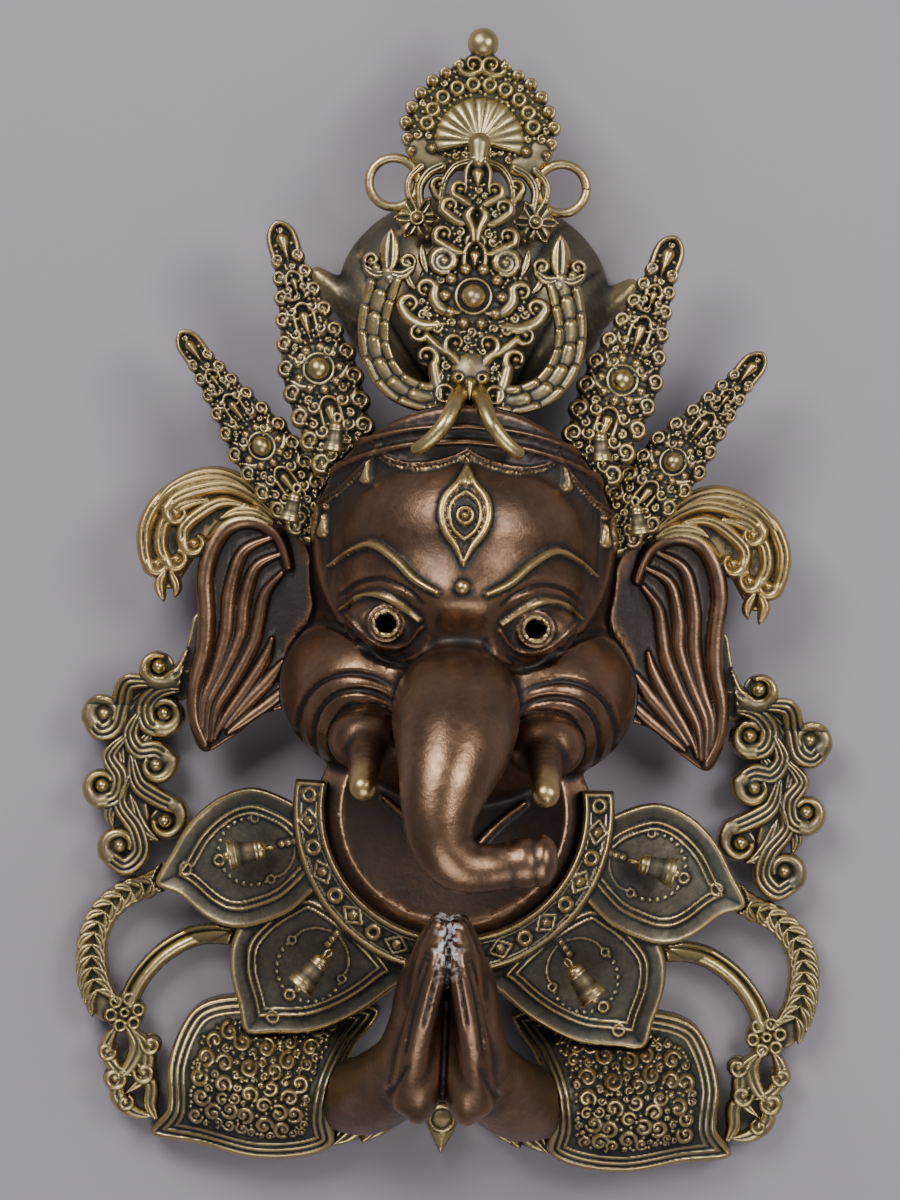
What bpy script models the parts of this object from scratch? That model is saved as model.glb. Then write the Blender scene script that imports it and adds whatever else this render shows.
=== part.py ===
"""Ganesha mask: a cast brass wall mask with crown, ears, bells and folded hands.

The mask lies on its back. +Z points out of the face, +Y up the mask and +X to the viewer's right.
The origin is on the surface it lies on, under the middle of the whole mask.
Free forms are drawn in units of one 502nd of the mask's height, which is 1 mm at its real size.
Walls, plates, wires, holes, bells and gaps have sizes of their own, in metres.
"""

import math

import bpy
import numpy as np
from mathutils import Vector

# Driving sizes, in metres
MASK_HEIGHT = 0.502
HEAD_WALL = 0.0042
TOPKNOT_WALL = 0.0038
PLATE = 0.0034
GAP = 0.0004
EYE_HOLE = 0.0086
TUSK_ROOT = 0.0180
TUSK_TIP = 0.0115
RING_RADIUS = 0.0108
RING_WIRE = 0.0044
HORN_ROOT = 0.0070
HORN_TIP = 0.0032
STUD = 0.0056
PETAL_BELL_LENGTH = 0.0170
PETAL_BELL_MOUTH = 0.0140
CROWN_BELL_LENGTH = 0.0125
CROWN_BELL_MOUTH = 0.0092
BELL_WALL = 0.0012

# One drawing unit in metres, and the lengths above in drawing units
UNIT = MASK_HEIGHT / 502.0
HEAD_SHELL = HEAD_WALL / UNIT
TOPKNOT_SHELL = TOPKNOT_WALL / UNIT
SHEET = PLATE / UNIT
CLEAR = GAP / UNIT
# Gap to a doubly curved neighbour, whose facets stand a little off its curve
EASE = 3.0 * CLEAR
RING_REACH, RING_HALF = RING_RADIUS / UNIT, RING_WIRE / 2 / UNIT
STUD_REACH = STUD / 2 / UNIT

# Sampling of the forms, in drawing units
HEAD_STEP = 2.0
HAND_STEP = 1.7
PLATE_STEP = 1.5
CURVE_STEP = 4.0
# Height, in metres, under which a faceted rim counts as lying on the ground
GROUND_SNAP = 0.0006
# Value given to a sample that has to be just inside, and the height of an upright wall's ellipsoid
JUST_INSIDE = -0.001
UPRIGHT = 1000.0

# Faces kept for each piece
FACETS = {
    "face": 2250,
    "folded_hands": 640,
    "topknot": 380,
    "finial": 560,
    "crown_leaf_centre": 720,
    "crown_leaf": 290,
    "ear": 440,
    "ribbon": 320,
    "collar": 1000,
    "sleeve": 330,
    "garland": 330,
    "base_petals": 120,
}

SIDES = (("left", -1.0), ("right", 1.0))


# Curves and distances
def spline(points, closed=False, step=CURVE_STEP):
    """Points on a smooth curve through the given points."""
    pts = [np.array(p, float) for p in points]
    count = len(pts)
    spans = count if closed else count - 1
    out = []
    for i in range(spans):
        if closed:
            p0, p1, p2, p3 = (pts[(i + k) % count] for k in (-1, 0, 1, 2))
        else:
            p0, p1, p2, p3 = (pts[min(max(i + k, 0), count - 1)] for k in (-1, 0, 1, 2))
        parts = max(2, int(round(np.linalg.norm(p2 - p1) / step)))
        for t in np.arange(parts) / parts:
            out.append(
                0.5
                * (
                    2 * p1
                    + (p2 - p0) * t
                    + (2 * p0 - 5 * p1 + 4 * p2 - p3) * t * t
                    + (3 * p1 - p0 - 3 * p2 + p3) * t**3
                )
            )
    if not closed:
        out.append(pts[-1])
    return np.array(out)


def mirrored(points, sign):
    """The same points on the left or the right half."""
    return [(p[0] * sign, *p[1:]) for p in points]


def side_of(place, sign):
    """One point on the left or the right half."""
    return (place[0] * sign, *place[1:])


def both_halves(points):
    """A closed outline from the points of its right half, top to bottom."""
    return list(points) + [(-p[0], p[1]) for p in reversed(points) if abs(p[0]) > 1e-6]


def area_distance(x, y, outline):
    """Distance to a closed outline, negative inside."""
    best = np.full(np.broadcast(x, y).shape, np.inf)
    inside = np.zeros(best.shape, bool)
    for a, b in zip(outline, np.roll(outline, -1, axis=0)):
        edge = b - a
        t = np.clip(((x - a[0]) * edge[0] + (y - a[1]) * edge[1]) / max(edge @ edge, 1e-12), 0, 1)
        best = np.minimum(best, (x - a[0] - t * edge[0]) ** 2 + (y - a[1] - t * edge[1]) ** 2)
        if a[1] != b[1]:
            crosses = (y >= min(a[1], b[1])) & (y < max(a[1], b[1]))
            inside ^= crosses & (x < a[0] + (y - a[1]) * edge[0] / edge[1])
    return np.where(inside, -1.0, 1.0) * np.sqrt(best)


def line_distance(x, y, path, start, end=None):
    """Distance to a band along a path, whose half width runs from start to end."""
    end = start if end is None else end
    lengths = np.linalg.norm(np.diff(path, axis=0), axis=1)
    along = np.concatenate([[0], np.cumsum(lengths)]) / lengths.sum()
    best = np.full(np.broadcast(x, y).shape, np.inf)
    for a, b, s0, s1 in zip(path[:-1], path[1:], along[:-1], along[1:]):
        edge = b - a
        t = np.clip(((x - a[0]) * edge[0] + (y - a[1]) * edge[1]) / max(edge @ edge, 1e-12), 0, 1)
        reach = np.hypot(x - a[0] - t * edge[0], y - a[1] - t * edge[1])
        best = np.minimum(best, reach - (start + (end - start) * (s0 + t * (s1 - s0))))
    return best


def disc_distance(x, y, centre, radius):
    """Distance to a disc, negative inside."""
    return np.hypot(x - centre[0], y - centre[1]) - radius


def dome(distance, rise, reach):
    """Height of a rounded form over its own area, rise high at reach inside its edge."""
    depth = np.clip(-distance / reach, 0, 1)
    return rise * np.sqrt(np.clip(depth * (2 - depth), 0, 1))


def soft_union(a, b, blend):
    """Union of two fields with a rounded join."""
    share = np.clip(0.5 + 0.5 * (b - a) / blend, 0, 1)
    return b + (a - b) * share - blend * share * (1 - share)


def ellipsoid(x, y, z, centre, radii):
    """Distance to an ellipsoid, close to true near its surface."""
    px, py, pz = ((v - c) / r for v, c, r in zip((x, y, z), centre, radii))
    near = np.sqrt(px * px + py * py + pz * pz)
    slope = np.sqrt((px / radii[0]) ** 2 + (py / radii[1]) ** 2 + (pz / radii[2]) ** 2)
    return near * (near - 1) / np.maximum(slope, 1e-6)


def round_limb(x, y, z, path, radii):
    """Distance to a round limb whose radius changes from point to point."""
    best = np.full(np.broadcast(x, y, z).shape, np.inf)
    for a, b, ra, rb in zip(path[:-1], path[1:], radii[:-1], radii[1:]):
        edge = b - a
        t = ((x - a[0]) * edge[0] + (y - a[1]) * edge[1] + (z - a[2]) * edge[2]) / (edge @ edge)
        t = np.clip(t, 0, 1)
        reach = np.sqrt(
            (x - a[0] - t * edge[0]) ** 2
            + (y - a[1] - t * edge[1]) ** 2
            + (z - a[2] - t * edge[2]) ** 2
        )
        best = np.minimum(best, reach - (ra + (rb - ra) * t))
    return best


def limb(x, y, z, stations, step=5.0):
    """A smooth round limb through stations of (x, y, z, radius)."""
    curve = spline(stations, step=step)
    return round_limb(x, y, z, curve[:, :3], curve[:, 3])


# From fields to meshes
def part_object(name, verts, faces, facets=None, material=None):
    """A closed mesh object from vertices in drawing units."""
    mesh = bpy.data.meshes.new(name)
    mesh.from_pydata([tuple(v) for v in verts * UNIT], [], [tuple(f) for f in faces])
    mesh.validate()
    mesh.shade_smooth()
    mesh.set_sharp_from_angle(angle=math.radians(40))
    piece = bpy.data.objects.new(name, mesh)
    bpy.context.collection.objects.link(piece)
    piece.data.materials.append(material)
    piece.parent = MASK
    if facets:
        count = sum(len(f) - 2 for f in faces)
        fewer = piece.modifiers.new("Facets", "DECIMATE")
        fewer.ratio = min(1.0, facets / count)
    return piece


def rest_flat(piece):
    """Keeps a piece's facets and brings its rim back to the plane of the ground."""
    bpy.context.view_layer.update()
    faceted = bpy.data.meshes.new_from_object(piece.evaluated_get(bpy.context.evaluated_depsgraph_get()))
    piece.modifiers.clear()
    piece.data = faceted
    for vertex in faceted.vertices:
        if vertex.co.z < GROUND_SNAP:
            vertex.co.z = 0.0


def well_joined(field):
    """Fills the few samples whose neighbours would meet only at an edge or a corner."""
    shell = slice(None, -1), slice(1, None)
    for _ in range(12):
        changed = False
        for first, second in ((0, 1), (0, 2), (1, 2)):
            views = {}
            for i in (0, 1):
                for j in (0, 1):
                    cut = [slice(None)] * 3
                    cut[first], cut[second] = shell[i], shell[j]
                    views[i, j] = field[tuple(cut)]
            inside = {key: view < 0 for key, view in views.items()}
            one = inside[0, 0] & inside[1, 1] & ~inside[0, 1] & ~inside[1, 0]
            other = inside[0, 1] & inside[1, 0] & ~inside[0, 0] & ~inside[1, 1]
            if one.any() or other.any():
                changed = True
                views[0, 1][one] = JUST_INSIDE
                views[0, 0][other] = JUST_INSIDE
        for di, dj in ((0, 0), (0, 1), (1, 0), (1, 1)):
            ends = []
            for k in (0, 1):
                cut = (shell[di ^ k], shell[dj ^ k], shell[k])
                ends.append(field[cut] < 0)
            total = sum(
                (field[shell[i], shell[j], shell[k]] < 0).astype(np.int8)
                for i in (0, 1)
                for j in (0, 1)
                for k in (0, 1)
            )
            lonely = (ends[0] & ends[1] & (total == 2)) | (~ends[0] & ~ends[1] & (total == 6))
            if lonely.any():
                changed = True
                for k in (0, 1):
                    field[shell[di ^ k], shell[1 - (dj ^ k)], shell[k]][lonely] = JUST_INSIDE
                    field[shell[di ^ k], shell[dj ^ k], shell[k]][lonely] = JUST_INSIDE
        if not changed:
            break
    return field


def surface_of(field, low, step):
    """Vertices and faces of the zero surface of a sampled field, one vertex for each cell."""
    field = well_joined(field)
    inside = field < 0
    corners = [(i, j, k) for i in (0, 1) for j in (0, 1) for k in (0, 1)]
    size = np.array(field.shape) - 1
    total = sum(
        inside[i : i + size[0], j : j + size[1], k : k + size[2]].astype(np.int8) for i, j, k in corners
    )
    cells = np.argwhere((total > 0) & (total < 8))
    values = np.stack([field[tuple((cells + c).T)] for c in corners], axis=1)
    place = np.zeros((len(cells), 3))
    count = np.zeros(len(cells))
    for a, ca in enumerate(corners):
        for b, cb in enumerate(corners):
            if b <= a or sum(abs(p - q) for p, q in zip(ca, cb)) != 1:
                continue
            va, vb = values[:, a], values[:, b]
            cross = (va < 0) != (vb < 0)
            t = np.where(cross, va / np.where(cross, va - vb, 1), 0)
            point = np.array(ca) + t[:, None] * (np.array(cb) - np.array(ca))
            place += np.where(cross[:, None], point, 0)
            count += cross
    verts = np.array(low) + step * (cells + place / count[:, None])
    number = np.full(size, -1)
    number[tuple(cells.T)] = np.arange(len(cells))
    faces = []
    for axis in range(3):
        u, v = (axis + 1) % 3, (axis + 2) % 3
        near = [slice(None)] * 3
        far = [slice(None)] * 3
        near[axis], far[axis] = slice(None, -1), slice(1, None)
        change = inside[tuple(near)] != inside[tuple(far)]
        edges = np.argwhere(change)
        starts = inside[tuple(edges.T)]
        ring = []
        for du, dv in ((-1, -1), (0, -1), (0, 0), (-1, 0)):
            cell = edges.copy()
            cell[:, u] += du
            cell[:, v] += dv
            ring.append(number[tuple(cell.T)])
        quads = np.stack(ring, axis=1)
        faces.append(np.where(starts[:, None], quads, quads[:, ::-1]))
    return verts, np.concatenate(faces)


def samples(low, high, step):
    """Three axes of sample places that cover a box."""
    axes = [np.arange(a, b + step, step) for a, b in zip(low, high)]
    return np.meshgrid(*axes, indexing="ij", sparse=True)


def solid_of(form, low, high, step):
    """Mesh of a form given by its field, with its underside flat on the ground."""
    x, y, z = samples(low, high, step)
    field = np.maximum(form(x, y, z), -z)
    for axis in range(3):
        edge = [slice(None)] * 3
        for side in (0, -1):
            edge[axis] = side
            field[tuple(edge)] = step
        edge[axis] = slice(None)
    verts, faces = surface_of(field, low, step)
    verts[verts[:, 2] < 0.6 * step, 2] = 0.0
    return verts, faces


CELL_AREAS = {
    1: ("0ad",),
    2: ("1ba",),
    3: ("01bd",),
    4: ("2cb",),
    5: ("0ad", "2cb"),
    6: ("12ca",),
    7: ("012cd",),
    8: ("3dc",),
    9: ("0ac3",),
    10: ("1ba", "3dc"),
    11: ("01bc3",),
    12: ("23db",),
    13: ("0ab23",),
    14: ("123da",),
    15: ("0123",),
}


def plate_of(outline, front, back, low, high, step=PLATE_STEP):
    """Mesh of a plate: its outline is a flat field, its two faces are heights over it.

    A cell's corners are 0 to 3 and the crossings on its sides are a to d, both anticlockwise.
    """
    xs, ys = np.arange(low[0], high[0] + step, step), np.arange(low[1], high[1] + step, step)
    x, y = np.meshgrid(xs, ys, indexing="ij")
    field = outline(x, y)
    field[[0, -1], :] = step
    field[:, [0, -1]] = step
    keep_off = 0.12 * step
    field = np.where(np.abs(field) < keep_off, np.where(field < 0, -keep_off, keep_off), field)
    inside = field < 0
    points, number = [], {}

    def point(i, j, key):
        offsets = {"0": (0, 0), "1": (1, 0), "2": (1, 1), "3": (0, 1)}
        sides = {"a": "01", "b": "12", "c": "23", "d": "30"}
        if key in offsets:
            place = (i + offsets[key][0], j + offsets[key][1])
            if place not in number:
                number[place] = len(points)
                points.append((xs[place[0]], ys[place[1]]))
            return number[place]
        ends = [(i + offsets[c][0], j + offsets[c][1]) for c in sides[key]]
        ends.sort()
        place = tuple(ends)
        if place not in number:
            fa, fb = field[ends[0]], field[ends[1]]
            t = fa / (fa - fb)
            number[place] = len(points)
            points.append(
                (
                    xs[ends[0][0]] + t * (xs[ends[1][0]] - xs[ends[0][0]]),
                    ys[ends[0][1]] + t * (ys[ends[1][1]] - ys[ends[0][1]]),
                )
            )
        return number[place]

    code = (
        inside[:-1, :-1].astype(int)
        + 2 * inside[1:, :-1]
        + 4 * inside[1:, 1:]
        + 8 * inside[:-1, 1:]
    )
    areas, rims = [], []
    for i, j in np.argwhere(code > 0):
        for keys in CELL_AREAS[code[i, j]]:
            loop = [point(i, j, key) for key in keys]
            areas.append(loop)
            for a, b, ka, kb in zip(loop, loop[1:] + loop[:1], keys, keys[1:] + keys[:1]):
                if ka in "abcd" and kb in "abcd":
                    rims.append((a, b))
    flat = np.array(points)
    count = len(flat)
    top = np.column_stack([flat, front(flat[:, 0], flat[:, 1])])
    bottom = np.column_stack([flat, back(flat[:, 0], flat[:, 1])])
    faces = areas + [[i + count for i in reversed(loop)] for loop in areas]
    faces += [[b, a, a + count, b + count] for a, b in rims]
    return np.concatenate([top, bottom]), faces


def plate_object(name, outline, surface, relief, low, high, facets, material, place=None):
    """A cast plate of sheet thickness under a surface, with its relief on the front."""
    verts, faces = plate_of(
        outline,
        lambda x, y: surface(x, y) + relief(x, y),
        lambda x, y: surface(x, y) - SHEET,
        low,
        high,
    )
    if place:
        verts = place(verts)
    return part_object(name, verts, faces, facets, material)


# The head, its neck and its chest
HEAD_LOW, HEAD_HIGH = (-86.0, -162.0, -6.0), (86.0, 94.0, 176.0)
HEAD_MASSES = (
    ((0, 14, 0), (69, 72, 104), 14),
    ((0, 32, 52), (50, 38, 54), 14),
    ((0, 2, 58), (47, 24, 54), 12),
    ((0, -36, 46), (34, 38, 62), 12),
    ((0, -60, 12), (58, 36, 58), 14),
)
CHEEK = ((39, -40, 32), (39, 37, 56))
EYE_SOCKET = ((33, -10, 119), (21, 14, 24))
EYEBALL = ((32, -11, 82), (18, 12.5, 15))
EYE_CENTRE = (32.0, -11.0)
NECK = ((0, -105, 0), (47, 62, 60))
DRUM_CENTRE, DRUM_RADII, DRUM_TOP, DRUM_FALL = (0, 24), (66, 59.5), 90.0, 34.0
CHEST_CENTRE, CHEST_RADII = (0, -98), (62, 54)
BOWL_CENTRE, BOWL_RADII, BOWL_DEPTH = (0, -93), (49, 47), 26.0
COLLAR_CENTRE, COLLAR_RISE, COLLAR_SPREAD, COLLAR_EDGE = (0, -110), 58.0, 75.0, 20.0
TRUNK = (
    (0, -42, 80, 22),
    (-0.5, -47, 106, 27),
    (-1, -58, 129, 25),
    (-3.5, -72, 144, 20),
    (-6, -88, 152, 15.5),
    (-4.5, -101, 154, 13),
    (3.5, -109.5, 152, 11.6),
    (14, -110.5, 150, 10.2),
    (24, -109, 149, 9.8),
    (30, -108, 149, 11),
)
TRUNK_TIP = ((37.5, -106.5, 149), (6.5, 10.8, 10.5))
TUSK_BASE, TUSK_MIDDLE, TUSK_END = (36, -56, 84), (38, -68, 108), (38.5, -80, 124)
TUSK_SOCKET = ((38, -61, 88), (17, 14, 16))


def collar_surface(x, y):
    """Height of the collar, which falls off round the neck."""
    away = ((x - COLLAR_CENTRE[0]) ** 2 + (y - COLLAR_CENTRE[1]) ** 2) / COLLAR_SPREAD**2
    return COLLAR_EDGE + COLLAR_RISE * np.exp(-away)


def head_body(x, y, z):
    """Field of the head, neck and chest as one filled form, without trunk, tusks and relief."""
    form = None
    for centre, radii, blend in HEAD_MASSES:
        mass = ellipsoid(x, y, z, centre, radii)
        form = mass if form is None else soft_union(form, mass, blend)
    for _, sign in SIDES:
        cheek = ellipsoid(x, y, z, side_of(CHEEK[0], sign), CHEEK[1])
        form = soft_union(form, cheek, 9)
    for _, sign in SIDES:
        socket = ellipsoid(x, y, z, side_of(EYE_SOCKET[0], sign), EYE_SOCKET[1])
        form = -soft_union(-form, socket, 6)
        ball = ellipsoid(x, y, z, side_of(EYEBALL[0], sign), EYEBALL[1])
        form = soft_union(form, ball, 3)
    drum = ellipsoid(x, y, 0 * z, (*DRUM_CENTRE, 0), (*DRUM_RADII, UPRIGHT))
    lid = z - (DRUM_TOP - DRUM_FALL * (x / DRUM_RADII[0]) ** 2)
    form = soft_union(form, -soft_union(-drum, -lid, 3), 2)
    neck = ellipsoid(x, y, z, *NECK)
    chest_edge = ellipsoid(x, y, 0 * z, (*CHEST_CENTRE, 0), (*CHEST_RADII, UPRIGHT))
    away = ((x - BOWL_CENTRE[0]) / BOWL_RADII[0]) ** 2 + ((y - BOWL_CENTRE[1]) / BOWL_RADII[1]) ** 2
    bowl = BOWL_DEPTH * np.clip(1 - away, 0, 1)
    chest_top = 0.75 * (z - (collar_surface(x, y) - SHEET - CLEAR - bowl))
    lower = soft_union(neck, np.maximum(chest_edge, chest_top), 12)
    return soft_union(form, np.maximum(lower, chest_top), 3)


def trunk_and_tusks(x, y, z):
    """Field of the trunk with its flanged tip, and the two tusks in their sockets."""
    form = limb(x, y, z, TRUNK)
    form = soft_union(form, ellipsoid(x, y, z, *TRUNK_TIP), 1.5)
    for _, sign in SIDES:
        socket = ellipsoid(x, y, z, side_of(TUSK_SOCKET[0], sign), TUSK_SOCKET[1])
        stations = mirrored((TUSK_BASE, TUSK_MIDDLE, TUSK_END), sign)
        widths = (TUSK_ROOT / 2 / UNIT, (TUSK_ROOT + TUSK_TIP) / 4 / UNIT, TUSK_TIP / 2 / UNIT)
        tusk = limb(x, y, z, [(*p, r) for p, r in zip(stations, widths)])
        form = np.minimum(form, soft_union(socket, tusk, 2))
    return form


def face_form(x, y, z):
    """Field of the hollow head: a shell open behind, with trunk and tusks, and two eye holes."""
    body = head_body(x, y, z)
    form = soft_union(body, trunk_and_tusks(x, y, z), 4)
    form = np.maximum(form, -(body + HEAD_SHELL))
    for _, sign in SIDES:
        hole = np.hypot(x - EYE_CENTRE[0] * sign, y - EYE_CENTRE[1]) - EYE_HOLE / 2 / UNIT
        form = np.maximum(form, -np.maximum(hole, 40 - z))
    return form


BROW = ((11, 3), (20, 8), (29, 16.6), (39, 23), (48, 20), (57.5, 12.8))
UPPER_LID = ((18, -9), (26, -2.5), (34.5, 1), (43, 0), (51, -5.5))
LOWER_LID = ((17.5, -13), (24, -19.5), (33, -20), (41.5, -15), (47, -8))
CHEEK_FOLD = ((10, -15), (15, -24), (26, -28.5), (38.5, -24), (49, -15.5), (61, -11.5), (70, -16))
SMILE_FOLDS = (
    ((28, -49), (36, -47), (46, -47.5), (55, -54), (57.5, -64), (53, -74)),
    ((31, -41), (43.5, -37), (55, -38), (63.5, -46), (67, -58), (63, -72)),
)
THIRD_EYE = ((0, 53), (7, 43), (11.5, 36), (7, 28), (0, 18))
BAND_FOOT = ((67, 40), (60, 49), (46, 57), (24, 62.5), (0, 64.5))
SWAG_DROPS = ((0, 53), (43, 51), (60, 28.5))


def face_relief(x, y):
    """Height of the face's raised lines and grooves over the smooth head."""
    ax = np.abs(x)
    height = np.zeros(np.broadcast(x, y).shape)
    for line, width, rise in (
        (BROW, 2.6, 2.6),
        (UPPER_LID, 1.9, 2.0),
        (LOWER_LID, 1.6, 1.4),
        (BAND_FOOT, 2.2, 2.2),
    ):
        near = line_distance(ax, y, spline(line), width)
        height = np.maximum(height, dome(near, rise, width))
    for line, width, depth in ((CHEEK_FOLD, 2.4, 2.0), *((fold, 2.2, 1.8) for fold in SMILE_FOLDS)):
        near = line_distance(ax, y, spline(line), width)
        height = height - dome(near, depth, width)
    rim = area_distance(ax, y, spline(both_halves(THIRD_EYE), closed=True))
    height = np.maximum(height, dome(rim, 3.2, 3.0) - dome(rim + 4.0, 1.6, 2.0))
    height = np.maximum(height, dome(disc_distance(ax, y, (0, 36), 3.6), 4.2, 3.6))
    height = np.maximum(height, dome(disc_distance(ax, y, (0, 6), 3.4), 3.2, 3.4))
    for drop in SWAG_DROPS:
        height = np.maximum(height, dome(disc_distance(ax, y, drop, 3.4), 2.8, 3.4))
    return height


def outward(verts, faces):
    """Unit normals of the vertices of a mesh of quads."""
    quads = np.asarray(faces)
    face_normal = np.cross(verts[quads[:, 2]] - verts[quads[:, 0]], verts[quads[:, 3]] - verts[quads[:, 1]])
    normal = np.zeros_like(verts)
    for corner in range(4):
        np.add.at(normal, quads[:, corner], face_normal)
    return normal / np.maximum(np.linalg.norm(normal, axis=1, keepdims=True), 1e-9)


def build_face(material):
    """The head shell with its trunk, tusks, brows, lids, third eye and crown band."""
    verts, faces = solid_of(face_form, HEAD_LOW, HEAD_HIGH, HEAD_STEP)
    x, y, z = verts.T
    normal = outward(verts, faces)
    skin = np.abs(head_body(x, y, z)) < 1.0
    trunk_clear = trunk_and_tusks(x, y, z) > 1.5
    front = skin & trunk_clear & (z > 30) & (normal[:, 2] > 0.1)
    verts = verts + normal * (face_relief(x, y) * front)[:, None]
    rest_flat(part_object("face", verts, faces, FACETS["face"], material))


# The crown: four side leaves and the middle leaf with its crescent and horns
LEAF_PLACES = (
    ("inner", (53, 58, 56), (86, 159, 44), 1.0),
    ("outer", (66, 33, 47), (126, 110.5, 38), 0.92),
)
LEAF_WIDTHS = ((-8, 9), (8, 13), (26, 15.5), (42, 15.5), (58, 12), (72, 9), (86, 7), (96, 5.2))
LEAF_CURLS = (4, 15, 26, 37, 48, 58, 68, 77, 86)
LEAF_BOSS, LEAF_BEADS = (0.0, 40.0), 8
LEAF_DROPS = ((4.2, 55, 66), (3.6, 71, 80), (4.6, 88, 97), (5.0, 12, 24))


def leaf_half_width(v):
    """Half width of a side leaf at a height, in hundredths of its length."""
    heights, widths = zip(*LEAF_WIDTHS)
    return np.interp(v, heights, widths)


def leaf_outline(u, v):
    """Field of a side leaf: tapering body, curls along both edges and a drop at the tip."""
    right = [(w, h) for h, w in LEAF_WIDTHS]
    body = area_distance(u, v, spline(both_halves(right), closed=True))
    for height in LEAF_CURLS:
        radius = 4.2 - 0.018 * height
        body = np.minimum(body, disc_distance(np.abs(u), v, (leaf_half_width(height), height), radius))
    return np.minimum(body, line_distance(u, v, np.array(((0, 90.0), (0, 98.0))), 5.2, 2.4))


def leaf_relief(u, v):
    """Height of a side leaf's carving over its plate."""
    height = dome(leaf_outline(u, v), 1.2, 1.6)
    for place in LEAF_CURLS:
        centre = (leaf_half_width(place) - 0.6, place)
        height = np.maximum(height, dome(disc_distance(np.abs(u), v, centre, 3.6), 3.2, 3.6))
    height = np.maximum(height, dome(disc_distance(u, v, LEAF_BOSS, 9.5), 2.4, 3))
    height = np.maximum(height, dome(disc_distance(u, v, LEAF_BOSS, 5.0), 5.4, 5.0))
    for turn in range(LEAF_BEADS):
        angle = math.tau * turn / LEAF_BEADS
        centre = (LEAF_BOSS[0] + 8.4 * math.sin(angle), LEAF_BOSS[1] + 8.4 * math.cos(angle))
        height = np.maximum(height, dome(disc_distance(u, v, centre, 2.2), 3.8, 2.2))
    for drop, low, high in LEAF_DROPS:
        path = np.array(((0.0, low), (0.0, high)))
        height = np.maximum(height, dome(line_distance(u, v, path, drop, 1.6), 4.4, drop))
    return height


def build_crown_leaves(material):
    """Four leaves that stand on the crown band, two on each side."""
    for side, sign in SIDES:
        for rank, base, tip, width in LEAF_PLACES:
            base = np.array(base) * (sign, 1, 1)
            along = np.array(tip) * (sign, 1, 1) - base
            scale = np.linalg.norm(along) / 100.0
            along = along / np.linalg.norm(along)
            across = np.cross(along, (0, 0, 1))
            across = across / np.linalg.norm(across)
            out = np.cross(across, along)

            def place(points, base=base, along=along, across=across, out=out, scale=scale, width=width):
                u, v, w = points.T
                bow = w - 0.012 * u * u
                flat = np.outer(u * scale * width, across) + np.outer(v * scale, along)
                return base + flat + np.outer(bow, out)

            def outline(u, v, place=place):
                flat = np.column_stack([u.ravel(), v.ravel()])
                rise = leaf_relief(u, v).ravel()
                body = leaf_outline(u, v)
                for level in (rise, np.zeros_like(rise), np.full_like(rise, -SHEET)):
                    x, y, z = place(np.column_stack([flat, level])).T
                    body = np.maximum(body, (CLEAR - head_body(x, y, z)).reshape(u.shape))
                return body

            plate_object(
                f"crown_leaf_{rank}_{side}",
                outline,
                lambda u, v: 0 * u,
                leaf_relief,
                (-24, -12),
                (24, 104),
                FACETS["crown_leaf"],
                material,
                place,
            )


CENTRE_HALF = (
    (0, 194),
    (4.5, 187),
    (8, 179),
    (12, 172),
    (14, 160),
    (17, 149),
    (24, 137),
    (31, 128),
    (29, 118),
    (19, 113),
    (15.5, 104),
    (16.5, 94),
    (14, 80),
)
CENTRE_CURLS = ((14.5, 147), (21, 133), (28, 126), (26, 115), (9.5, 179), (13, 170), (14.5, 159))
CRESCENT = ((12, 86), (24, 87.5), (35, 94), (42, 106), (43.5, 119), (41, 131), (37.5, 141))
CRESCENT_CENTRE = (26.0, 116.0)
FLEUR_LOBES = ((37, 147, 6.5), (30, 145.5, 4.6), (45, 143.5, 4.6), (35, 151, 4.4), (39.5, 151.5, 4.4))
FLEUR_TIP = ((37, 150), (37, 158))
HORN = ((3.5, 92, 74), (5.5, 89, 90), (8.5, 81, 98), (14, 71.5, 98), (20, 66.5, 95.5), (25.5, 64.5, 92))
CENTRE_LEAF_LOW, CENTRE_LEAF_RISE = 62.0, 0.13
CENTRE_DROPS = ((182, 190, 3.6), (142, 155, 4.0), (160, 174, 3.4), (106, 112, 4.4), (86, 98, 5.2))
CENTRE_BOSS = (0.0, 131.0)
CENTRE_BEADS = 10


def centre_surface(x, y):
    """Height of the middle leaf, which leans back towards its tip and at its sides."""
    return CENTRE_LEAF_LOW + CENTRE_LEAF_RISE * (194 - y) - 0.004 * x * x


def centre_outline(x, y):
    """Field of the middle leaf with its crescent, cut clear of the crown band."""
    ax = np.abs(x)
    body = area_distance(x, y, spline(both_halves(CENTRE_HALF), closed=True))
    for centre in CENTRE_CURLS:
        body = np.minimum(body, disc_distance(ax, y, centre, 4.2))
    body = np.minimum(body, line_distance(ax, y, spline(CRESCENT), 5.5, 7.0))
    for cx, cy, radius in FLEUR_LOBES:
        body = np.minimum(body, disc_distance(ax, y, (cx, cy), radius))
    body = np.minimum(body, line_distance(ax, y, np.array(FLEUR_TIP, float), 3.5, 1.6))
    for level in (4.0, 0.0, -SHEET):
        body = np.maximum(body, CLEAR - head_body(x, y, centre_surface(x, y) + level))
    return body


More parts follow.
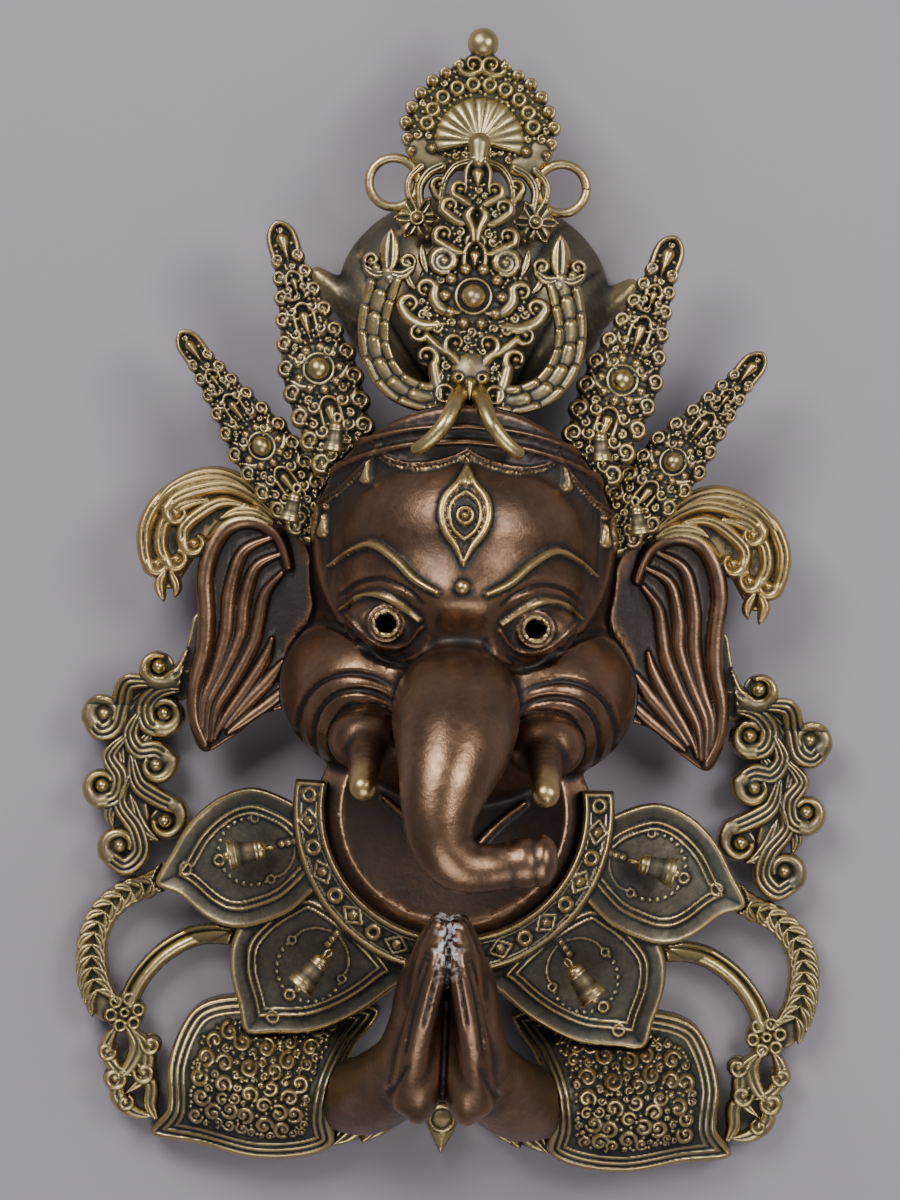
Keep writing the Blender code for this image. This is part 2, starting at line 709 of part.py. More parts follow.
def centre_relief(x, y):
    """Height of the middle leaf's carving over its plate."""
    ax = np.abs(x)
    height = dome(centre_outline(x, y), 1.2, 1.6)
    crescent = spline(CRESCENT)
    away = crescent - np.array(CRESCENT_CENTRE)
    for shift in (-4.0, 0.0, 4.0):
        row = crescent + shift * away / np.linalg.norm(away, axis=1, keepdims=True)
        height = np.maximum(height, dome(line_distance(ax, y, row, 1.9, 2.4), 3.4, 2.2))
    for centre in CENTRE_CURLS:
        height = np.maximum(height, dome(disc_distance(ax, y, centre, 3.8), 3.4, 3.8))
    for cx, cy, radius in FLEUR_LOBES:
        height = np.maximum(height, dome(disc_distance(ax, y, (cx, cy), radius - 1), 4.0, radius - 1))
    height = np.maximum(height, dome(line_distance(ax, y, np.array(FLEUR_TIP, float), 3, 1), 4.6, 3))
    height = np.maximum(height, dome(disc_distance(x, y, CENTRE_BOSS, 11.5), 2.6, 3))
    height = np.maximum(height, dome(disc_distance(x, y, CENTRE_BOSS, 5.4), 7.0, 5.4))
    for turn in range(CENTRE_BEADS):
        angle = math.tau * turn / CENTRE_BEADS
        centre = (CENTRE_BOSS[0] + 9.9 * math.sin(angle), CENTRE_BOSS[1] + 9.9 * math.cos(angle))
        height = np.maximum(height, dome(disc_distance(x, y, centre, 2.3), 4.4, 2.3))
    for low, high, width in CENTRE_DROPS:
        path = np.array(((0.0, low), (0.0, high)))
        height = np.maximum(height, dome(line_distance(x, y, path, width, 1.8), 5.0, width))
    return height


def build_centre_leaf(material):
    """The middle leaf, with two brass horns that curve out over the crown band."""
    leaf = plate_object(
        "crown_leaf_centre",
        centre_outline,
        centre_surface,
        centre_relief,
        (-54, 74),
        (54, 198),
        FACETS["crown_leaf_centre"],
        material,
    )
    for _, sign in SIDES:
        curve = spline(mirrored(HORN, sign), step=5.0)
        ends = np.linspace(HORN_ROOT, HORN_TIP, len(curve)) / 2
        join_tube(leaf, curve * UNIT, ends)


def join_tube(piece, path, radii, sides=6):
    """Unites a round bar along a path, in metres, with a piece."""
    verts, faces = [], []
    for index, centre in enumerate(path):
        before, after = path[max(index - 1, 0)], path[min(index + 1, len(path) - 1)]
        ahead = Vector(after - before).normalized()
        across = ahead.orthogonal() if index == 0 else across - ahead * across.dot(ahead)
        across.normalize()
        up = ahead.cross(across)
        for turn in range(sides):
            angle = math.tau * turn / sides
            spoke = math.cos(angle) * across + math.sin(angle) * up
            verts.append(Vector(centre) + float(radii[index]) * spoke)
    for index in range(len(path) - 1):
        for turn in range(sides):
            a, b = index * sides + turn, index * sides + (turn + 1) % sides
            faces.append((a, b, b + sides, a + sides))
    faces.append(tuple(reversed(range(sides))))
    faces.append(tuple(range((len(path) - 1) * sides, len(path) * sides)))
    mesh = bpy.data.meshes.new(piece.name + "_bar")
    mesh.from_pydata([tuple(v) for v in verts], [], faces)
    bar = bpy.data.objects.new(piece.name + "_bar", mesh)
    bpy.context.collection.objects.link(bar)
    bar.parent = MASK
    bar.hide_render = True
    bar.display_type = "WIRE"
    union = piece.modifiers.new("Bar", "BOOLEAN")
    union.operation = "UNION"
    union.object = bar


# The hair knot and the finial on it
TOPKNOT_LOW, TOPKNOT_HIGH = (-76.0, 78.0, -6.0), (76.0, 190.0, 52.0)
TOPKNOT = ((0, 136, 0), (61, 47, 36))
TOPKNOT_LEAF = ((50, 128, 10, 9.0), (62, 136, 9, 6.5), (70, 143, 8, 3.4))
HAIR_LOCKS = 14


def topknot_form(x, y, z):
    """Field of the hair knot: a ribbed dome, hollow and open behind, with a leaf at each side."""
    locks = 1.1 * np.cos(HAIR_LOCKS * np.arctan2(x, y - TOPKNOT[0][1] + 70))
    dome_form = ellipsoid(x, y, z, *TOPKNOT)
    form = dome_form + locks * np.clip((z - 8) / 8, 0, 1)
    for _, sign in SIDES:
        form = soft_union(form, limb(x, y, z, mirrored(TOPKNOT_LEAF, sign)), 4)
    form = np.maximum(form, -(dome_form + TOPKNOT_SHELL))
    return np.maximum(form, EASE - head_body(x, y, z))


def build_topknot(material):
    """The hair knot behind the crown leaves."""
    verts, faces = solid_of(topknot_form, TOPKNOT_LOW, TOPKNOT_HIGH, HAND_STEP)
    rest_flat(part_object("topknot", verts, faces, FACETS["topknot"], material))


FINIAL_HALF = (
    (0, 251),
    (4.5, 246.5),
    (14, 239.5),
    (22, 232),
    (28.5, 225),
    (33, 217),
    (35, 208.5),
    (33.5, 199.5),
    (27, 193),
    (12, 190),
)
FINIAL_RING = (37.0, 182.5)
FINIAL_FLOWER = (26.5, 167.0)
FINIAL_FEET = (((8, 194), (15, 188), (23, 181), (27, 170)), ((29, 196), (31, 187), (26, 178), (19, 173)))
FINIAL_HIGH, FINIAL_SLOPE = 31.0, 0.02
FAN_ROOT = (0.0, 198.0)
FAN_FLUTES = 11
FAN_REACH = 20.0
ARCH_BEADS, ARCH_RADIUS = 10, 25.5
# Small beads along the fan's outer edge
EDGE_CENTRE, EDGE_REACH, EDGE_BEADS, EDGE_BEAD = (0.0, 207.0), 33.4, 9, 2.6


def finial_surface(x, y):
    """Height of the finial's plate above the ground."""
    return FINIAL_HIGH + 2.2 * SHEET + FINIAL_SLOPE * (200 - y)


def finial_outline(x, y):
    """Field of the fan, its scrolled feet, the two wire rings and the two flowers."""
    ax = np.abs(x)
    body = area_distance(x, y, spline(both_halves(FINIAL_HALF), closed=True))
    for index in range(EDGE_BEADS):
        angle = math.radians(4 + index * 13)
        across, up = EDGE_REACH * math.sin(angle + 0.1), EDGE_REACH * math.cos(angle)
        centre = (EDGE_CENTRE[0] + across, EDGE_CENTRE[1] + up)
        body = np.minimum(body, disc_distance(ax, y, centre, EDGE_BEAD))
    for foot in FINIAL_FEET:
        body = np.minimum(body, line_distance(ax, y, spline(foot), 4.0, 3.4))
    ring = np.abs(disc_distance(ax, y, FINIAL_RING, RING_REACH)) - RING_HALF
    body = np.minimum(body, ring)
    return np.minimum(body, disc_distance(ax, y, FINIAL_FLOWER, 8.0))


def finial_relief(x, y):
    """Height of the fan's flutes, bead arch, feet, rings and flowers."""
    ax = np.abs(x)
    height = dome(finial_outline(x, y), 1.4, 1.8)
    away = np.hypot(x - FAN_ROOT[0], y - FAN_ROOT[1])
    angle = np.arctan2(x - FAN_ROOT[0], y - FAN_ROOT[1])
    flutes = 1.6 + 1.5 * np.cos(angle * 2 * FAN_FLUTES / 2.2)
    shell = np.clip(1 - (away / FAN_REACH) ** 6, 0, 1) * (y > FAN_ROOT[1] - 2)
    height = np.maximum(height, flutes * shell + 1.2 * shell)
    for index in range(ARCH_BEADS):
        turn = math.radians(-100 + 200 * index / (ARCH_BEADS - 1))
        centre = (FAN_ROOT[0] + ARCH_RADIUS * math.sin(turn), FAN_ROOT[1] + 3 + ARCH_RADIUS * math.cos(turn))
        height = np.maximum(height, dome(disc_distance(x, y, centre, 3.0), 3.6, 3.0))
    height = np.maximum(height, dome(disc_distance(x, y, (0, 245), 4.2), 4.6, 4.2))
    ring = np.abs(disc_distance(ax, y, FINIAL_RING, RING_REACH)) - RING_HALF
    height = np.maximum(height, dome(ring, 2.0, RING_HALF))
    flower = disc_distance(ax, y, FINIAL_FLOWER, 8.0)
    return np.maximum(height, dome(flower, 2.2, 3) + dome(flower + 5, 2.0, 3))


def build_finial(material):
    """The fan-shaped finial with its two wire rings, standing on the hair knot."""
    plate_object(
        "finial",
        finial_outline,
        finial_surface,
        finial_relief,
        (-56, 154),
        (56, 256),
        FACETS["finial"],
        material,
    )


# The ears with their leaf crests
EAR = (
    (70, 24),
    (83, 30),
    (95, 35),
    (106, 32),
    (114, 22),
    (117.5, 8),
    (116.5, -8),
    (117, -24),
    (120, -42),
    (118.5, -58),
    (112, -71),
    (100, -65),
    (86, -54),
    (70, -46),
    (60, -20),
)
EAR_OUTER_RIM = ((80, 18), (88, 29), (97, 32.5), (109, 25), (114.5, 8), (113, -14), (116.5, -38), (112, -66))
EAR_FLUTES = (
    ((90, 12), (92, -10), (95, -32), (103, -52), (109, -63)),
    ((97, 16), (100, -8), (102, -28), (108, -50), (110, -62)),
    ((104, 14), (106, -8), (107, -28), (112, -48), (111, -60)),
    ((84, -4), (86, -24), (90, -42), (100, -57), (107, -66)),
)
CREST = (
    (80, 30),
    (86, 38),
    (95, 46),
    (104, 52),
    (115, 53.5),
    (127, 50.5),
    (136, 42),
    (141.5, 30),
    (141.5, 15),
    (136, 4),
    (130, -5),
    (124.5, 0),
    (119, 12),
    (115, 22),
    (107, 30),
    (95, 32),
)
CREST_LEAVES = (
    ((84, 34), (97, 47), (115, 51)),
    ((88, 36), (106, 46), (124, 47), (137, 37)),
    ((92, 36), (110, 40), (123, 34), (125, 20)),
    ((112, 44), (127, 38), (133, 26), (131, 12)),
    ((124, 44), (136, 34), (140, 22), (138, 9)),
)
CREST_BALLS = ((127.6, 37), (120.5, 20), (126.4, 8), (136, 9), (130.5, -1.5))
EAR_HIGH = 27.0


def ear_surface(x, y):
    """Height of the ear, a shallow bowl that turns back at its outer rim."""
    return EAR_HIGH + 0.05 * (118 - np.abs(x)) + 0.0022 * (np.abs(x) - 97) ** 2


def ear_outline(x, y):
    """Field of the ear and its crest, cut clear of the head."""
    ax = np.abs(x)
    body = area_distance(ax, y, spline(EAR, closed=True))
    body = np.minimum(body, area_distance(ax, y, spline(CREST, closed=True)))
    for ball in CREST_BALLS:
        body = np.minimum(body, disc_distance(ax, y, ball, 5.0))
    for level in (3.0, 0.0, -SHEET):
        body = np.maximum(body, EASE - head_body(x, y, ear_surface(x, y) + level))
    return body


def ear_relief(x, y):
    """Height of the ear's rim and flutes and of the crest's long leaves."""
    ax = np.abs(x)
    height = dome(ear_outline(x, y), 1.0, 1.4)
    height = np.maximum(height, dome(line_distance(ax, y, spline(EAR_OUTER_RIM), 4.0, 2.0), 3.6, 3.6))
    for flute in EAR_FLUTES:
        height = np.maximum(height, dome(line_distance(ax, y, spline(flute), 2.6, 1.4), 2.8, 2.4))
    for leaf in CREST_LEAVES:
        height = np.maximum(height, dome(line_distance(ax, y, spline(leaf), 2.2, 3.2), 4.4, 3.0))
    for ball in CREST_BALLS:
        height = np.maximum(height, dome(disc_distance(ax, y, ball, 4.4), 4.8, 4.4))
    return height


def build_ears(material):
    """Two fluted ears, each with a crest of long leaves at its top."""
    for side, sign in SIDES:
        low, high = sorted((sign * 56.0, sign * 148.0))
        plate_object(
            f"ear_{side}",
            ear_outline,
            ear_surface,
            ear_relief,
            (low, -78),
            (high, 60),
            FACETS["ear"],
            material,
        )


# The curled ribbons behind the ears
RIBBON_ROOT = ((114, -14), (116, -26), (118, -36), (124, -44))
RIBBON_SPINE = ((122, -40), (137, -44), (146, -57), (146, -72), (144, -88), (140, -102), (143, -116))
RIBBON_CURLS = (
    (134, -33, 8.0),
    (153, -50, 9.0),
    (130, -57, 8.5),
    (125, -79, 10.5),
    (155, -75, 9.5),
    (122, -101, 9.0),
    (152, -99, 7.5),
    (144, -114, 7.0),
)
RIBBON_HIGH = 13.0


def ribbon_surface(x, y):
    """Height of the ribbon, which lies up against the back of the ear at its root."""
    under_ear = ear_surface(x, y) - SHEET - CLEAR
    rise = np.clip((y + 52) / 16, 0, 1)
    return RIBBON_HIGH + rise * (under_ear - CLEAR - RIBBON_HIGH)


def ribbon_outline(x, y):
    """Field of the ribbon: root, spine and curls."""
    ax = np.abs(x)
    body = line_distance(ax, y, spline(RIBBON_ROOT), 5.5, 6.0)
    spine = spline(RIBBON_SPINE)
    body = np.minimum(body, line_distance(ax, y, spine, 9.5, 8.0))
    for cx, cy, radius in RIBBON_CURLS:
        body = np.minimum(body, disc_distance(ax, y, (cx, cy), radius))
        start = spine[np.argmin(np.hypot(spine[:, 0] - cx, spine[:, 1] - cy - radius))]
        lock = np.array((start, (cx, cy)))
        body = np.minimum(body, line_distance(ax, y, lock, 5.0, 4.0))
    return body


def ribbon_relief(x, y):
    """Height of the ribbon's locks and curl eyes, flat where the ear covers it."""
    ax = np.abs(x)
    height = dome(ribbon_outline(x, y), 1.2, 2.0)
    height = np.maximum(height, dome(line_distance(ax, y, spline(RIBBON_SPINE), 3.2, 3.0), 4.0, 3.0))
    for cx, cy, radius in RIBBON_CURLS:
        away = disc_distance(ax, y, (cx, cy), 0.0)
        height = np.maximum(height, dome(np.abs(away - radius + 2.4) - 2.2, 3.6, 2.2))
        height = np.maximum(height, dome(away - 2.6, 4.4, 2.6))
    covered = -area_distance(ax, y, spline(EAR, closed=True))
    return np.where(covered > -3.0, 0.4, height)


def build_ribbons(material):
    """Two ribbons of curls that hang from behind the ears."""
    for side, sign in SIDES:
        low, high = sorted((sign * 104.0, sign * 168.0))
        plate_object(
            f"ribbon_{side}",
            ribbon_outline,
            ribbon_surface,
            ribbon_relief,
            (low, -128),
            (high, -6),
            FACETS["ribbon"],
            material,
        )


# The collar: a studded neck ring with four petals
RING_CENTRE, RING_INNER, RING_OUTER = (0, -91), (56.5, 55), (70.5, 72)
RING_TOP = -81.0
RING_STUDS = 17
# Room left between the collar and the jaw and cheeks above it
COLLAR_ROOM = 4.0
UPPER_PETAL = (
    (50, -112),
    (64, -96),
    (76, -89),
    (90, -86),
    (104, -91),
    (116, -102),
    (124, -116),
    (130.5, -130),
    (120, -135),
    (108, -144),
    (97, -148),
    (84, -146),
    (66, -136),
)
LOWER_PETAL = (
    (60, -126),
    (76, -132),
    (89, -143),
    (95.5, -154),
    (96, -168),
    (92, -182),
    (88, -194.5),
    (76, -194.5),
    (58, -192.5),
    (40, -184),
    (26, -173),
    (17, -162),
    (36, -140),
)
PETAL_RING_BEADS = (((92, -112), 14.0), ((63.6, -162), 14.5))


def ring_distance(x, y):
    """Field of the neck ring, an oval band open at the top."""
    inner = ellipsoid(x, y, 0 * x, (*RING_CENTRE, 0), (*RING_INNER, UPRIGHT))
    outer = ellipsoid(x, y, 0 * x, (*RING_CENTRE, 0), (*RING_OUTER, UPRIGHT))
    return np.maximum(np.maximum(-inner, outer), y - RING_TOP)


def collar_parts(x, y):
    """Fields of the ring, the upper petals and the lower petals."""
    ax = np.abs(x)
    bore = -ellipsoid(x, y, 0 * x, (*RING_CENTRE, 0), (*RING_INNER, UPRIGHT))
    upper = np.maximum(area_distance(ax, y, spline(UPPER_PETAL, closed=True)), bore)
    lower = np.maximum(area_distance(ax, y, spline(LOWER_PETAL, closed=True)), bore)
    return ring_distance(x, y), upper, lower


def collar_outline(x, y):
    """Field of the whole collar, cut clear of the cheeks above it."""
    ring, upper, lower = collar_parts(x, y)
    body = np.minimum(ring, np.minimum(upper, lower))
    for level in (10.0, 4.0, 0.0):
        jaw = ellipsoid(x, y, collar_surface(x, y) + level, *HEAD_MASSES[-1][:2])
        cheek = ellipsoid(np.abs(x), y, collar_surface(x, y) + level, *CHEEK)
        body = np.maximum(body, COLLAR_ROOM - np.minimum(jaw, cheek))
    return body


def collar_relief(x, y):
    """Height of the petals' edges and bead circles and of the ring's studs."""
    ax = np.abs(x)
    ring, upper, lower = collar_parts(x, y)
    height = dome(collar_outline(x, y), 1.0, 1.4)
    for petal, lift in ((lower, 0.0), (upper, 1.6)):
        edge = dome(np.abs(petal + 2.4) - 2.0, 2.2, 2.0) + lift
        inner = dome(np.abs(petal + 7.2) - 1.2, 1.0, 1.2) + lift
        height = np.where(petal < 0, np.maximum(np.maximum(edge, inner), lift), height)
    for centre, radius in PETAL_RING_BEADS:
        away = disc_distance(ax, y, centre, radius)
        height = height + dome(np.abs(away) - 1.5, 0.9, 1.5)
    height = np.where(ring < 0, 4.4 + dome(ring, 1.2, 1.4), height)
    height = height + dome(np.abs(ring + 2.0) - 1.4, 1.2, 1.4)
    middle = [(a + b) / 2 for a, b in zip(RING_INNER, RING_OUTER)]
    for index in range(RING_STUDS):
        angle = math.radians(-100 + 200 * index / (RING_STUDS - 1))
        centre = (RING_CENTRE[0] + middle[0] * math.sin(angle), RING_CENTRE[1] - middle[1] * math.cos(angle))
        height = height + dome(disc_distance(x, y, centre, STUD_REACH), 2.4, STUD_REACH)
    return height


def build_collar(material):
    """The studded ring and its four petals, resting on the chest."""
    plate_object(
        "collar",
        collar_outline,
        collar_surface,
        collar_relief,
        (-138, -202),
        (138, -76),
        FACETS["collar"],
        material,
    )


# The sleeves, the hands between them and the small leaves below
SLEEVE = (
    (30, -183),
    (40, -200),
    (46.5, -214),
    (49, -230),
    (48, -243),
    (60, -249.5),
    (82, -251),
    (106, -246),
    (129, -242.5),
    (122, -230),
    (122.5, -211),
    (117, -193),
    (108, -183),
    (90, -179),
    (60, -178),
)
SLEEVE_CENTRE, SLEEVE_SPREAD, SLEEVE_RISE, SLEEVE_EDGE = (84, -221), (50, 36), 34.0, 9.0
# Heights of the sleeves' and the neck ring's carving
SLEEVE_CARVING, COLLAR_CARVING = 4.5, 9.0
CUFF_CENTRE, CUFF_SPREAD, CUFF_RISE = (47, -214), (15, 24), 20.0
# Metal behind the sleeves' carving, besides the sheet itself
SLEEVE_WEIGHT = 3.0
SLEEVE_SCROLLS = ((72, -206), (92, -204), (108, -216), (88, -222), (68, -226), (104, -234), (82, -238))


def sleeve_surface(x, y):
    """Height of the sleeve's puffed front."""
    across = (np.abs(x) - SLEEVE_CENTRE[0]) / SLEEVE_SPREAD[0]
    along = (y - SLEEVE_CENTRE[1]) / SLEEVE_SPREAD[1]
    puff = SLEEVE_RISE * np.exp(-1.9 * (across**2 + along**2))
    cuff_across = (np.abs(x) - CUFF_CENTRE[0]) / CUFF_SPREAD[0]
    cuff_along = (y - CUFF_CENTRE[1]) / CUFF_SPREAD[1]
    return SLEEVE_EDGE + puff + CUFF_RISE * np.exp(-(cuff_across**2) - cuff_along**2)


def sleeve_outline(x, y):
    """Field of the leaf-shaped sleeve."""
    return area_distance(np.abs(x), y, spline(SLEEVE, closed=True))


def sleeve_relief(x, y):
    """Height of the sleeve's ridged border and its scroll field."""
    ax = np.abs(x)
    edge = sleeve_outline(x, y)
    height = dome(edge, 1.4, 2.0)
    height = np.maximum(height, dome(np.abs(edge + 4.0) - 1.8, 2.6, 1.8))
    height = np.maximum(height, dome(np.abs(edge + 8.6) - 1.6, 2.4, 1.6))
    for centre in SLEEVE_SCROLLS:
        away = disc_distance(ax, y, centre, 0.0)
        height = np.maximum(height, dome(np.abs(away - 5.6) - 2.0, 2.8, 2.0))
        height = np.maximum(height, dome(away - 2.2, 3.0, 2.2))
    return height


def sleeve_front(x, y):
    """Height of the carved sleeve, held down under the petals that lie on it."""
    free = sleeve_surface(x, y) + sleeve_relief(x, y)
    under = collar_surface(x, y) - SHEET - EASE
    return np.where(collar_outline(x, y) < 2.5, np.minimum(free, under), free)


def sleeve_form(x, y, z):
    """Field of a sleeve, for the pieces that must stay clear of it."""
    top = sleeve_surface(x, y) + SLEEVE_CARVING
    return np.maximum(sleeve_outline(x, y) + 0 * z, 0.8 * (z - top))


def sleeve_back(x, y):
    """Height of the sleeve's hollow back, flat on the ground along its rim."""
    edge = sleeve_outline(x, y)
    return np.where(edge > -SHEET, 0.0, np.maximum(sleeve_front(x, y) - SHEET - SLEEVE_WEIGHT, 0.0))


def build_sleeves(material):
    """Two puffed sleeves, hollow behind, on their own flat rims."""
    for side, sign in SIDES:
        low, high = sorted((sign * 26.0, sign * 134.0))
        verts, faces = plate_of(sleeve_outline, sleeve_front, sleeve_back, (low, -256), (high, -172))
        rest_flat(part_object(f"sleeve_{side}", verts, faces, FACETS["sleeve"], material))


HAND_LOW, HAND_HIGH = (-60.0, -240.0, 2.0), (60.0, -126.0, 134.0)
FOREARM = ((42, -220, 30, 16.5), (33, -218, 44, 17.5), (22, -209, 64, 17), (13.5, -196, 84, 14))
PALM = ((10.5, -187, 88), (13.5, 38, 18))
FINGERS = (
    ((9.5, -168, 92, 8.5), (7.5, -150, 104, 7.6), (4.0, -137, 112, 4.8)),
    ((9.0, -170, 100, 8.0), (7.0, -152, 113, 6.8), (3.6, -138.5, 119, 4.6)),
)
THUMB = (
    (14.5, -213, 91, 8),
    (13, -195, 103, 7.5),
    (9.5, -175, 113, 6.8),
    (5.6, -158, 119, 5.6),
    (4.6, -150, 120, 4),
)


def hands_form(x, y, z):
    """Field of the two hands, pressed palm to palm, with the forearms up to the sleeves."""
    form = None
    for _, sign in SIDES:
        arm = limb(x, y, z, mirrored(FOREARM, sign))
        palm = ellipsoid(x, y, z, side_of(PALM[0], sign), PALM[1])
        hand = soft_union(arm, palm, 9)
        for finger in FINGERS:
            hand = soft_union(hand, limb(x, y, z, mirrored(finger, sign)), 3)
        hand = soft_union(hand, limb(x, y, z, mirrored(THUMB, sign)), 2)
        form = hand if form is None else soft_union(form, hand, 1.5)
    top = collar_surface(x, y) + COLLAR_CARVING
    under = np.maximum(collar_outline(x, y) + 0 * z, 0.8 * (z - top))
    form = np.maximum(form, EASE - under)
    form = np.maximum(form, EASE - sleeve_form(x, y, z))
    return np.maximum(form, EASE - head_body(x, y, z))


def build_hands(material):
    """The hands and forearms, one cast piece."""
    verts, faces = solid_of(hands_form, HAND_LOW, HAND_HIGH, HAND_STEP)
    part_object("folded_hands", verts, faces, FACETS["folded_hands"], material)


BASE_LEAVES = (((30, -216), (40, -236), (47, -244)), ((0, -214), (24, -226), (33, -241)))
BASE_DROP = ((0, -222), (0, -238))
BASE_HIGH = 6.0


def base_outline(x, y):
    """Field of the two leaf edges and the drop under the hands, clear of the sleeves."""
    ax = np.abs(x)
    body = line_distance(ax, y, spline(BASE_LEAVES[0]), 6.0, 3.0)
    body = np.minimum(body, line_distance(ax, y, spline(BASE_LEAVES[1]), 8.0, 4.0))
    body = np.minimum(body, line_distance(x, y, np.array(BASE_DROP, float), 9.0, 5.0))
    return np.maximum(body, EASE - sleeve_outline(x, y))


def base_relief(x, y):
    """Height of the leaf edges and the drop."""
    height = dome(base_outline(x, y), 1.6, 2.4)
    path = np.array(BASE_DROP, float)
    return np.maximum(height, dome(line_distance(x, y, path, 6.0, 3.0), 4.6, 5.0))


def build_base_petals(material):
    """The leaves and the drop that close the mask below the hands."""
    plate_object(
        "base_petals",
        base_outline,
        lambda x, y: BASE_HIGH + 0 * x,
        base_relief,
        (-56, -250),
        (56, -200),
        FACETS["base_petals"],
        material,
    )


# The garlands at the elbows
BRAID = (
    (124, -124),
    (133, -131),
    (144, -136),
    (153, -144),
    (158, -155),
    (158.5, -168),
    (156, -179),
    (151, -188),
)
ARC = ((92, -152), (104, -152), (116, -155), (128, -163), (137, -174), (142, -185))
FLOWER = (143.0, -189.0)
TASSEL = (
    (144, -198, 6.5),
    (133, -203, 6.5),
    (149, -208, 6.0),
    (133, -214, 7.0),
    (144, -219, 7.0),
    (139, -227, 7.5),
    (130, -232, 6.0),
)
GARLAND_HIGH = 10.0


def garland_surface(x, y):
    """Height of the garland, raised to the back of the collar where it starts."""
    under = collar_surface(x, y) - SHEET - EASE
    rise = np.clip(1 - area_distance(np.abs(x), y, spline(UPPER_PETAL, closed=True)) / 12, 0, 1)
    low = np.clip(1 - area_distance(np.abs(x), y, spline(LOWER_PETAL, closed=True)) / 12, 0, 1)
    return GARLAND_HIGH + np.maximum(rise, low) * (under - GARLAND_HIGH)


def garland_outline(x, y):
    """Field of the braid, the double arc, the flower and the tassel, clear of the sleeve."""
    ax = np.abs(x)
    body = line_distance(ax, y, spline(BRAID), 4.5, 6.6)
    body = np.minimum(body, line_distance(ax, y, spline(ARC), 5.5, 4.0))
    body = np.minimum(body, disc_distance(ax, y, FLOWER, 11.0))
    for cx, cy, radius in TASSEL:
        body = np.minimum(body, disc_distance(ax, y, (cx, cy), radius))
    return np.maximum(body, EASE - sleeve_outline(x, y))


def garland_relief(x, y):
    """Height of the braid, arc, petals and curls, flat where the collar covers it."""
    ax = np.abs(x)
    height = dome(garland_outline(x, y), 1.6, 2.4)
    braid = spline(BRAID)
    height = np.maximum(height, dome(line_distance(ax, y, braid, 3.6, 5.0), 4.6, 4.4))
    height = np.maximum(height, dome(line_distance(ax, y, spline(ARC), 3.4, 3.0), 3.8, 3.0))
    for turn in range(6):
        angle = math.tau * turn / 6
        centre = (FLOWER[0] + 6.4 * math.sin(angle), FLOWER[1] + 6.4 * math.cos(angle))
        height = np.maximum(height, dome(disc_distance(ax, y, centre, 4.2), 4.2, 4.0))
    height = np.maximum(height, dome(disc_distance(ax, y, FLOWER, 3.6), 6.0, 3.6))
    for cx, cy, radius in TASSEL:
        height = np.maximum(height, dome(disc_distance(ax, y, (cx, cy), radius - 1.2), 4.2, radius - 1.2))
    _, upper, lower = collar_parts(ax, y)
    return np.where(np.minimum(upper, lower) < 1.5, 0.2, height)


def build_garlands(material):
    """Two garlands that loop from the collar to the sleeves."""
    for side, sign in SIDES:
        low, high = sorted((sign * 84.0, sign * 170.0))
        plate_object(
            f"garland_{side}",
            garland_outline,
            garland_surface,
            garland_relief,
            (low, -244),
            (high, -116),
            FACETS["garland"],
            material,
        )


# The bells with their clappers
PETAL_BELLS = (("upper", (81, -111.5), (0.975, -0.22)), ("lower", (53.5, -157.5), (0.62, -0.785)))
CROWN_BELLS = (("inner", (57, 75, 69), (0.1, -1)), ("outer", (74, 44, 60), (0.2, -1)))
# Height of the petals' carving, which a bell lies over
PETAL_CARVING = 5.2
BELL_SIDES = 8


def turned(name, profile, material, sides=BELL_SIDES):
    """A closed turned piece from its profile of (radius, height), which starts and ends on the axis."""
    verts = [(0, 0, profile[0][1])]
    for radius, height in profile[1:-1]:
        for turn in range(sides):
            angle = math.tau * turn / sides
            verts.append((radius * math.cos(angle), radius * math.sin(angle), height))
    verts.append((0, 0, profile[-1][1]))
    last, rows = len(verts) - 1, len(profile) - 2
    faces = []
    for turn in range(sides):
        after = (turn + 1) % sides
        faces.append((0, 1 + turn, 1 + after))
        for row in range(rows - 1):
            a, b = 1 + row * sides + turn, 1 + row * sides + after
            faces.append((a, a + sides, b + sides, b))
        faces.append((last, 1 + (rows - 1) * sides + after, 1 + (rows - 1) * sides + turn))
    return part_object(name, np.array(verts) / UNIT, faces, None, material)


def bell_pair(name, length, mouth, place, heading, material):
    """A bell that hangs along a heading, and the clapper inside it."""
    lip, waist = mouth / 2, mouth * 0.31
    shell = (
        (0, 0),
        (waist, -0.16 * length),
        (waist * 1.15, -0.66 * length),
        (lip, -length),
        (lip - BELL_WALL, -length),
        (waist * 1.15 - BELL_WALL, -0.66 * length),
        (waist - BELL_WALL, -0.26 * length),
        (0, -0.16 * length),
    )
    stem, ball = mouth * 0.07, mouth * 0.15
    top = -0.16 * length - GAP
    clapper = (
        (0, top),
        (stem, top - stem),
        (stem, -0.86 * length),
        (ball, -length),
        (ball * 0.8, -1.12 * length),
        (0, -1.18 * length),
    )
    turn = Vector((0, 0, -1)).rotation_difference(Vector((*heading, 0)).normalized())
    for piece in (turned(name, shell, material), turned(name + "_clapper", clapper, material, 6)):
        piece.rotation_mode = "QUATERNION"
        piece.rotation_quaternion = turn
        piece.location = Vector(place)


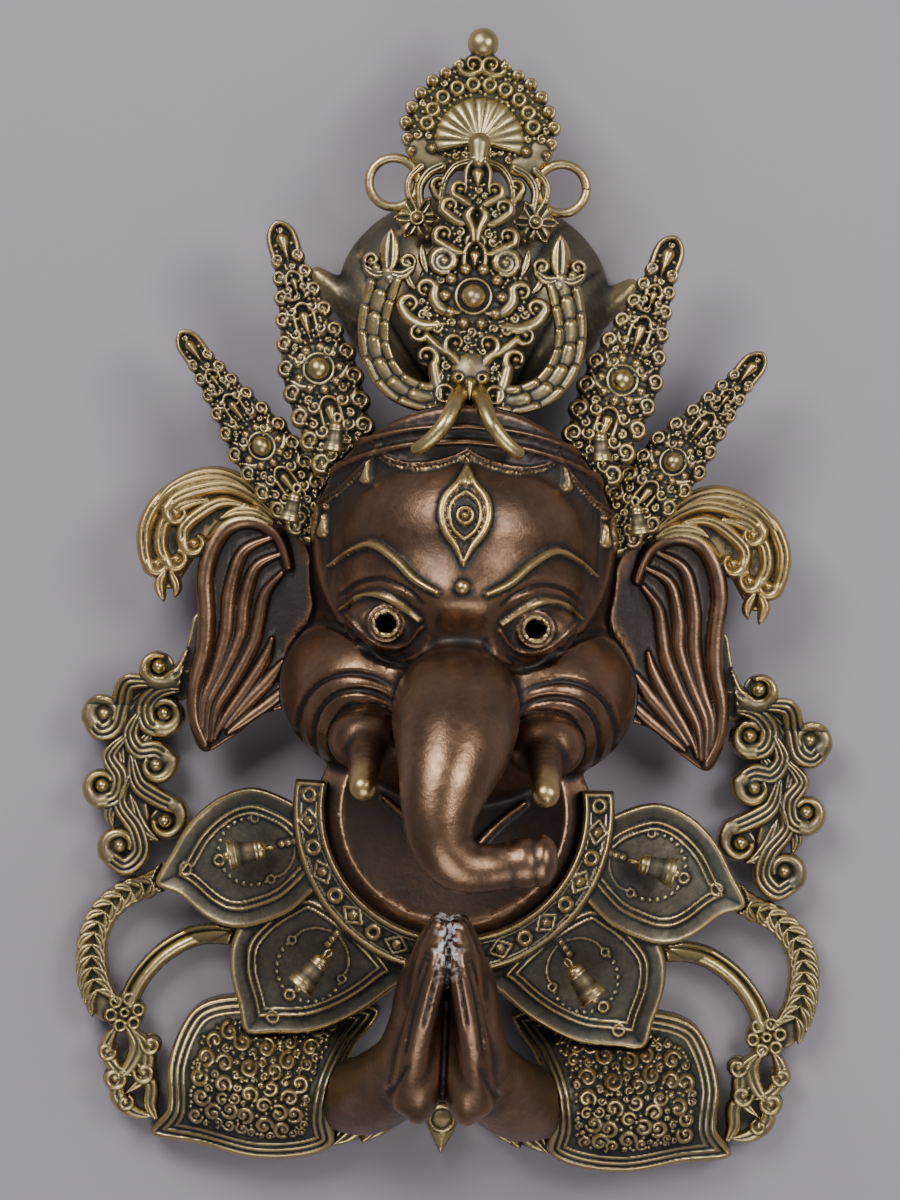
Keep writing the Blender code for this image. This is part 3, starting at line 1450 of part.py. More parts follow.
def build_bells(material):
    """Four bells on the petals and four at the feet of the crown leaves, each with its clapper."""
    for side, sign in SIDES:
        for rank, (x, y), heading in PETAL_BELLS:
            along = [k * PETAL_BELL_LENGTH / UNIT for k in (0.0, 0.5, 1.0, 1.2)]
            lift = max(float(collar_surface(x + k * heading[0], y + k * heading[1])) for k in along)
            high = lift + PETAL_CARVING + PETAL_BELL_MOUTH / 2 / UNIT + CLEAR
            place = np.array((x * sign, y, high)) * UNIT
            bell_pair(
                f"petal_bell_{rank}_{side}",
                PETAL_BELL_LENGTH,
                PETAL_BELL_MOUTH,
                place,
                (heading[0] * sign, heading[1]),
                material,
            )
        for rank, (x, y, z), heading in CROWN_BELLS:
            bell_pair(
                f"crown_bell_{rank}_{side}",
                CROWN_BELL_LENGTH,
                CROWN_BELL_MOUTH,
                np.array((x * sign, y, z)) * UNIT,
                (heading[0] * sign, heading[1]),
                material,
            )


def metal(name, colour, roughness):
    """An aged brass or copper-toned metal."""
    material = bpy.data.materials.new(name)
    material.use_nodes = True
    shader = material.node_tree.nodes["Principled BSDF"]
    shader.inputs["Base Color"].default_value = (*colour, 1)
    shader.inputs["Metallic"].default_value = 1.0
    shader.inputs["Roughness"].default_value = roughness
    return material


for old in list(bpy.data.objects):
    bpy.data.objects.remove(old)
MASK = bpy.data.objects.new("mask", None)
bpy.context.collection.objects.link(MASK)

SKIN = metal("copper_brown_skin", (0.30, 0.16, 0.09), 0.42)
DARK_BRASS = metal("dark_brass", (0.20, 0.17, 0.11), 0.48)
BRIGHT_BRASS = metal("bright_brass", (0.48, 0.36, 0.17), 0.38)

build_face(SKIN)
build_crown_leaves(DARK_BRASS)
build_centre_leaf(DARK_BRASS)
build_topknot(DARK_BRASS)
build_finial(BRIGHT_BRASS)
build_ears(SKIN)
build_ribbons(DARK_BRASS)
build_collar(DARK_BRASS)
build_sleeves(DARK_BRASS)
build_hands(SKIN)
build_base_petals(BRIGHT_BRASS)
build_garlands(BRIGHT_BRASS)
build_bells(BRIGHT_BRASS)
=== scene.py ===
"""Ganesha mask in cast brass, lying on its back on a pale floor, seen from straight above.

Forms are drawn in units of one 502nd of the mask's height, about a millimetre.
+X is the viewer's right, +Y points up the mask and +Z out of the face.
"""

from __future__ import annotations

import logging
import math
from collections.abc import Callable, Iterable, Sequence
from dataclasses import dataclass, field
from enum import Enum

import bpy
import numpy as np
from mathutils import Matrix, Vector

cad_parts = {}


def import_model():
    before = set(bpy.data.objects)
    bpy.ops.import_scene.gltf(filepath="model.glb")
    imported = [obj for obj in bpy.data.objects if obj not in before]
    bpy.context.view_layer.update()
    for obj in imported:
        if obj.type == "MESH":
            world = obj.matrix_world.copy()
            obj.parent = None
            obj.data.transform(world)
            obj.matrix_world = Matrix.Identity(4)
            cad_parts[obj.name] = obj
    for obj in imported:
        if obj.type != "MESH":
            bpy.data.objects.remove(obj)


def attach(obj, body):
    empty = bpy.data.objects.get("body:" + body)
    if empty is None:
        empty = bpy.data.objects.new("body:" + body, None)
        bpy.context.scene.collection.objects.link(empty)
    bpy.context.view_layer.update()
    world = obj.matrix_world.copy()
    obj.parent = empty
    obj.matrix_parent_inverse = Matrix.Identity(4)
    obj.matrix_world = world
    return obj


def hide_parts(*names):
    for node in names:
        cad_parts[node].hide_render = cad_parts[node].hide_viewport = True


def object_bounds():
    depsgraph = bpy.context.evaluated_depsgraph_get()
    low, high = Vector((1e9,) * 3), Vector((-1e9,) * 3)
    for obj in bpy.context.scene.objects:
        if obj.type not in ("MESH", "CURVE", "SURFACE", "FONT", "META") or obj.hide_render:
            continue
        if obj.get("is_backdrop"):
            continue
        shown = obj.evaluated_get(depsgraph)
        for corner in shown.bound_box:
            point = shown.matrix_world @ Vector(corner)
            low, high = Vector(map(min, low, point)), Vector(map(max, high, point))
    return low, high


LOG = logging.getLogger("ganesha_mask")

Array = np.ndarray
Point = Sequence[float]
Path = Sequence[Point]
Colour = tuple[float, float, float]
Socket = bpy.types.NodeSocket

DRAWN_HEIGHT = 502.0
FLOOR_GAP = 0.0004
LIMB_REACH = 14.0
VEIN_DEPTH = 0.34
VEIN_WIDTH = 0.17
CURL_WIDTH = 0.29
CURL_BALL = 0.34
BALL_RISE = 1.2
SHOWN_THINNING = 0.04
COLLAR_MIDDLE = -110.0
COLLAR_SPREAD = 75.0
COLLAR_FOOT = 20.0
COLLAR_RISE = 58.0


class Hand(Enum):
    """The half of the mask that a mirrored form belongs to."""

    LEFT = -1
    RIGHT = 1

    @property
    def label(self) -> str:
        """The half's name in node names."""
        return self.name.lower()


class Slot(Enum):
    """The record's material slots."""

    SKIN = "copper_brown_skin"
    DARK = "dark_brass"
    BRIGHT = "bright_brass"


# Curves and fields


def spline(points: Path, closed: bool = False, step: float = 1.2) -> Array:
    """Points on a smooth curve through the given points.

    Args:
        points: The points that the curve passes.
        closed: Whether the curve returns to its first point.
        step: Spacing of the points on the curve.

    Returns:
        The curve's points, one row each.
    """
    pts = np.array([tuple(p) for p in points], float)
    count = len(pts)
    spans = count if closed else count - 1
    out = []
    for i in range(spans):
        if closed:
            p0, p1, p2, p3 = (pts[(i + k) % count] for k in (-1, 0, 1, 2))
        else:
            p0, p1, p2, p3 = (pts[min(max(i + k, 0), count - 1)] for k in (-1, 0, 1, 2))
        parts = max(2, int(round(np.linalg.norm(p2 - p1) / step)))
        t = (np.arange(parts) / parts)[:, None]
        out.append(
            0.5
            * (
                2 * p1
                + (p2 - p0) * t
                + (2 * p0 - 5 * p1 + 4 * p2 - p3) * t**2
                + (3 * p1 - p0 - 3 * p2 + p3) * t**3
            )
        )
    if not closed:
        out.append(pts[-1:])
    return np.concatenate(out)


def both_halves(points: Path) -> list[tuple[float, float]]:
    """A closed outline from the points of its right half, top to bottom."""
    right = [(p[0], p[1]) for p in points]
    return right + [(-p[0], p[1]) for p in reversed(right) if abs(p[0]) > 1e-6]


def flipped(point: Point, sign: float) -> tuple[float, ...]:
    """One point on the left or the right half."""
    return (point[0] * sign, *point[1:])


def mirrored(points: Path, sign: float) -> list[tuple[float, ...]]:
    """The same points on the left or the right half."""
    return [flipped(point, sign) for point in points]


def to_segments(x: Array, y: Array, path: Array) -> tuple[Array, Array, Array]:
    """Distance from points to a path, and where along and beside it they lie.

    Args:
        x: The points' first coordinates.
        y: The points' second coordinates.
        path: The path's own points.

    Returns:
        The distances, the share of the path's length from 0 to 1, and the distance with a side's sign.
    """
    lengths = np.hypot(*np.diff(path[:, :2], axis=0).T)
    along = np.concatenate([[0.0], np.cumsum(lengths)]) / max(lengths.sum(), 1e-9)
    best = np.full(x.shape, 1e9)
    share = np.zeros(x.shape)
    side = np.zeros(x.shape)
    for a, b, s0, s1 in zip(path[:-1], path[1:], along[:-1], along[1:]):
        ex, ey = b[0] - a[0], b[1] - a[1]
        dx, dy = x - a[0], y - a[1]
        t = np.clip((dx * ex + dy * ey) / max(ex * ex + ey * ey, 1e-12), 0, 1)
        reach = np.hypot(dx - t * ex, dy - t * ey)
        nearer = reach < best
        best = np.where(nearer, reach, best)
        share = np.where(nearer, s0 + t * (s1 - s0), share)
        side = np.where(nearer, np.where(dx * ey > dy * ex, reach, -reach), side)
    return best, share, side


def area_distance(x: Array, y: Array, outline: Array) -> Array:
    """Distance to a closed outline, negative inside."""
    ring = np.concatenate([outline, outline[:1]])
    best, _, _ = to_segments(x, y, ring)
    inside = np.zeros(x.shape, bool)
    for a, b in zip(ring[:-1], ring[1:]):
        if a[1] != b[1]:
            crosses = (y >= min(a[1], b[1])) & (y < max(a[1], b[1]))
            inside ^= crosses & (x < a[0] + (y - a[1]) * (b[0] - a[0]) / (b[1] - a[1]))
    return np.where(inside, -best, best)


def dome(distance: Array, rise: float, reach: float) -> Array:
    """Height of a rounded form over its own area, rise high at reach inside its edge."""
    depth = np.clip(-distance / reach, 0, 1)
    return rise * np.sqrt(np.clip(depth * (2 - depth), 0, 1))


def soft_union(a: Array, b: Array, blend: float) -> Array:
    """Union of two fields with a rounded join."""
    share = np.clip(0.5 + 0.5 * (b - a) / blend, 0, 1)
    return b + (a - b) * share - blend * share * (1 - share)


def ellipsoid(x: Array, y: Array, z: Array, centre: Point, radii: Point) -> Array:
    """Distance to an ellipsoid, close to true near its surface."""
    px, py, pz = ((v - c) / r for v, c, r in zip((x, y, z), centre, radii))
    near = np.sqrt(px * px + py * py + pz * pz)
    slope = np.sqrt((px / radii[0]) ** 2 + (py / radii[1]) ** 2 + (pz / radii[2]) ** 2)
    return near * (near - 1) / np.maximum(slope, 1e-6)


def twin(x: Array, y: Array, z: Array, mass: tuple[Point, Point], hand: Hand) -> Array:
    """Distance to one of a pair of ellipsoids, from the right one's centre and radii."""
    centre, radii = mass
    return ellipsoid(x, y, z, flipped(centre, hand.value), radii)


def limb(x: Array, y: Array, z: Array, stations: Path, step: float = 2.6) -> Array:
    """Distance to a smooth round limb through stations of (x, y, z, radius), up to LIMB_REACH."""
    curve = spline(stations, step=step)
    low = (curve[:, :3] - curve[:, 3:]).min(0) - LIMB_REACH
    high = (curve[:, :3] + curve[:, 3:]).max(0) + LIMB_REACH
    form = np.full(np.broadcast(x, y, z).shape, LIMB_REACH)
    if form.ndim == 3:
        spans = [np.searchsorted(axis.ravel(), (a, b)) for axis, a, b in zip((x, y, z), low, high)]
        here = tuple(slice(*span) for span in spans)
        x, y, z = x[here[0]], y[:, here[1]], z[:, :, here[2]]
    else:
        inside = (x > low[0]) & (x < high[0]) & (y > low[1]) & (y < high[1])
        here = np.nonzero(inside & (z > low[2]) & (z < high[2]))[0]
        x, y, z = x[here], y[here], z[here]
    best = form[here]
    for a, b in zip(curve[:-1], curve[1:]):
        edge = b[:3] - a[:3]
        t = ((x - a[0]) * edge[0] + (y - a[1]) * edge[1] + (z - a[2]) * edge[2]) / (edge @ edge)
        t = np.clip(t, 0, 1)
        reach = np.sqrt(
            (x - a[0] - t * edge[0]) ** 2
            + (y - a[1] - t * edge[1]) ** 2
            + (z - a[2] - t * edge[2]) ** 2
        )
        best = np.minimum(best, reach - (a[3] + (b[3] - a[3]) * t))
    form[here] = best
    return form


# Carving


class Carving:
    """Raised and sunk ornament over a set of points, with an outline that grows with it."""

    def __init__(self, x: Array, y: Array) -> None:
        """Starts a flat, empty ground.

        Args:
            x: First coordinates of the points.
            y: Second coordinates of the points.
        """
        self.x = x
        self.y = y
        self.height = np.zeros(x.shape)
        self.edge = np.full(x.shape, 50.0)

    def near(self, low: Array, high: Array) -> tuple[slice, ...] | Array:
        """The points within a box, as an index into the arrays."""
        if self.x.ndim == 2:
            xs, ys = self.x[:, 0], self.y[0, :]
            i0, i1 = np.searchsorted(xs, (low[0], high[0]))
            j0, j1 = np.searchsorted(ys, (low[1], high[1]))
            return slice(max(i0 - 1, 0), i1 + 1), slice(max(j0 - 1, 0), j1 + 1)
        return np.nonzero(
            (self.x >= low[0]) & (self.x <= high[0]) & (self.y >= low[1]) & (self.y <= high[1])
        )[0]

    def band(self, path: Array, width: float) -> tuple[tuple[slice, ...] | Array, Array, Array, Array]:
        """The points near a path, with their distance to it, share of its length and side."""
        low, high = path[:, :2].min(0) - width - 1, path[:, :2].max(0) + width + 1
        here = self.near(low, high)
        return here, *to_segments(self.x[here], self.y[here], path)

    def area(self, outline: Array, rise: float = 0.0, reach: float = 1.0) -> None:
        """Adds an area to the outline, and raises it by a rounded step."""
        low, high = outline.min(0) - 4, outline.max(0) + 4
        here = self.near(low, high)
        away = area_distance(self.x[here], self.y[here], outline)
        self.edge[here] = np.minimum(self.edge[here], away)
        if rise:
            self.height[here] = np.maximum(self.height[here], dome(away, rise, reach))

    def ridge(
        self,
        path: Array,
        start: float | Sequence[float],
        end: float | None = None,
        rise: float = 2.0,
        lift: float = 0.0,
        grow: bool = False,
        veins: int = 0,
        tilt: float = 0.0,
    ) -> None:
        """Raises a round band along a path.

        Args:
            path: The band's middle line.
            start: Half width at its start, or half widths at even steps along it.
            end: Half width at its end, the same as at its start if left out.
            rise: Height over the ground.
            lift: Height of the ground that it stands on.
            grow: Whether the outline takes the band in.
            veins: Number of grooves along it.
            tilt: How much higher its end stands than its start.
        """
        stops = start if isinstance(start, (tuple, list)) else (start, start if end is None else end)
        here, reach, share, side = self.band(path, max(stops))
        half = np.interp(share, np.linspace(0, 1, len(stops)), stops)
        depth = np.clip(1 - (reach / half) ** 2, 0, 1)
        raised = rise * np.sqrt(depth)
        for index in range(veins):
            middle = 2 * (index + 1) / (veins + 1) - 1
            raised = raised * (1 - VEIN_DEPTH * np.exp(-(((side / half - middle) / VEIN_WIDTH) ** 2)))
        raised = np.where(depth > 0, lift + tilt * share + raised, 0)
        self.height[here] = np.maximum(self.height[here], raised)
        if grow:
            self.edge[here] = np.minimum(self.edge[here], reach - half)

    def groove(self, path: Array, width: float, depth: float, taper: bool = True) -> None:
        """Sinks a round groove along a path, shallow at its ends where it tapers."""
        here, reach, share, _ = self.band(path, width)
        fade = np.clip(6 * share, 0, 1) * np.clip(6 * (1 - share), 0, 1) if taper else 1.0
        profile = np.clip(1 - (reach / width) ** 2, 0, 1)
        self.height[here] = self.height[here] - depth * profile * fade

    def bead(
        self, centre: Point, radius: float, rise: float, lift: float = 0.0, grow: bool = False
    ) -> None:
        """Raises a round bead."""
        centre = np.array(centre[:2], float)
        here = self.near(centre - radius - 1, centre + radius + 1)
        reach = np.hypot(self.x[here] - centre[0], self.y[here] - centre[1])
        depth = np.clip(1 - (reach / radius) ** 2, 0, 1)
        raised = np.where(depth > 0, lift + rise * np.sqrt(depth), 0)
        self.height[here] = np.maximum(self.height[here], raised)
        if grow:
            self.edge[here] = np.minimum(self.edge[here], reach - radius)

    def ring(
        self, centre: Point, radius: float, width: float, rise: float, lift: float = 0.0, grow: bool = False
    ) -> None:
        """Raises a round ring of wire."""
        turns = np.linspace(0, math.tau, 33)
        path = np.column_stack([centre[0] + radius * np.cos(turns), centre[1] + radius * np.sin(turns)])
        self.ridge(path, width, rise=rise, lift=lift, grow=grow)

    def pit(self, centre: Point, radius: float, depth: float) -> None:
        """Sinks a round hollow."""
        centre = np.array(centre[:2], float)
        here = self.near(centre - radius - 1, centre + radius + 1)
        reach = np.hypot(self.x[here] - centre[0], self.y[here] - centre[1])
        self.height[here] = self.height[here] - depth * np.sqrt(np.clip(1 - (reach / radius) ** 2, 0, 1))

    def beads(
        self, path: Array, radius: float, rise: float, spacing: float = 2.2, lift: float = 0.0
    ) -> None:
        """Sets a row of beads along a path, spacing radii apart."""
        lengths = np.concatenate([[0.0], np.cumsum(np.hypot(*np.diff(path[:, :2], axis=0).T))])
        count = max(2, int(round(lengths[-1] / (radius * spacing))))
        for place in np.linspace(0, lengths[-1], count):
            centre = (np.interp(place, lengths, path[:, 0]), np.interp(place, lengths, path[:, 1]))
            self.bead(centre, radius, rise, lift)

    def circlet(
        self, centre: Point, radius: float, bead: float, count: int, rise: float, lift: float = 0.0
    ) -> None:
        """Sets a ring of beads round a centre."""
        for index in range(count):
            turn = math.tau * (index + 0.5) / count
            place = (centre[0] + radius * math.sin(turn), centre[1] + radius * math.cos(turn))
            self.bead(place, bead, rise, lift)

    def curl(
        self,
        centre: Point,
        radius: float,
        heading: float,
        turn: int,
        rise: float = 2.6,
        lift: float = 0.0,
        coils: float = 0.95,
        grow: bool = True,
    ) -> None:
        """Raises a fat scroll that winds in to a ball.

        Args:
            centre: Middle of the scroll.
            radius: Distance from the middle to the scroll's outer side.
            heading: Direction of its outer end from the middle, in degrees.
            turn: 1 to wind anticlockwise, -1 clockwise.
            rise: Height over the ground.
            lift: Height of the ground.
            coils: Number of turns.
            grow: Whether the outline takes the scroll in.
        """
        width = radius * CURL_WIDTH
        steps = np.linspace(0, 1, 18)
        angle = math.radians(heading) + turn * math.tau * coils * steps
        away = (radius - width) * (1 - 0.62 * steps**2)
        path = np.column_stack([centre[0] + away * np.cos(angle), centre[1] + away * np.sin(angle)])
        self.ridge(path, (0.7 * width, width, width, 0.8 * width), None, rise, lift, grow)
        self.bead(centre, radius * CURL_BALL, rise * BALL_RISE, lift, grow)
        if grow:
            here = self.near(np.array(centre) - radius - 1, np.array(centre) + radius + 1)
            reach = np.hypot(self.x[here] - centre[0], self.y[here] - centre[1])
            self.edge[here] = np.minimum(self.edge[here], reach - radius * 0.92)

    def lock(
        self,
        points: Path,
        ball: Point,
        turn: int,
        width: float,
        radius: float,
        rise: float = 3.2,
        lift: float = 0.8,
        veins: int = 2,
        coils: float = 0.8,
        grow: bool = True,
    ) -> None:
        """Raises a grooved lock or stem that winds round a ball at its end.

        Args:
            points: Its middle line up to the rim of the ball's coil.
            ball: Middle of the ball.
            turn: 1 to wind anticlockwise, -1 clockwise.
            width: Half width at its fullest.
            radius: Radius of the ball.
            rise: Height over the ground.
            lift: Height of the ground.
            veins: Number of grooves along it.
            coils: Turns round the ball.
            grow: Whether the outline takes it in.
        """
        lead = np.array(points[-1][:2], float) - np.array(ball, float)
        reach = float(np.hypot(*lead))
        steps = np.linspace(0, 1, 15)[1:]
        angle = math.atan2(lead[1], lead[0]) + turn * math.tau * coils * steps
        away = reach + (radius + 0.3 * width - reach) * steps
        coil = np.column_stack([ball[0] + away * np.cos(angle), ball[1] + away * np.sin(angle)])
        path = spline(points, step=1.5)[:, :2]
        stem = tuple(width * share for share in (0.35, 0.85, 1.0, 1.0, 0.86))
        self.ridge(path, stem, None, rise, lift, grow, veins)
        coil = np.concatenate([path[-3:], coil])
        self.ridge(coil, tuple(width * share for share in (0.86, 0.7, 0.5, 0.3)), None, rise, lift, grow)
        self.bead(ball, radius, rise * BALL_RISE, lift, grow)
        if grow:
            here = self.near(np.array(ball) - reach - 1, np.array(ball) + reach + 1)
            gap = np.hypot(self.x[here] - ball[0], self.y[here] - ball[1])
            self.edge[here] = np.minimum(self.edge[here], gap - reach * 0.78)

    def drop(
        self, foot: Point, tip: Point, radius: float, rise: float, lift: float = 0.0, grow: bool = False
    ) -> None:
        """Raises a drop, round at its foot and pointed at its tip."""
        self.ridge(np.array((foot, tip), float), radius, radius * 0.12, rise, lift, grow)

    def arch(
        self, foot: float, top: float, half: float, rise: float, lift: float, width: float = 0.9,
    ) -> None:
        """Raises a narrow arch over the middle line, with a drop inside it."""
        low, high = min(foot, top), max(foot, top)
        crown = top - math.copysign(half, top - foot)
        line = ((-half, foot), (-half, crown), (0, top), (half, crown), (half, foot))
        self.ridge(spline(line), width, rise=rise, lift=lift, grow=True)
        ends = ((0, low + 0.15 * half), (0, high - 1.2 * half - width))
        foot_end, tip = (ends[1], ends[0]) if top > foot else ends
        self.drop(foot_end, tip, (half - width) * 0.8, rise * 1.2, lift, grow=True)

    def blade(
        self,
        points: Path,
        width: float,
        rise: float = 2.2,
        lift: float = 0.0,
        veins: int = 1,
        grow: bool = True,
    ) -> None:
        """Raises a long leaf or lock, pointed at both ends, with grooves along it."""
        shape = (0.15, 0.72, 0.95, 1.0, 0.92, 0.66, 0.1)
        self.ridge(spline(points, step=1.5), tuple(width * s for s in shape), None, rise, lift, grow, veins)

    def flower(self, centre: Point, radius: float, petals: int, rise: float, grow: bool = True) -> None:
        """Raises an open flower with pointed, hollowed petals and a bead in its middle."""
        middle = np.array(centre, float)
        for index in range(petals):
            angle = math.tau * (index + 0.5) / petals
            heading = np.array((math.sin(angle), math.cos(angle)))
            petal = np.array((middle + heading * radius * 0.2, middle + heading * radius))
            self.ridge(petal, tuple(radius * s for s in (0.2, 0.40, 0.42, 0.1)), None, rise, 0.3, grow)
            self.groove(middle + np.outer((0.3, 0.92), heading) * radius, radius * 0.12, rise * 0.6, False)
        self.ring(centre, radius * 0.3, radius * 0.09, rise * 0.6, rise * 0.6)
        self.bead(centre, radius * 0.24, rise * 0.9, rise * 0.65)

    def fill(
        self, sizes: Sequence[float], level: float, seed: int, rise: float = 2.0, margin: float = 0.4,
    ) -> None:
        """Fills bare ground with small curls and beads.

        Args:
            sizes: Radii of the curls, largest first.
            level: Height up to which ground counts as bare.
            seed: Start of the random places.
            rise: Height of the curls.
            margin: Distance kept from the outline, in radii.
        """
        source = np.random.default_rng(seed)
        xs, ys = self.x[:, 0], self.y[0]
        for size in sizes:
            for _ in range(int(1.6 * (xs[-1] - xs[0]) * (ys[-1] - ys[0]) / size**2)):
                spot = np.array((source.uniform(xs[0], xs[-1]), source.uniform(ys[0], ys[-1])))
                heading = float(source.uniform(0, 360))
                turn = int(source.choice((-1, 1)))
                here = self.near(spot - size, spot + size)
                if self.edge[here].size == 0 or self.edge[here].max() > -margin * size + size * 0.4:
                    continue
                disc = np.hypot(self.x[here] - spot[0], self.y[here] - spot[1]) < size
                if (self.height[here] > level)[disc].mean() > 0.12:
                    continue
                if size < 1.4:
                    self.bead(spot, size * 0.85, rise * 0.8, level - 0.4)
                else:
                    self.curl(spot, size, heading, turn, rise, level - 0.4, grow=False)


# From fields to meshes


@dataclass
class Shell:
    """A mesh as plain arrays, in drawing units."""

    verts: Array
    faces: list[Array]
    marks: dict[str, Array] = field(default_factory=dict)

    def joined(self, other: Shell) -> Shell:
        """This mesh and another as one, each keeping its own marks."""
        shift = len(self.verts)
        marks = {}
        for name in {*self.marks, *other.marks}:
            own = self.marks.get(name, np.zeros(shift))
            marks[name] = np.concatenate([own, other.marks.get(name, np.zeros(len(other.verts)))])
        faces = self.faces + [block + shift for block in other.faces]
        return Shell(np.concatenate([self.verts, other.verts]), faces, marks)

    def normals(self) -> Array:
        """Unit normal at each vertex."""
        normal = np.zeros_like(self.verts)
        for block in self.faces:
            corners = self.verts[block]
            last = corners.shape[1] - 1
            facing = np.cross(corners[:, 1] - corners[:, 0], corners[:, last] - corners[:, 0])
            if last == 3:
                facing = np.cross(corners[:, 2] - corners[:, 0], corners[:, 3] - corners[:, 1])
            for corner in range(corners.shape[1]):
                for axis in range(3):
                    normal[:, axis] += np.bincount(
                        block[:, corner], weights=facing[:, axis], minlength=len(self.verts)
                    )
        return normal / np.maximum(np.linalg.norm(normal, axis=1, keepdims=True), 1e-12)


# Polygons of a cell: its corners are 0 to 3 and the crossings of its sides a to d, anticlockwise
CELL_AREAS = {
    1: ("0ad",),
    2: ("1ba",),
    3: ("01bd",),
    4: ("2cb",),
    5: ("0ad", "2cb"),
    6: ("12ca",),
    7: ("012cd",),
    8: ("3dc",),
    9: ("0ac3",),
    10: ("1ba", "3dc"),
    11: ("01bc3",),
    12: ("23db",),
    13: ("0ab23",),
    14: ("123da",),
    15: ("0123",),
}


@dataclass
class Grid:
    """An even grid over a rectangle, on which plates are carved."""

    low: tuple[float, float]
    high: tuple[float, float]
    step: float

    @classmethod
    def on_half(cls, sign: int, near: Point, far: Point, step: float) -> Grid:
        """A grid on the left or the right half, from its corners on the right half."""
        low, high = sorted((sign * near[0], sign * far[0]))
        return cls((low, near[1]), (high, far[1]), step)

    def carving(self) -> Carving:
        """A flat carving over the grid."""
        xs = np.arange(self.low[0], self.high[0] + self.step, self.step)
        ys = np.arange(self.low[1], self.high[1] + self.step, self.step)
        return Carving(*np.meshgrid(xs, ys, indexing="ij"))

    def plate(self, carving: Carving, surface: Callable[[Array, Array], Array], sheet: float) -> Shell:
        """Mesh of a carved plate.

        Args:
            carving: Its outline and relief.
            surface: Height of its front ground over the floor.
            sheet: Its thickness under that ground.

        Returns:
            The closed mesh, marked with its front and with how far each place rises.
        """
        x, y = carving.x, carving.y
        edge = carving.edge.copy()
        edge[[0, -1], :] = self.step
        edge[:, [0, -1]] = self.step
        off = 0.12 * self.step
        edge = np.where(np.abs(edge) < off, np.where(edge < 0, -off, off), edge)
        inside = edge < 0
        spots, rises = [], []
        total = 0

        def number(mask: Array) -> Array:
            """Numbers the chosen places on from the last one, and marks the others -1."""
            nonlocal total
            ids = np.full(mask.shape, -1)
            count = int(mask.sum())
            ids[mask] = np.arange(total, total + count)
            total += count
            return ids

        corner = number(inside)
        spots.append(np.column_stack([x[inside], y[inside]]))
        rises.append(carving.height[inside])
        sides = []
        for axis in (0, 1):
            near = (slice(None, -1), slice(None)) if axis == 0 else (slice(None), slice(None, -1))
            far = (slice(1, None), slice(None)) if axis == 0 else (slice(None), slice(1, None))
            mask = inside[near] != inside[far]
            sides.append(number(mask))
            ea, eb = edge[near][mask], edge[far][mask]
            t = ea / (ea - eb)
            spots.append(
                np.column_stack(
                    [
                        x[near][mask] + t * (x[far][mask] - x[near][mask]),
                        y[near][mask] + t * (y[far][mask] - y[near][mask]),
                    ]
                )
            )
            ha, hb = carving.height[near][mask], carving.height[far][mask]
            rises.append(ha + t * (hb - ha))
        code = (
            inside[:-1, :-1].astype(int)
            + 2 * inside[1:, :-1]
            + 4 * inside[1:, 1:]
            + 8 * inside[:-1, 1:]
        )
        fetch = {
            "0": corner[:-1, :-1],
            "1": corner[1:, :-1],
            "2": corner[1:, 1:],
            "3": corner[:-1, 1:],
            "a": sides[0][:, :-1],
            "b": sides[1][1:, :],
            "c": sides[0][:, 1:],
            "d": sides[1][:-1, :],
        }
        areas: dict[int, list[Array]] = {3: [], 4: [], 5: []}
        rims = []
        for case, polygons in CELL_AREAS.items():
            chosen = code == case
            if not chosen.any():
                continue
            for keys in polygons:
                areas[len(keys)].append(np.stack([fetch[key][chosen] for key in keys], axis=1))
                for ka, kb in zip(keys, keys[1:] + keys[:1]):
                    if ka in "abcd" and kb in "abcd":
                        rims.append(np.stack([fetch[ka][chosen], fetch[kb][chosen]], axis=1))
        flat, rise = np.concatenate(spots), np.concatenate(rises)
        ground = surface(flat[:, 0], flat[:, 1])
        top = np.column_stack([flat, ground + rise])
        bottom = np.column_stack([flat, ground - sheet])
        blocks = [np.concatenate(areas[size]) for size in areas if areas[size]]
        rim = np.concatenate(rims)
        walls = np.column_stack([rim[:, 1], rim[:, 0], rim[:, 0] + total, rim[:, 1] + total])
        faces = blocks + [block[:, ::-1] + total for block in blocks] + [walls]
        marks = {
            "front": np.concatenate([np.ones(total), np.zeros(total)]),
            "rise": np.concatenate([rise, np.zeros(total)]),
        }
        return Shell(np.concatenate([top, bottom]), faces, marks)


def round_edge(carving: Carving, radius: float = 1.0) -> None:
    """Rolls a plate's front down to its outline."""
    inward = np.clip(1 + carving.edge / radius, 0, 1)
    carving.height = carving.height - radius * (1 - np.sqrt(1 - inward**2))


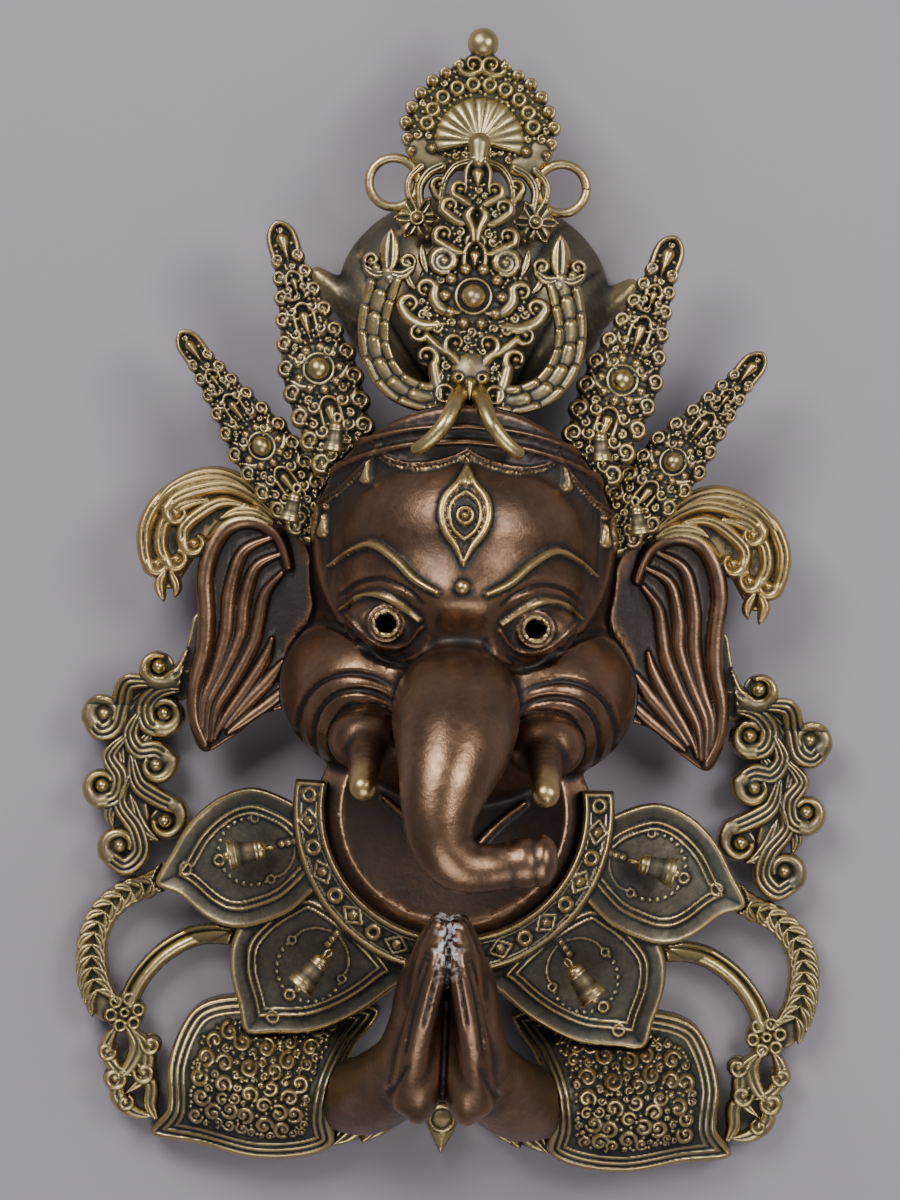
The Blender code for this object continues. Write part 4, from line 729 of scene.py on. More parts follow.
def surface_of(form: Callable[[Array, Array, Array], Array], low: Point, high: Point, step: float) -> Shell:
    """Mesh of the zero surface of a field, one vertex for each cell it passes.

    Args:
        form: The field, negative inside the form.
        low: Lowest corner of the sampled box.
        high: Highest corner of the sampled box.
        step: Spacing of the samples.

    Returns:
        A closed mesh of four-sided faces.
    """
    axes = [np.arange(a, b + step, step) for a, b in zip(low, high)]
    x, y, z = np.meshgrid(*axes, indexing="ij", sparse=True)
    values = form(x, y, z)
    for axis in range(3):
        for side in (0, -1):
            edge = [slice(None)] * 3
            edge[axis] = side
            values[tuple(edge)] = step
    inside = values < 0
    corners = [(i, j, k) for i in (0, 1) for j in (0, 1) for k in (0, 1)]
    size = np.array(values.shape) - 1
    total = sum(
        inside[i : i + size[0], j : j + size[1], k : k + size[2]].astype(np.int8) for i, j, k in corners
    )
    cells = np.argwhere((total > 0) & (total < 8))
    local = np.stack([values[tuple((cells + c).T)] for c in corners], axis=1)
    place = np.zeros((len(cells), 3))
    count = np.zeros(len(cells))
    for a, ca in enumerate(corners):
        for b, cb in enumerate(corners):
            if b <= a or sum(abs(p - q) for p, q in zip(ca, cb)) != 1:
                continue
            va, vb = local[:, a], local[:, b]
            cross = (va < 0) != (vb < 0)
            t = np.where(cross, va / np.where(cross, va - vb, 1), 0)
            spot = np.array(ca) + t[:, None] * (np.array(cb) - np.array(ca))
            place += np.where(cross[:, None], spot, 0)
            count += cross
    verts = np.array(low) + step * (cells + place / count[:, None])
    number = np.full(size, -1)
    number[tuple(cells.T)] = np.arange(len(cells))
    faces = []
    for axis in range(3):
        u, v = (axis + 1) % 3, (axis + 2) % 3
        near, far = [slice(None)] * 3, [slice(None)] * 3
        near[axis], far[axis] = slice(None, -1), slice(1, None)
        edges = np.argwhere(inside[tuple(near)] != inside[tuple(far)])
        starts = inside[tuple(edges.T)]
        ring = []
        for du, dv in ((-1, -1), (0, -1), (0, 0), (-1, 0)):
            cell = edges.copy()
            cell[:, u] += du
            cell[:, v] += dv
            ring.append(number[tuple(cell.T)])
        quads = np.stack(ring, axis=1)
        faces.append(np.where(starts[:, None], quads, quads[:, ::-1]))
    return Shell(verts, [np.concatenate(faces)])


def with_mids(block: Array, codes: Array, mids: Array, shift: int) -> list[Array]:
    """Faces that take in the middles of their sides where a neighbour was split.

    Args:
        block: Faces of one size.
        codes: Sorted codes of the split sides.
        mids: Vertex number of each code's middle.
        shift: Factor between the two vertex numbers in a code.

    Returns:
        The faces, grouped by size and by which sides were split.
    """
    size = block.shape[1]
    after = np.roll(block, -1, axis=1)
    code = np.minimum(block, after).astype(np.int64) * shift + np.maximum(block, after)
    place = np.minimum(np.searchsorted(codes, code), len(codes) - 1)
    hit = codes[place] == code
    pattern = (hit * (1 << np.arange(size))).sum(axis=1)
    out = []
    for kind in np.unique(pattern):
        rows = np.nonzero(pattern == kind)[0]
        columns = []
        for corner in range(size):
            columns.append(block[rows, corner])
            if kind >> corner & 1:
                columns.append(mids[place[rows, corner]])
        out.append(np.column_stack(columns))
    return out


def split_quads(shell: Shell, chosen: Callable[[Array], Array]) -> Shell:
    """Parts four-sided faces in four, with no gap to the faces left whole.

    Args:
        shell: The mesh, whose four-sided faces stand first.
        chosen: Tells from face centres which are split.

    Returns:
        The finer mesh.
    """
    quads = np.concatenate([block for block in shell.faces if block.shape[1] == 4])
    rest = [block for block in shell.faces if block.shape[1] != 4]
    centres = shell.verts[quads].mean(axis=1)
    split = chosen(centres)
    picked, centres = quads[split], centres[split]
    count = len(shell.verts)
    after = np.roll(picked, -1, axis=1)
    code = np.minimum(picked, after).astype(np.int64) * count + np.maximum(picked, after)
    codes, first, back = np.unique(code.ravel(), return_index=True, return_inverse=True)
    ends = np.stack([picked.ravel()[first], after.ravel()[first]], axis=1)
    mid_ids = count + np.arange(len(codes))
    mid_id = mid_ids[back].reshape(-1, 4)
    centre_id = count + len(codes) + np.arange(len(picked))
    fine = [
        np.column_stack([picked[:, k], mid_id[:, k], centre_id, mid_id[:, (k + 3) % 4]])
        for k in range(4)
    ]
    whole: list[Array] = []
    for block in [quads[~split], *rest]:
        if len(block):
            whole += with_mids(block, codes, mid_ids, count)
    verts = np.concatenate([shell.verts, shell.verts[ends].mean(axis=1), centres])
    return Shell(verts, [np.concatenate(fine), *whole])


def settle_on(form: Callable[[Array, Array, Array], Array], shell: Shell, limit: float = 0.8) -> None:
    """Moves a mesh's vertices along their normals onto the zero surface of a field."""
    nudge = 0.3
    normal = shell.normals()
    here = form(*shell.verts.T)
    slope = np.clip((form(*(shell.verts + nudge * normal).T) - here) / nudge, 0.35, 2.0)
    shell.verts = shell.verts - normal * np.clip(here / slope, -limit, limit)[:, None]
    here = form(*shell.verts.T)
    shell.verts = shell.verts - normal * np.clip(here / slope, -limit / 2, limit / 2)[:, None]


# Finishes


@dataclass(frozen=True)
class NodeWriter:
    """Adds nodes to a material's tree, and gives the socket that carries each result."""

    tree: bpy.types.NodeTree

    def add(self, kind: str) -> bpy.types.Node:
        """A new node of a kind."""
        return self.tree.nodes.new(kind)

    def feed(self, target: Socket, value: Socket | float | Sequence[float]) -> None:
        """Links a result to an input, or sets the input to a number or a colour."""
        if isinstance(value, bpy.types.NodeSocket):
            self.tree.links.new(value, target)
        else:
            target.default_value = value

    def mark(self, name: str) -> Socket:
        """A mesh mark as a number."""
        node = self.add("ShaderNodeAttribute")
        node.attribute_name = name
        return node.outputs["Fac"]

    def mapped(self, value: Socket, low: float, high: float, start: float = 0.0, end: float = 1.0) -> Socket:
        """A value mapped from the range start to end to the range low to high."""
        node = self.add("ShaderNodeMapRange")
        for name, number in (("From Min", start), ("From Max", end), ("To Min", low), ("To Max", high)):
            node.inputs[name].default_value = number
        self.feed(node.inputs["Value"], value)
        return node.outputs["Result"]

    def noise(self, scale: float, detail: float, low: float, high: float, clamp: bool = False) -> Socket:
        """Noise over the object's own coordinates, mapped to a range."""
        node = self.add("ShaderNodeTexNoise")
        place = self.add("ShaderNodeTexCoord").outputs["Object"]
        for name, value in (("Scale", scale), ("Detail", detail), ("Vector", place)):
            self.feed(node.inputs[name], value)
        mapped = self.mapped(node.outputs["Fac"], low, high, 0.25, 0.75)
        if not clamp:
            return mapped
        bound = self.add("ShaderNodeClamp")
        self.feed(bound.inputs["Value"], mapped)
        return bound.outputs["Result"]

    def ramp(self, value: Socket, stops: Iterable[tuple[float, Colour]]) -> Socket:
        """Colour from a value by stops."""
        node = self.add("ShaderNodeValToRGB")
        elements = node.color_ramp.elements
        for index, (place, colour) in enumerate(stops):
            element = elements[index] if index < 2 else elements.new(place)
            element.position = place
            element.color = (*colour, 1)
        self.feed(node.inputs["Fac"], value)
        return node.outputs["Color"]

    def combine(self, operation: str, first: Socket, second: Socket | float, clamp: bool = False) -> Socket:
        """Two values joined by an operation."""
        node = self.add("ShaderNodeMath")
        node.operation = operation
        node.use_clamp = clamp
        self.feed(node.inputs[0], first)
        self.feed(node.inputs[1], second)
        return node.outputs[0]

    def mix(self, share: Socket, first: Socket, second: Socket | Sequence[float]) -> Socket:
        """Two colours mixed by a share."""
        node = self.add("ShaderNodeMix")
        node.data_type = "RGBA"
        for index, value in ((0, share), (6, first), (7, second)):
            self.feed(node.inputs[index], value)
        return node.outputs[2]


@dataclass(frozen=True)
class AgedMetal:
    """Cast brass with patina in its recesses, rubbed bright where it stands proud."""

    name: str
    recess: Colour
    body: Colour
    rubbed: Colour
    recess_rough: float = 0.62
    rubbed_rough: float = 0.30
    cover: float = 0.0
    stain: Colour = (0.05, 0.075, 0.065)
    stain_share: float = 0.25
    grain: float = 0.12
    grain_depth: float = 0.0004
    residue: Colour = (0.62, 0.62, 0.60)
    gild: Colour | None = None

    def material(self) -> bpy.types.Material:
        """The finish as a node material that reads the marks rub, gild and chalk; the rub mark also carries
        painted shade.
        """
        material = bpy.data.materials.new(self.name)
        material.use_nodes = True
        material.node_tree.nodes.clear()
        nodes = NodeWriter(material.node_tree)
        output = nodes.add("ShaderNodeOutputMaterial")
        shader = nodes.add("ShaderNodeBsdfPrincipled")
        nodes.feed(output.inputs[0], shader.outputs[0])
        wear = self._wear(nodes)
        between = tuple(0.5 * (a + b) for a, b in zip(self.recess, self.body))
        stops = ((0.0, self.recess), (0.30, between), (0.52, self.body), (0.95, self.rubbed))
        colour = self._mottle(nodes, nodes.ramp(wear, stops))
        if self.gild:
            stops = ((0.0, self.recess), (0.4, tuple(0.6 * c for c in self.gild)), (0.9, self.gild))
            colour = nodes.mix(nodes.mark("gild"), colour, nodes.ramp(wear, stops))
        chalk = self._chalk(nodes)
        colour = nodes.mix(chalk, colour, (*self.residue, 1))
        nodes.feed(shader.inputs["Base Color"], colour)
        rough = nodes.mapped(wear, self.recess_rough, self.rubbed_rough)
        rough = nodes.combine("ADD", rough, nodes.noise(260.0, 4.0, -0.07, 0.07))
        rough = nodes.combine("ADD", rough, nodes.combine("MULTIPLY", chalk, 0.35))
        nodes.feed(shader.inputs["Roughness"], rough)
        metal = nodes.mapped(wear, 0.72, 1.0)
        metal = nodes.combine("SUBTRACT", metal, chalk)
        nodes.feed(shader.inputs["Metallic"], metal)
        nodes.feed(shader.inputs["Normal"], self._bump(nodes))
        return material

    def _wear(self, nodes: NodeWriter) -> Socket:
        """How far a place is rubbed, lowered by painted shade where the shade mark lay: the rub mark, broken
        up by two sizes of noise.
        """
        rub = nodes.mark("rub")
        coarse = nodes.noise(55.0, 3.0, -0.16, 0.16)
        fine = nodes.noise(420.0, 3.0, -0.10, 0.10)
        wear = nodes.combine("ADD", rub, coarse)
        wear = nodes.combine("ADD", wear, fine)
        return nodes.combine("ADD", wear, self.cover, clamp=True)

    def _mottle(self, nodes: NodeWriter, colour: Socket) -> Socket:
        """Stains and cloudy darker places over a colour."""
        stain = nodes.noise(38.0, 5.0, -1.1, 1.6, clamp=True)
        stain = nodes.combine("MULTIPLY", stain, self.stain_share)
        return nodes.mix(stain, colour, (*self.stain, 1))

    def _chalk(self, nodes: NodeWriter) -> Socket:
        """Share of white residue, broken up at its edge."""
        mark = nodes.mark("chalk")
        patch = nodes.noise(330.0, 5.0, -1.6, 2.2, clamp=True)
        return nodes.combine("MULTIPLY", mark, patch, clamp=True)

    def _bump(self, nodes: NodeWriter) -> Socket:
        """Casting grain, pits and fine rub marks."""
        grain = nodes.noise(900.0, 6.0, 0.0, 1.0)
        pits = nodes.noise(210.0, 3.0, -1.5, 1.9, clamp=True)
        height = nodes.combine("ADD", grain, nodes.combine("MULTIPLY", pits, 1.2))
        bump = nodes.add("ShaderNodeBump")
        for name, value in (("Strength", self.grain), ("Distance", self.grain_depth), ("Height", height)):
            nodes.feed(bump.inputs[name], value)
        return bump.outputs["Normal"]


SKIN_FINISH = AgedMetal(
    "copper_brown_skin",
    recess=(0.030, 0.026, 0.022),
    body=(0.100, 0.057, 0.034),
    rubbed=(0.240, 0.142, 0.085),
    recess_rough=0.50,
    rubbed_rough=0.32,
    cover=0.0,
    stain=(0.060, 0.045, 0.036),
    stain_share=0.42,
    grain=0.10,
    gild=(0.50, 0.36, 0.16),
)
DARK_FINISH = AgedMetal(
    "dark_brass",
    recess=(0.022, 0.020, 0.017),
    body=(0.155, 0.130, 0.088),
    rubbed=(0.50, 0.385, 0.18),
)
BRIGHT_FINISH = AgedMetal(
    "bright_brass",
    recess=(0.040, 0.035, 0.026),
    body=(0.240, 0.190, 0.100),
    rubbed=(0.54, 0.42, 0.20),
    cover=0.08,
)


@dataclass(frozen=True)
class RubLaw:
    """How relief, fine curvature and broad curvature turn into wear from 0 to 1."""

    ground: float = 0.16
    by_rise: float = 0.34
    full_rise: float = 4.0
    by_fine: float = 0.45
    fine_size: float = 0.10
    by_broad: float = 0.25
    broad_size: float = 0.5
    fine_rounds: int = 3
    rounds: int = 18
    back: float = 0.22


CARVED = RubLaw()
SMOOTH = RubLaw(
    ground=0.62, by_rise=0.12, full_rise=3.0, by_fine=0.55, fine_size=0.12, by_broad=0.5, broad_size=0.7,
)


class Workshop:
    """Turns shells into dressed pieces of the mask."""

    def __init__(self, unit: float) -> None:
        """Prepares the finishes.

        Args:
            unit: One drawing unit in metres.
        """
        self.unit = unit
        self.finishes = {
            Slot.SKIN: SKIN_FINISH.material(),
            Slot.DARK: DARK_FINISH.material(),
            Slot.BRIGHT: BRIGHT_FINISH.material(),
        }
        self.triangles = 0

    def piece(
        self,
        name: str,
        shell: Shell,
        slot: Slot,
        nodes: Sequence[str],
        rub: RubLaw,
        budget: int = 200000,
    ) -> bpy.types.Object:
        """Makes a piece, thins its hidden side and marks its wear and its painted shade.

        Args:
            name: The piece's name.
            shell: Its mesh in drawing units.
            slot: The material slot it takes its finish from.
            nodes: The nodes it stands for.
            rub: How its relief turns into wear.
            budget: Triangles to keep.

        Returns:
            The dressed piece.
        """
        mesh = self._mesh(name, shell)
        piece = bpy.data.objects.new(name, mesh)
        bpy.context.collection.objects.link(piece)
        self._thin(piece, shell, budget)
        self._mark_wear(piece.data, rub)
        piece.data.shade_smooth()
        piece.data.materials.append(self.finishes[slot])
        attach(piece, "root")
        if nodes:
            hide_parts(*nodes)
        count = len(piece.data.loop_triangles) or sum(len(p.vertices) - 2 for p in piece.data.polygons)
        self.triangles += count
        LOG.info("%s: %d triangles", name, count)
        return piece

    def _mesh(self, name: str, shell: Shell) -> bpy.types.Mesh:
        """A mesh datablock from a shell."""
        mesh = bpy.data.meshes.new(name)
        verts = (shell.verts * self.unit).astype(np.float32)
        mesh.vertices.add(len(verts))
        mesh.vertices.foreach_set("co", verts.ravel())
        loops = np.concatenate([block.ravel() for block in shell.faces]).astype(np.int32)
        sizes = np.concatenate([np.full(len(block), block.shape[1]) for block in shell.faces])
        starts = np.concatenate([[0], np.cumsum(sizes)[:-1]]).astype(np.int32)
        mesh.loops.add(len(loops))
        mesh.loops.foreach_set("vertex_index", loops)
        mesh.polygons.add(len(sizes))
        mesh.polygons.foreach_set("loop_start", starts)
        mesh.update(calc_edges=True)
        mesh.validate()
        for key, values in shell.marks.items():
            layer = mesh.attributes.new(key, "FLOAT", "POINT")
            layer.data.foreach_set("value", values.astype(np.float32))
        return mesh

    def _thin(self, piece: bpy.types.Object, shell: Shell, budget: int) -> None:
        """Collapses a piece to its budget, its hidden side first."""
        count = sum(len(block) * (block.shape[1] - 2) for block in shell.faces)
        front = shell.marks.get("front", np.ones(len(shell.verts)))
        if count <= budget:
            return
        group = piece.vertex_groups.new(name="thin")
        hidden = np.nonzero(front < 0.5)[0]
        group.add(hidden.tolist(), 1.0, "REPLACE")
        shown = np.nonzero(front >= 0.5)[0]
        group.add(shown.tolist(), SHOWN_THINNING, "REPLACE")
        fewer = piece.modifiers.new("thin", "DECIMATE")
        fewer.ratio = budget / count
        fewer.vertex_group = "thin"
        fewer.vertex_group_factor = 1.0
        bpy.context.view_layer.update()
        graph = bpy.context.evaluated_depsgraph_get()
        thinned = bpy.data.meshes.new_from_object(
            piece.evaluated_get(graph), preserve_all_data_layers=True, depsgraph=graph
        )
        piece.modifiers.clear()
        piece.data = thinned
        piece.vertex_groups.clear()

    def _mark_wear(self, mesh: bpy.types.Mesh, rub: RubLaw) -> None:
        """Works out the rub mark of a mesh from its relief and its curvature, less its shade mark, which
        holds painted shade and some darker own tones.
        """
        count = len(mesh.vertices)
        place = np.empty(count * 3, np.float32)
        mesh.vertices.foreach_get("co", place)
        place = place.reshape(-1, 3).astype(float) / self.unit
        normal = np.empty(count * 3, np.float32)
        mesh.vertex_normals.foreach_get("vector", normal)
        normal = normal.reshape(-1, 3)
        ends = np.empty(len(mesh.edges) * 2, np.int32)
        mesh.edges.foreach_get("vertices", ends)
        ends = ends.reshape(-1, 2)
        degree = np.maximum(np.bincount(ends.ravel(), minlength=count), 1)
        smooth = place.copy()
        layers = []
        for index in range(rub.rounds):
            total = np.empty_like(smooth)
            for axis in range(3):
                total[:, axis] = np.bincount(ends[:, 0], smooth[ends[:, 1], axis], count)
                total[:, axis] += np.bincount(ends[:, 1], smooth[ends[:, 0], axis], count)
            smooth = 0.5 * smooth + 0.5 * total / degree[:, None]
            if index + 1 in (rub.fine_rounds, rub.rounds):
                layers.append(((place - smooth) * normal).sum(axis=1))
        rise, shade = self._read(mesh, "rise", count), self._read(mesh, "shade", count)
        front = self._read(mesh, "front", count, 1.0)
        value = rub.ground + rub.by_rise * np.clip(rise / rub.full_rise, -1, 1.2)
        value = value + rub.by_fine * np.clip(layers[0] / rub.fine_size, -1, 1)
        value = value + rub.by_broad * np.clip(layers[-1] / rub.broad_size, -1, 1)
        # Shade mark taken off: painted shade in the neck bowl and ear hollows, own darker tone elsewhere.
        value = np.where(front > 0.5, value - shade, rub.back)
        layer = mesh.attributes.new("rub", "FLOAT", "POINT")
        layer.data.foreach_set("value", np.clip(value, 0, 1).astype(np.float32))

    @staticmethod
    def _read(mesh: bpy.types.Mesh, name: str, count: int, default: float = 0.0) -> Array:
        """A mark of a mesh, or its default where the mesh has none."""
        values = np.full(count, default, np.float32)
        if name in mesh.attributes:
            mesh.attributes[name].data.foreach_get("value", values)
        return values


# The head


def collar_surface(x: Array, y: Array) -> Array:
    """Height of the collar's front, which falls off round the neck."""
    away = (x**2 + (y - COLLAR_MIDDLE) ** 2) / COLLAR_SPREAD**2
    return COLLAR_FOOT + COLLAR_RISE * np.exp(-away)


@dataclass
class Face:
    """The head shell with its neck, trunk, tusks, brows, lids, third eye and crown band."""

    wall: float = 4.2
    sheet: float = 3.4
    gap: float = 0.4
    eye_hole: float = 4.3
    step: float = 2.0
    low: tuple[float, float, float] = (-86.0, -164.0, -6.0)
    high: tuple[float, float, float] = (86.0, 94.0, 176.0)
    budget: int = 148000
    masses: tuple = (
        ((0, 14, 0), (69, 72, 104), 14), ((0, 32, 52), (50, 38, 54), 14), ((0, 2, 58), (47, 24, 54), 12),
        ((0, -36, 46), (34, 38, 62), 12), ((0, -60, 12), (58, 36, 58), 14),
    )
    cheek: tuple = ((39, -40, 32), (39, 37, 56))
    eye_socket: tuple = ((33, -10, 119), (21, 14, 24))
    eyeball: tuple = ((32, -11, 82), (18, 12.5, 15))
    eye: tuple[float, float] = (32.0, -11.0)
    neck: tuple = ((0, -105, 0), (47, 62, 60))
    drum_centre: tuple[float, float] = (0, 24)
    drum_radii: tuple[float, float] = (66, 59.5)
    drum_top: float = 90.0
    drum_fall: float = 34.0
    chest_centre: tuple[float, float] = (0, -98)
    chest_radii: tuple[float, float] = (62, 54)
    bowl_middle: float = -93.0
    bowl_radii: tuple[float, float] = (49, 47)
    bowl_depth: float = 26.0
    trunk: tuple = (
        (0, -42, 80, 22), (-0.5, -47, 106, 27), (-1, -58, 129, 25), (-3.5, -72, 144, 20),
        (-6, -88, 152, 15.5), (-4.5, -101, 154, 13), (3.5, -109.5, 152, 11.6), (14, -110.5, 150, 10.2),
        (24, -109, 149, 9.8), (30, -108, 149, 11),
    )
    trunk_tip: tuple = ((37.5, -106.5, 149), (6.5, 10.8, 10.5))
    tusk: tuple = ((36, -56, 84, 9.0), (38, -68, 108, 7.4), (38.5, -80, 124, 5.75))
    tusk_socket: tuple = ((38, -61, 88), (17, 14, 16))
    tusk_cap: tuple[float, float, float] = (38.5, -80.0, 119.0)
    cap_reach: float = 12.0
    tusk_root: tuple[float, float, float] = (38.0, -72.0, 92.0)
    root_reach: float = 13.0
    bowl_shade: float = -80.0
    band_foot: float = 63.5

    def body(self, x: Array, y: Array, z: Array) -> Array:
        """Field of the head, neck and chest as one filled form."""
        form: Array | None = None
        for centre, radii, blend in self.masses:
            mass = ellipsoid(x, y, z, centre, radii)
            form = mass if form is None else soft_union(form, mass, blend)
        for hand in Hand:
            form = soft_union(form, twin(x, y, z, self.cheek, hand), 9)
        for hand in Hand:
            form = -soft_union(-form, twin(x, y, z, self.eye_socket, hand), 6)
            form = soft_union(form, twin(x, y, z, self.eyeball, hand), 3)
        drum = ellipsoid(x, y, 0 * z, (*self.drum_centre, 0), (*self.drum_radii, 1e3))
        lid = z - (self.drum_top - self.drum_fall * (x / self.drum_radii[0]) ** 2)
        form = soft_union(form, -soft_union(-drum, -lid, 3), 2)
        neck = ellipsoid(x, y, z, *self.neck)
        chest_edge = ellipsoid(x, y, 0 * z, (*self.chest_centre, 0), (*self.chest_radii, 1e3))
        away = (x / self.bowl_radii[0]) ** 2 + ((y - self.bowl_middle) / self.bowl_radii[1]) ** 2
        bowl = self.bowl_depth * np.clip(1 - away, 0, 1)
        chest_top = 0.75 * (z - (collar_surface(x, y) - self.sheet - self.gap - bowl))
        lower = soft_union(neck, np.maximum(chest_edge, chest_top), 12)
        return soft_union(form, np.maximum(lower, chest_top), 3)

    def clear(
        self, carving: Carving, surface: Callable[[Array, Array], Array], sheet: float, gap: float
    ) -> None:
        """Cuts a plate back so that it stays clear of the head.

        Args:
            carving: The plate's carving, whose outline is cut.
            surface: Height of its ground.
            sheet: Its thickness under that ground.
            gap: Least distance from the head.
        """
        x, y = carving.x, carving.y
        for level in (carving.height, np.full(x.shape, -sheet)):
            away = self.body(x, y, surface(x, y) + level)
            carving.edge = np.maximum(carving.edge, gap - away)

    def snout(self, x: Array, y: Array, z: Array) -> Array:
        """Field of the trunk and the tusks."""
        form = limb(x, y, z, self.trunk, 1.5)
        form = soft_union(form, ellipsoid(x, y, z, *self.trunk_tip), 1.5)
        for hand in Hand:
            socket = twin(x, y, z, self.tusk_socket, hand)
            tusk = limb(x, y, z, mirrored(self.tusk, hand.value))
            form = np.minimum(form, soft_union(socket, tusk, 2))
        return form

    def form(self, x: Array, y: Array, z: Array) -> Array:
        """Field of the hollow head."""
        body = self.body(x, y, z)
        form = soft_union(body, self.snout(x, y, z), 4)
        form = np.maximum(form, -(body + self.wall))
        for hand in Hand:
            hole = np.hypot(x - self.eye[0] * hand.value, y - self.eye[1]) - self.eye_hole
            form = np.maximum(form, -np.maximum(hole, 40 - z))
        return np.maximum(form, -z)

    def build(self, shop: Workshop) -> None:
        """Makes the head and dresses it."""
        shell = surface_of(self.form, self.low, self.high, self.step)
        shell = split_quads(shell, self._shown)
        shell = split_quads(shell, self._carved)
        settle_on(self.form, shell)
        normal = shell.normals()
        x, y, z = shell.verts.T
        body, snout = self.body(x, y, z), self.snout(x, y, z)
        outer = np.maximum(body, -1.2) > -1.1
        outer |= snout < 1.0
        skin = (np.abs(body) < 1.0) & (snout > 1.0) & (z > 26) & (normal[:, 2] > 0.05)
        relief = Carving(x, y)
        gild = Carving(x, y)
        self._carve(relief, gild)
        shell.verts = shell.verts + normal * (relief.height * skin)[:, None]
        brass = np.clip(gild.height, 0, 1) * skin
        cap_x, cap_y, cap_z = self.tusk_cap
        in_cap = np.hypot(np.abs(x) - cap_x, y - cap_y) < self.cap_reach
        tips = np.clip((z - cap_z) / 6, 0, 1) * in_cap
        # The tusk roots and the crown band are darkened for their own darker tone; both share the shade mark
        # with the bowl's painted shade.
        root_x, root_y, root_z = self.tusk_root
        in_root = (np.hypot(np.abs(x) - root_x, y - root_y) < self.root_reach) & (z > root_z)
        root = np.clip(1 - tips * 1.6, 0, 1) * in_root * (snout < 1.0)
        # Painted shade: the neck bowl inside the collar is darkened where shade falls.
        bowl = np.clip((self.bowl_shade - y) / 8, 0, 1) * (snout > 1.0)
        band = np.clip((y - self.band_foot + 0.0072 * x * x) / 2, 0, 1) * (z > 20)
        shell.marks = {
            "front": (outer & (z > 1.0)).astype(float),
            "rise": relief.height * skin,
            "shade": np.maximum(np.maximum(0.45 * root, 0.36 * bowl), 0.85 * band),
            "gild": np.maximum(brass, tips),
        }
        shop.piece("mask_face", shell, Slot.SKIN, ("face",), SMOOTH, self.budget)

    def _shown(self, places: Array) -> Array:
        """Which places lie on the part of the head that can be seen."""
        x, y, z = places.T
        outer = np.maximum(-1.3 - self.body(x, y, z), -1.3 - self.snout(x, y, z))
        near = np.minimum(np.abs(self.body(x, y, z)), np.abs(self.snout(x, y, z))) < 1.4
        return near & (outer < 1) & (z > 24) & (y > -128)

    def _carved(self, places: Array) -> Array:
        """Which places lie close to a stroke of the carving."""
        x, y, z = places.T
        relief, gild = Carving(x, y), Carving(x, y)
        self._carve(relief, gild)
        return (np.abs(relief.height) > 0.02) & self._shown(places) & (z > 50)

    def _carve(self, relief: Carving, gild: Carving) -> None:
        """Carves the face, and marks what is brass on it."""
        for hand in Hand:
            sign = hand.value
            self._brow_and_eye(relief, gild, sign)
            self._cheek(relief, sign)
            self._swags(relief, gild, sign)
        for carving, rise in ((relief, 2.6), (gild, 1.0)):
            for sign in (-1, 1):
                outer = ((0, 57), (3.4, 49.5), (8.4, 43.5), (9.9, 36.5), (8.0, 29.5), (3.2, 22.5), (0, 15))
                outer = mirrored(outer, sign)
                inner = ((0, 46), (5.4 * sign, 41.5), (6.4 * sign, 35), (4.2 * sign, 29.5), (0, 26))
                carving.ridge(spline(outer), (1.0, 1.9, 1.9, 1.9, 1.0), None, rise)
                carving.ridge(spline(inner), 1.0, rise=rise * 0.8)
            carving.ring((0, 35.8), 3.2, 0.9, rise)
            carving.bead((0, 35.8), 1.6, rise * 1.3)
            carving.bead((0, 5.5), 3.3, rise * 1.3)

    def _brow_and_eye(self, relief: Carving, gild: Carving, sign: int) -> None:
        """One brow, its lids and the eye with its iris."""
        brow = mirrored(((10.5, 3), (20, 8), (29, 16.6), (39, 22.5), (48, 19.5), (58, 12.5)), sign)
        lid = mirrored(((17, -9), (26, -2.5), (34.5, 1), (43, 0), (52, -6)), sign)
        crease = mirrored(((15, -3), (24, 4), (34, 8), (45, 6), (54, -1)), sign)
        lower = mirrored(((16.5, -12), (23, -19.5), (32, -21), (41, -16), (49, -8)), sign)
        bag = mirrored(((19, -22), (29, -26.5), (40, -22), (52, -11)), sign)
        for carving, rise in ((relief, 2.3), (gild, 1.0)):
            carving.ridge(spline(brow), (1.2, 1.9, 2.0, 1.8, 1.1, 0.5), None, rise * 1.15)
            carving.ridge(spline(lid), (0.7, 1.4, 1.5, 1.3, 0.6), None, rise)
        relief.ridge(spline(lower), 1.0, 0.8, 1.2)
        relief.groove(spline(crease), 1.4, 1.3)
        relief.groove(spline(bag), 1.6, 1.4)
        centre = (self.eye[0] * sign, self.eye[1])
        relief.ring(centre, 7.4, 0.9, 1.1)
        relief.ring(centre, self.eye_hole + 0.9, 0.9, 1.5)
        gild.ring(centre, self.eye_hole + 0.9, 1.0, 0.9)

    def _cheek(self, relief: Carving, sign: int) -> None:
        """The fold over one cheek and the arcs round the tusk's socket."""
        fold = ((10, -15), (15, -24), (26, -28.5), (38.5, -24), (49, -15.5), (61, -11.5), (70, -16))
        arcs = (
            ((25, -53), (31, -48), (38, -46.5), (47, -48), (53, -55), (55, -64), (52, -74)),
            ((26, -46), (34, -41.5), (43.5, -40), (53, -42.5), (60, -50), (62.5, -61), (60, -74)),
            ((27, -39), (37, -34), (48, -33), (59, -37), (67, -46), (70, -58), (67, -72)),
            ((31, -55), (38, -52.5), (45, -55), (48.5, -61), (47, -68)),
        )
        relief.groove(spline(mirrored(fold, sign)), 2.0, 1.9)
        for arc in arcs:
            relief.groove(spline(mirrored(arc, sign)), 1.7, 2.0)
        relief.ridge(spline(mirrored(((8, -110), (19, -98), (31, -88)), sign)), 2.4, 1.4, 3.0)

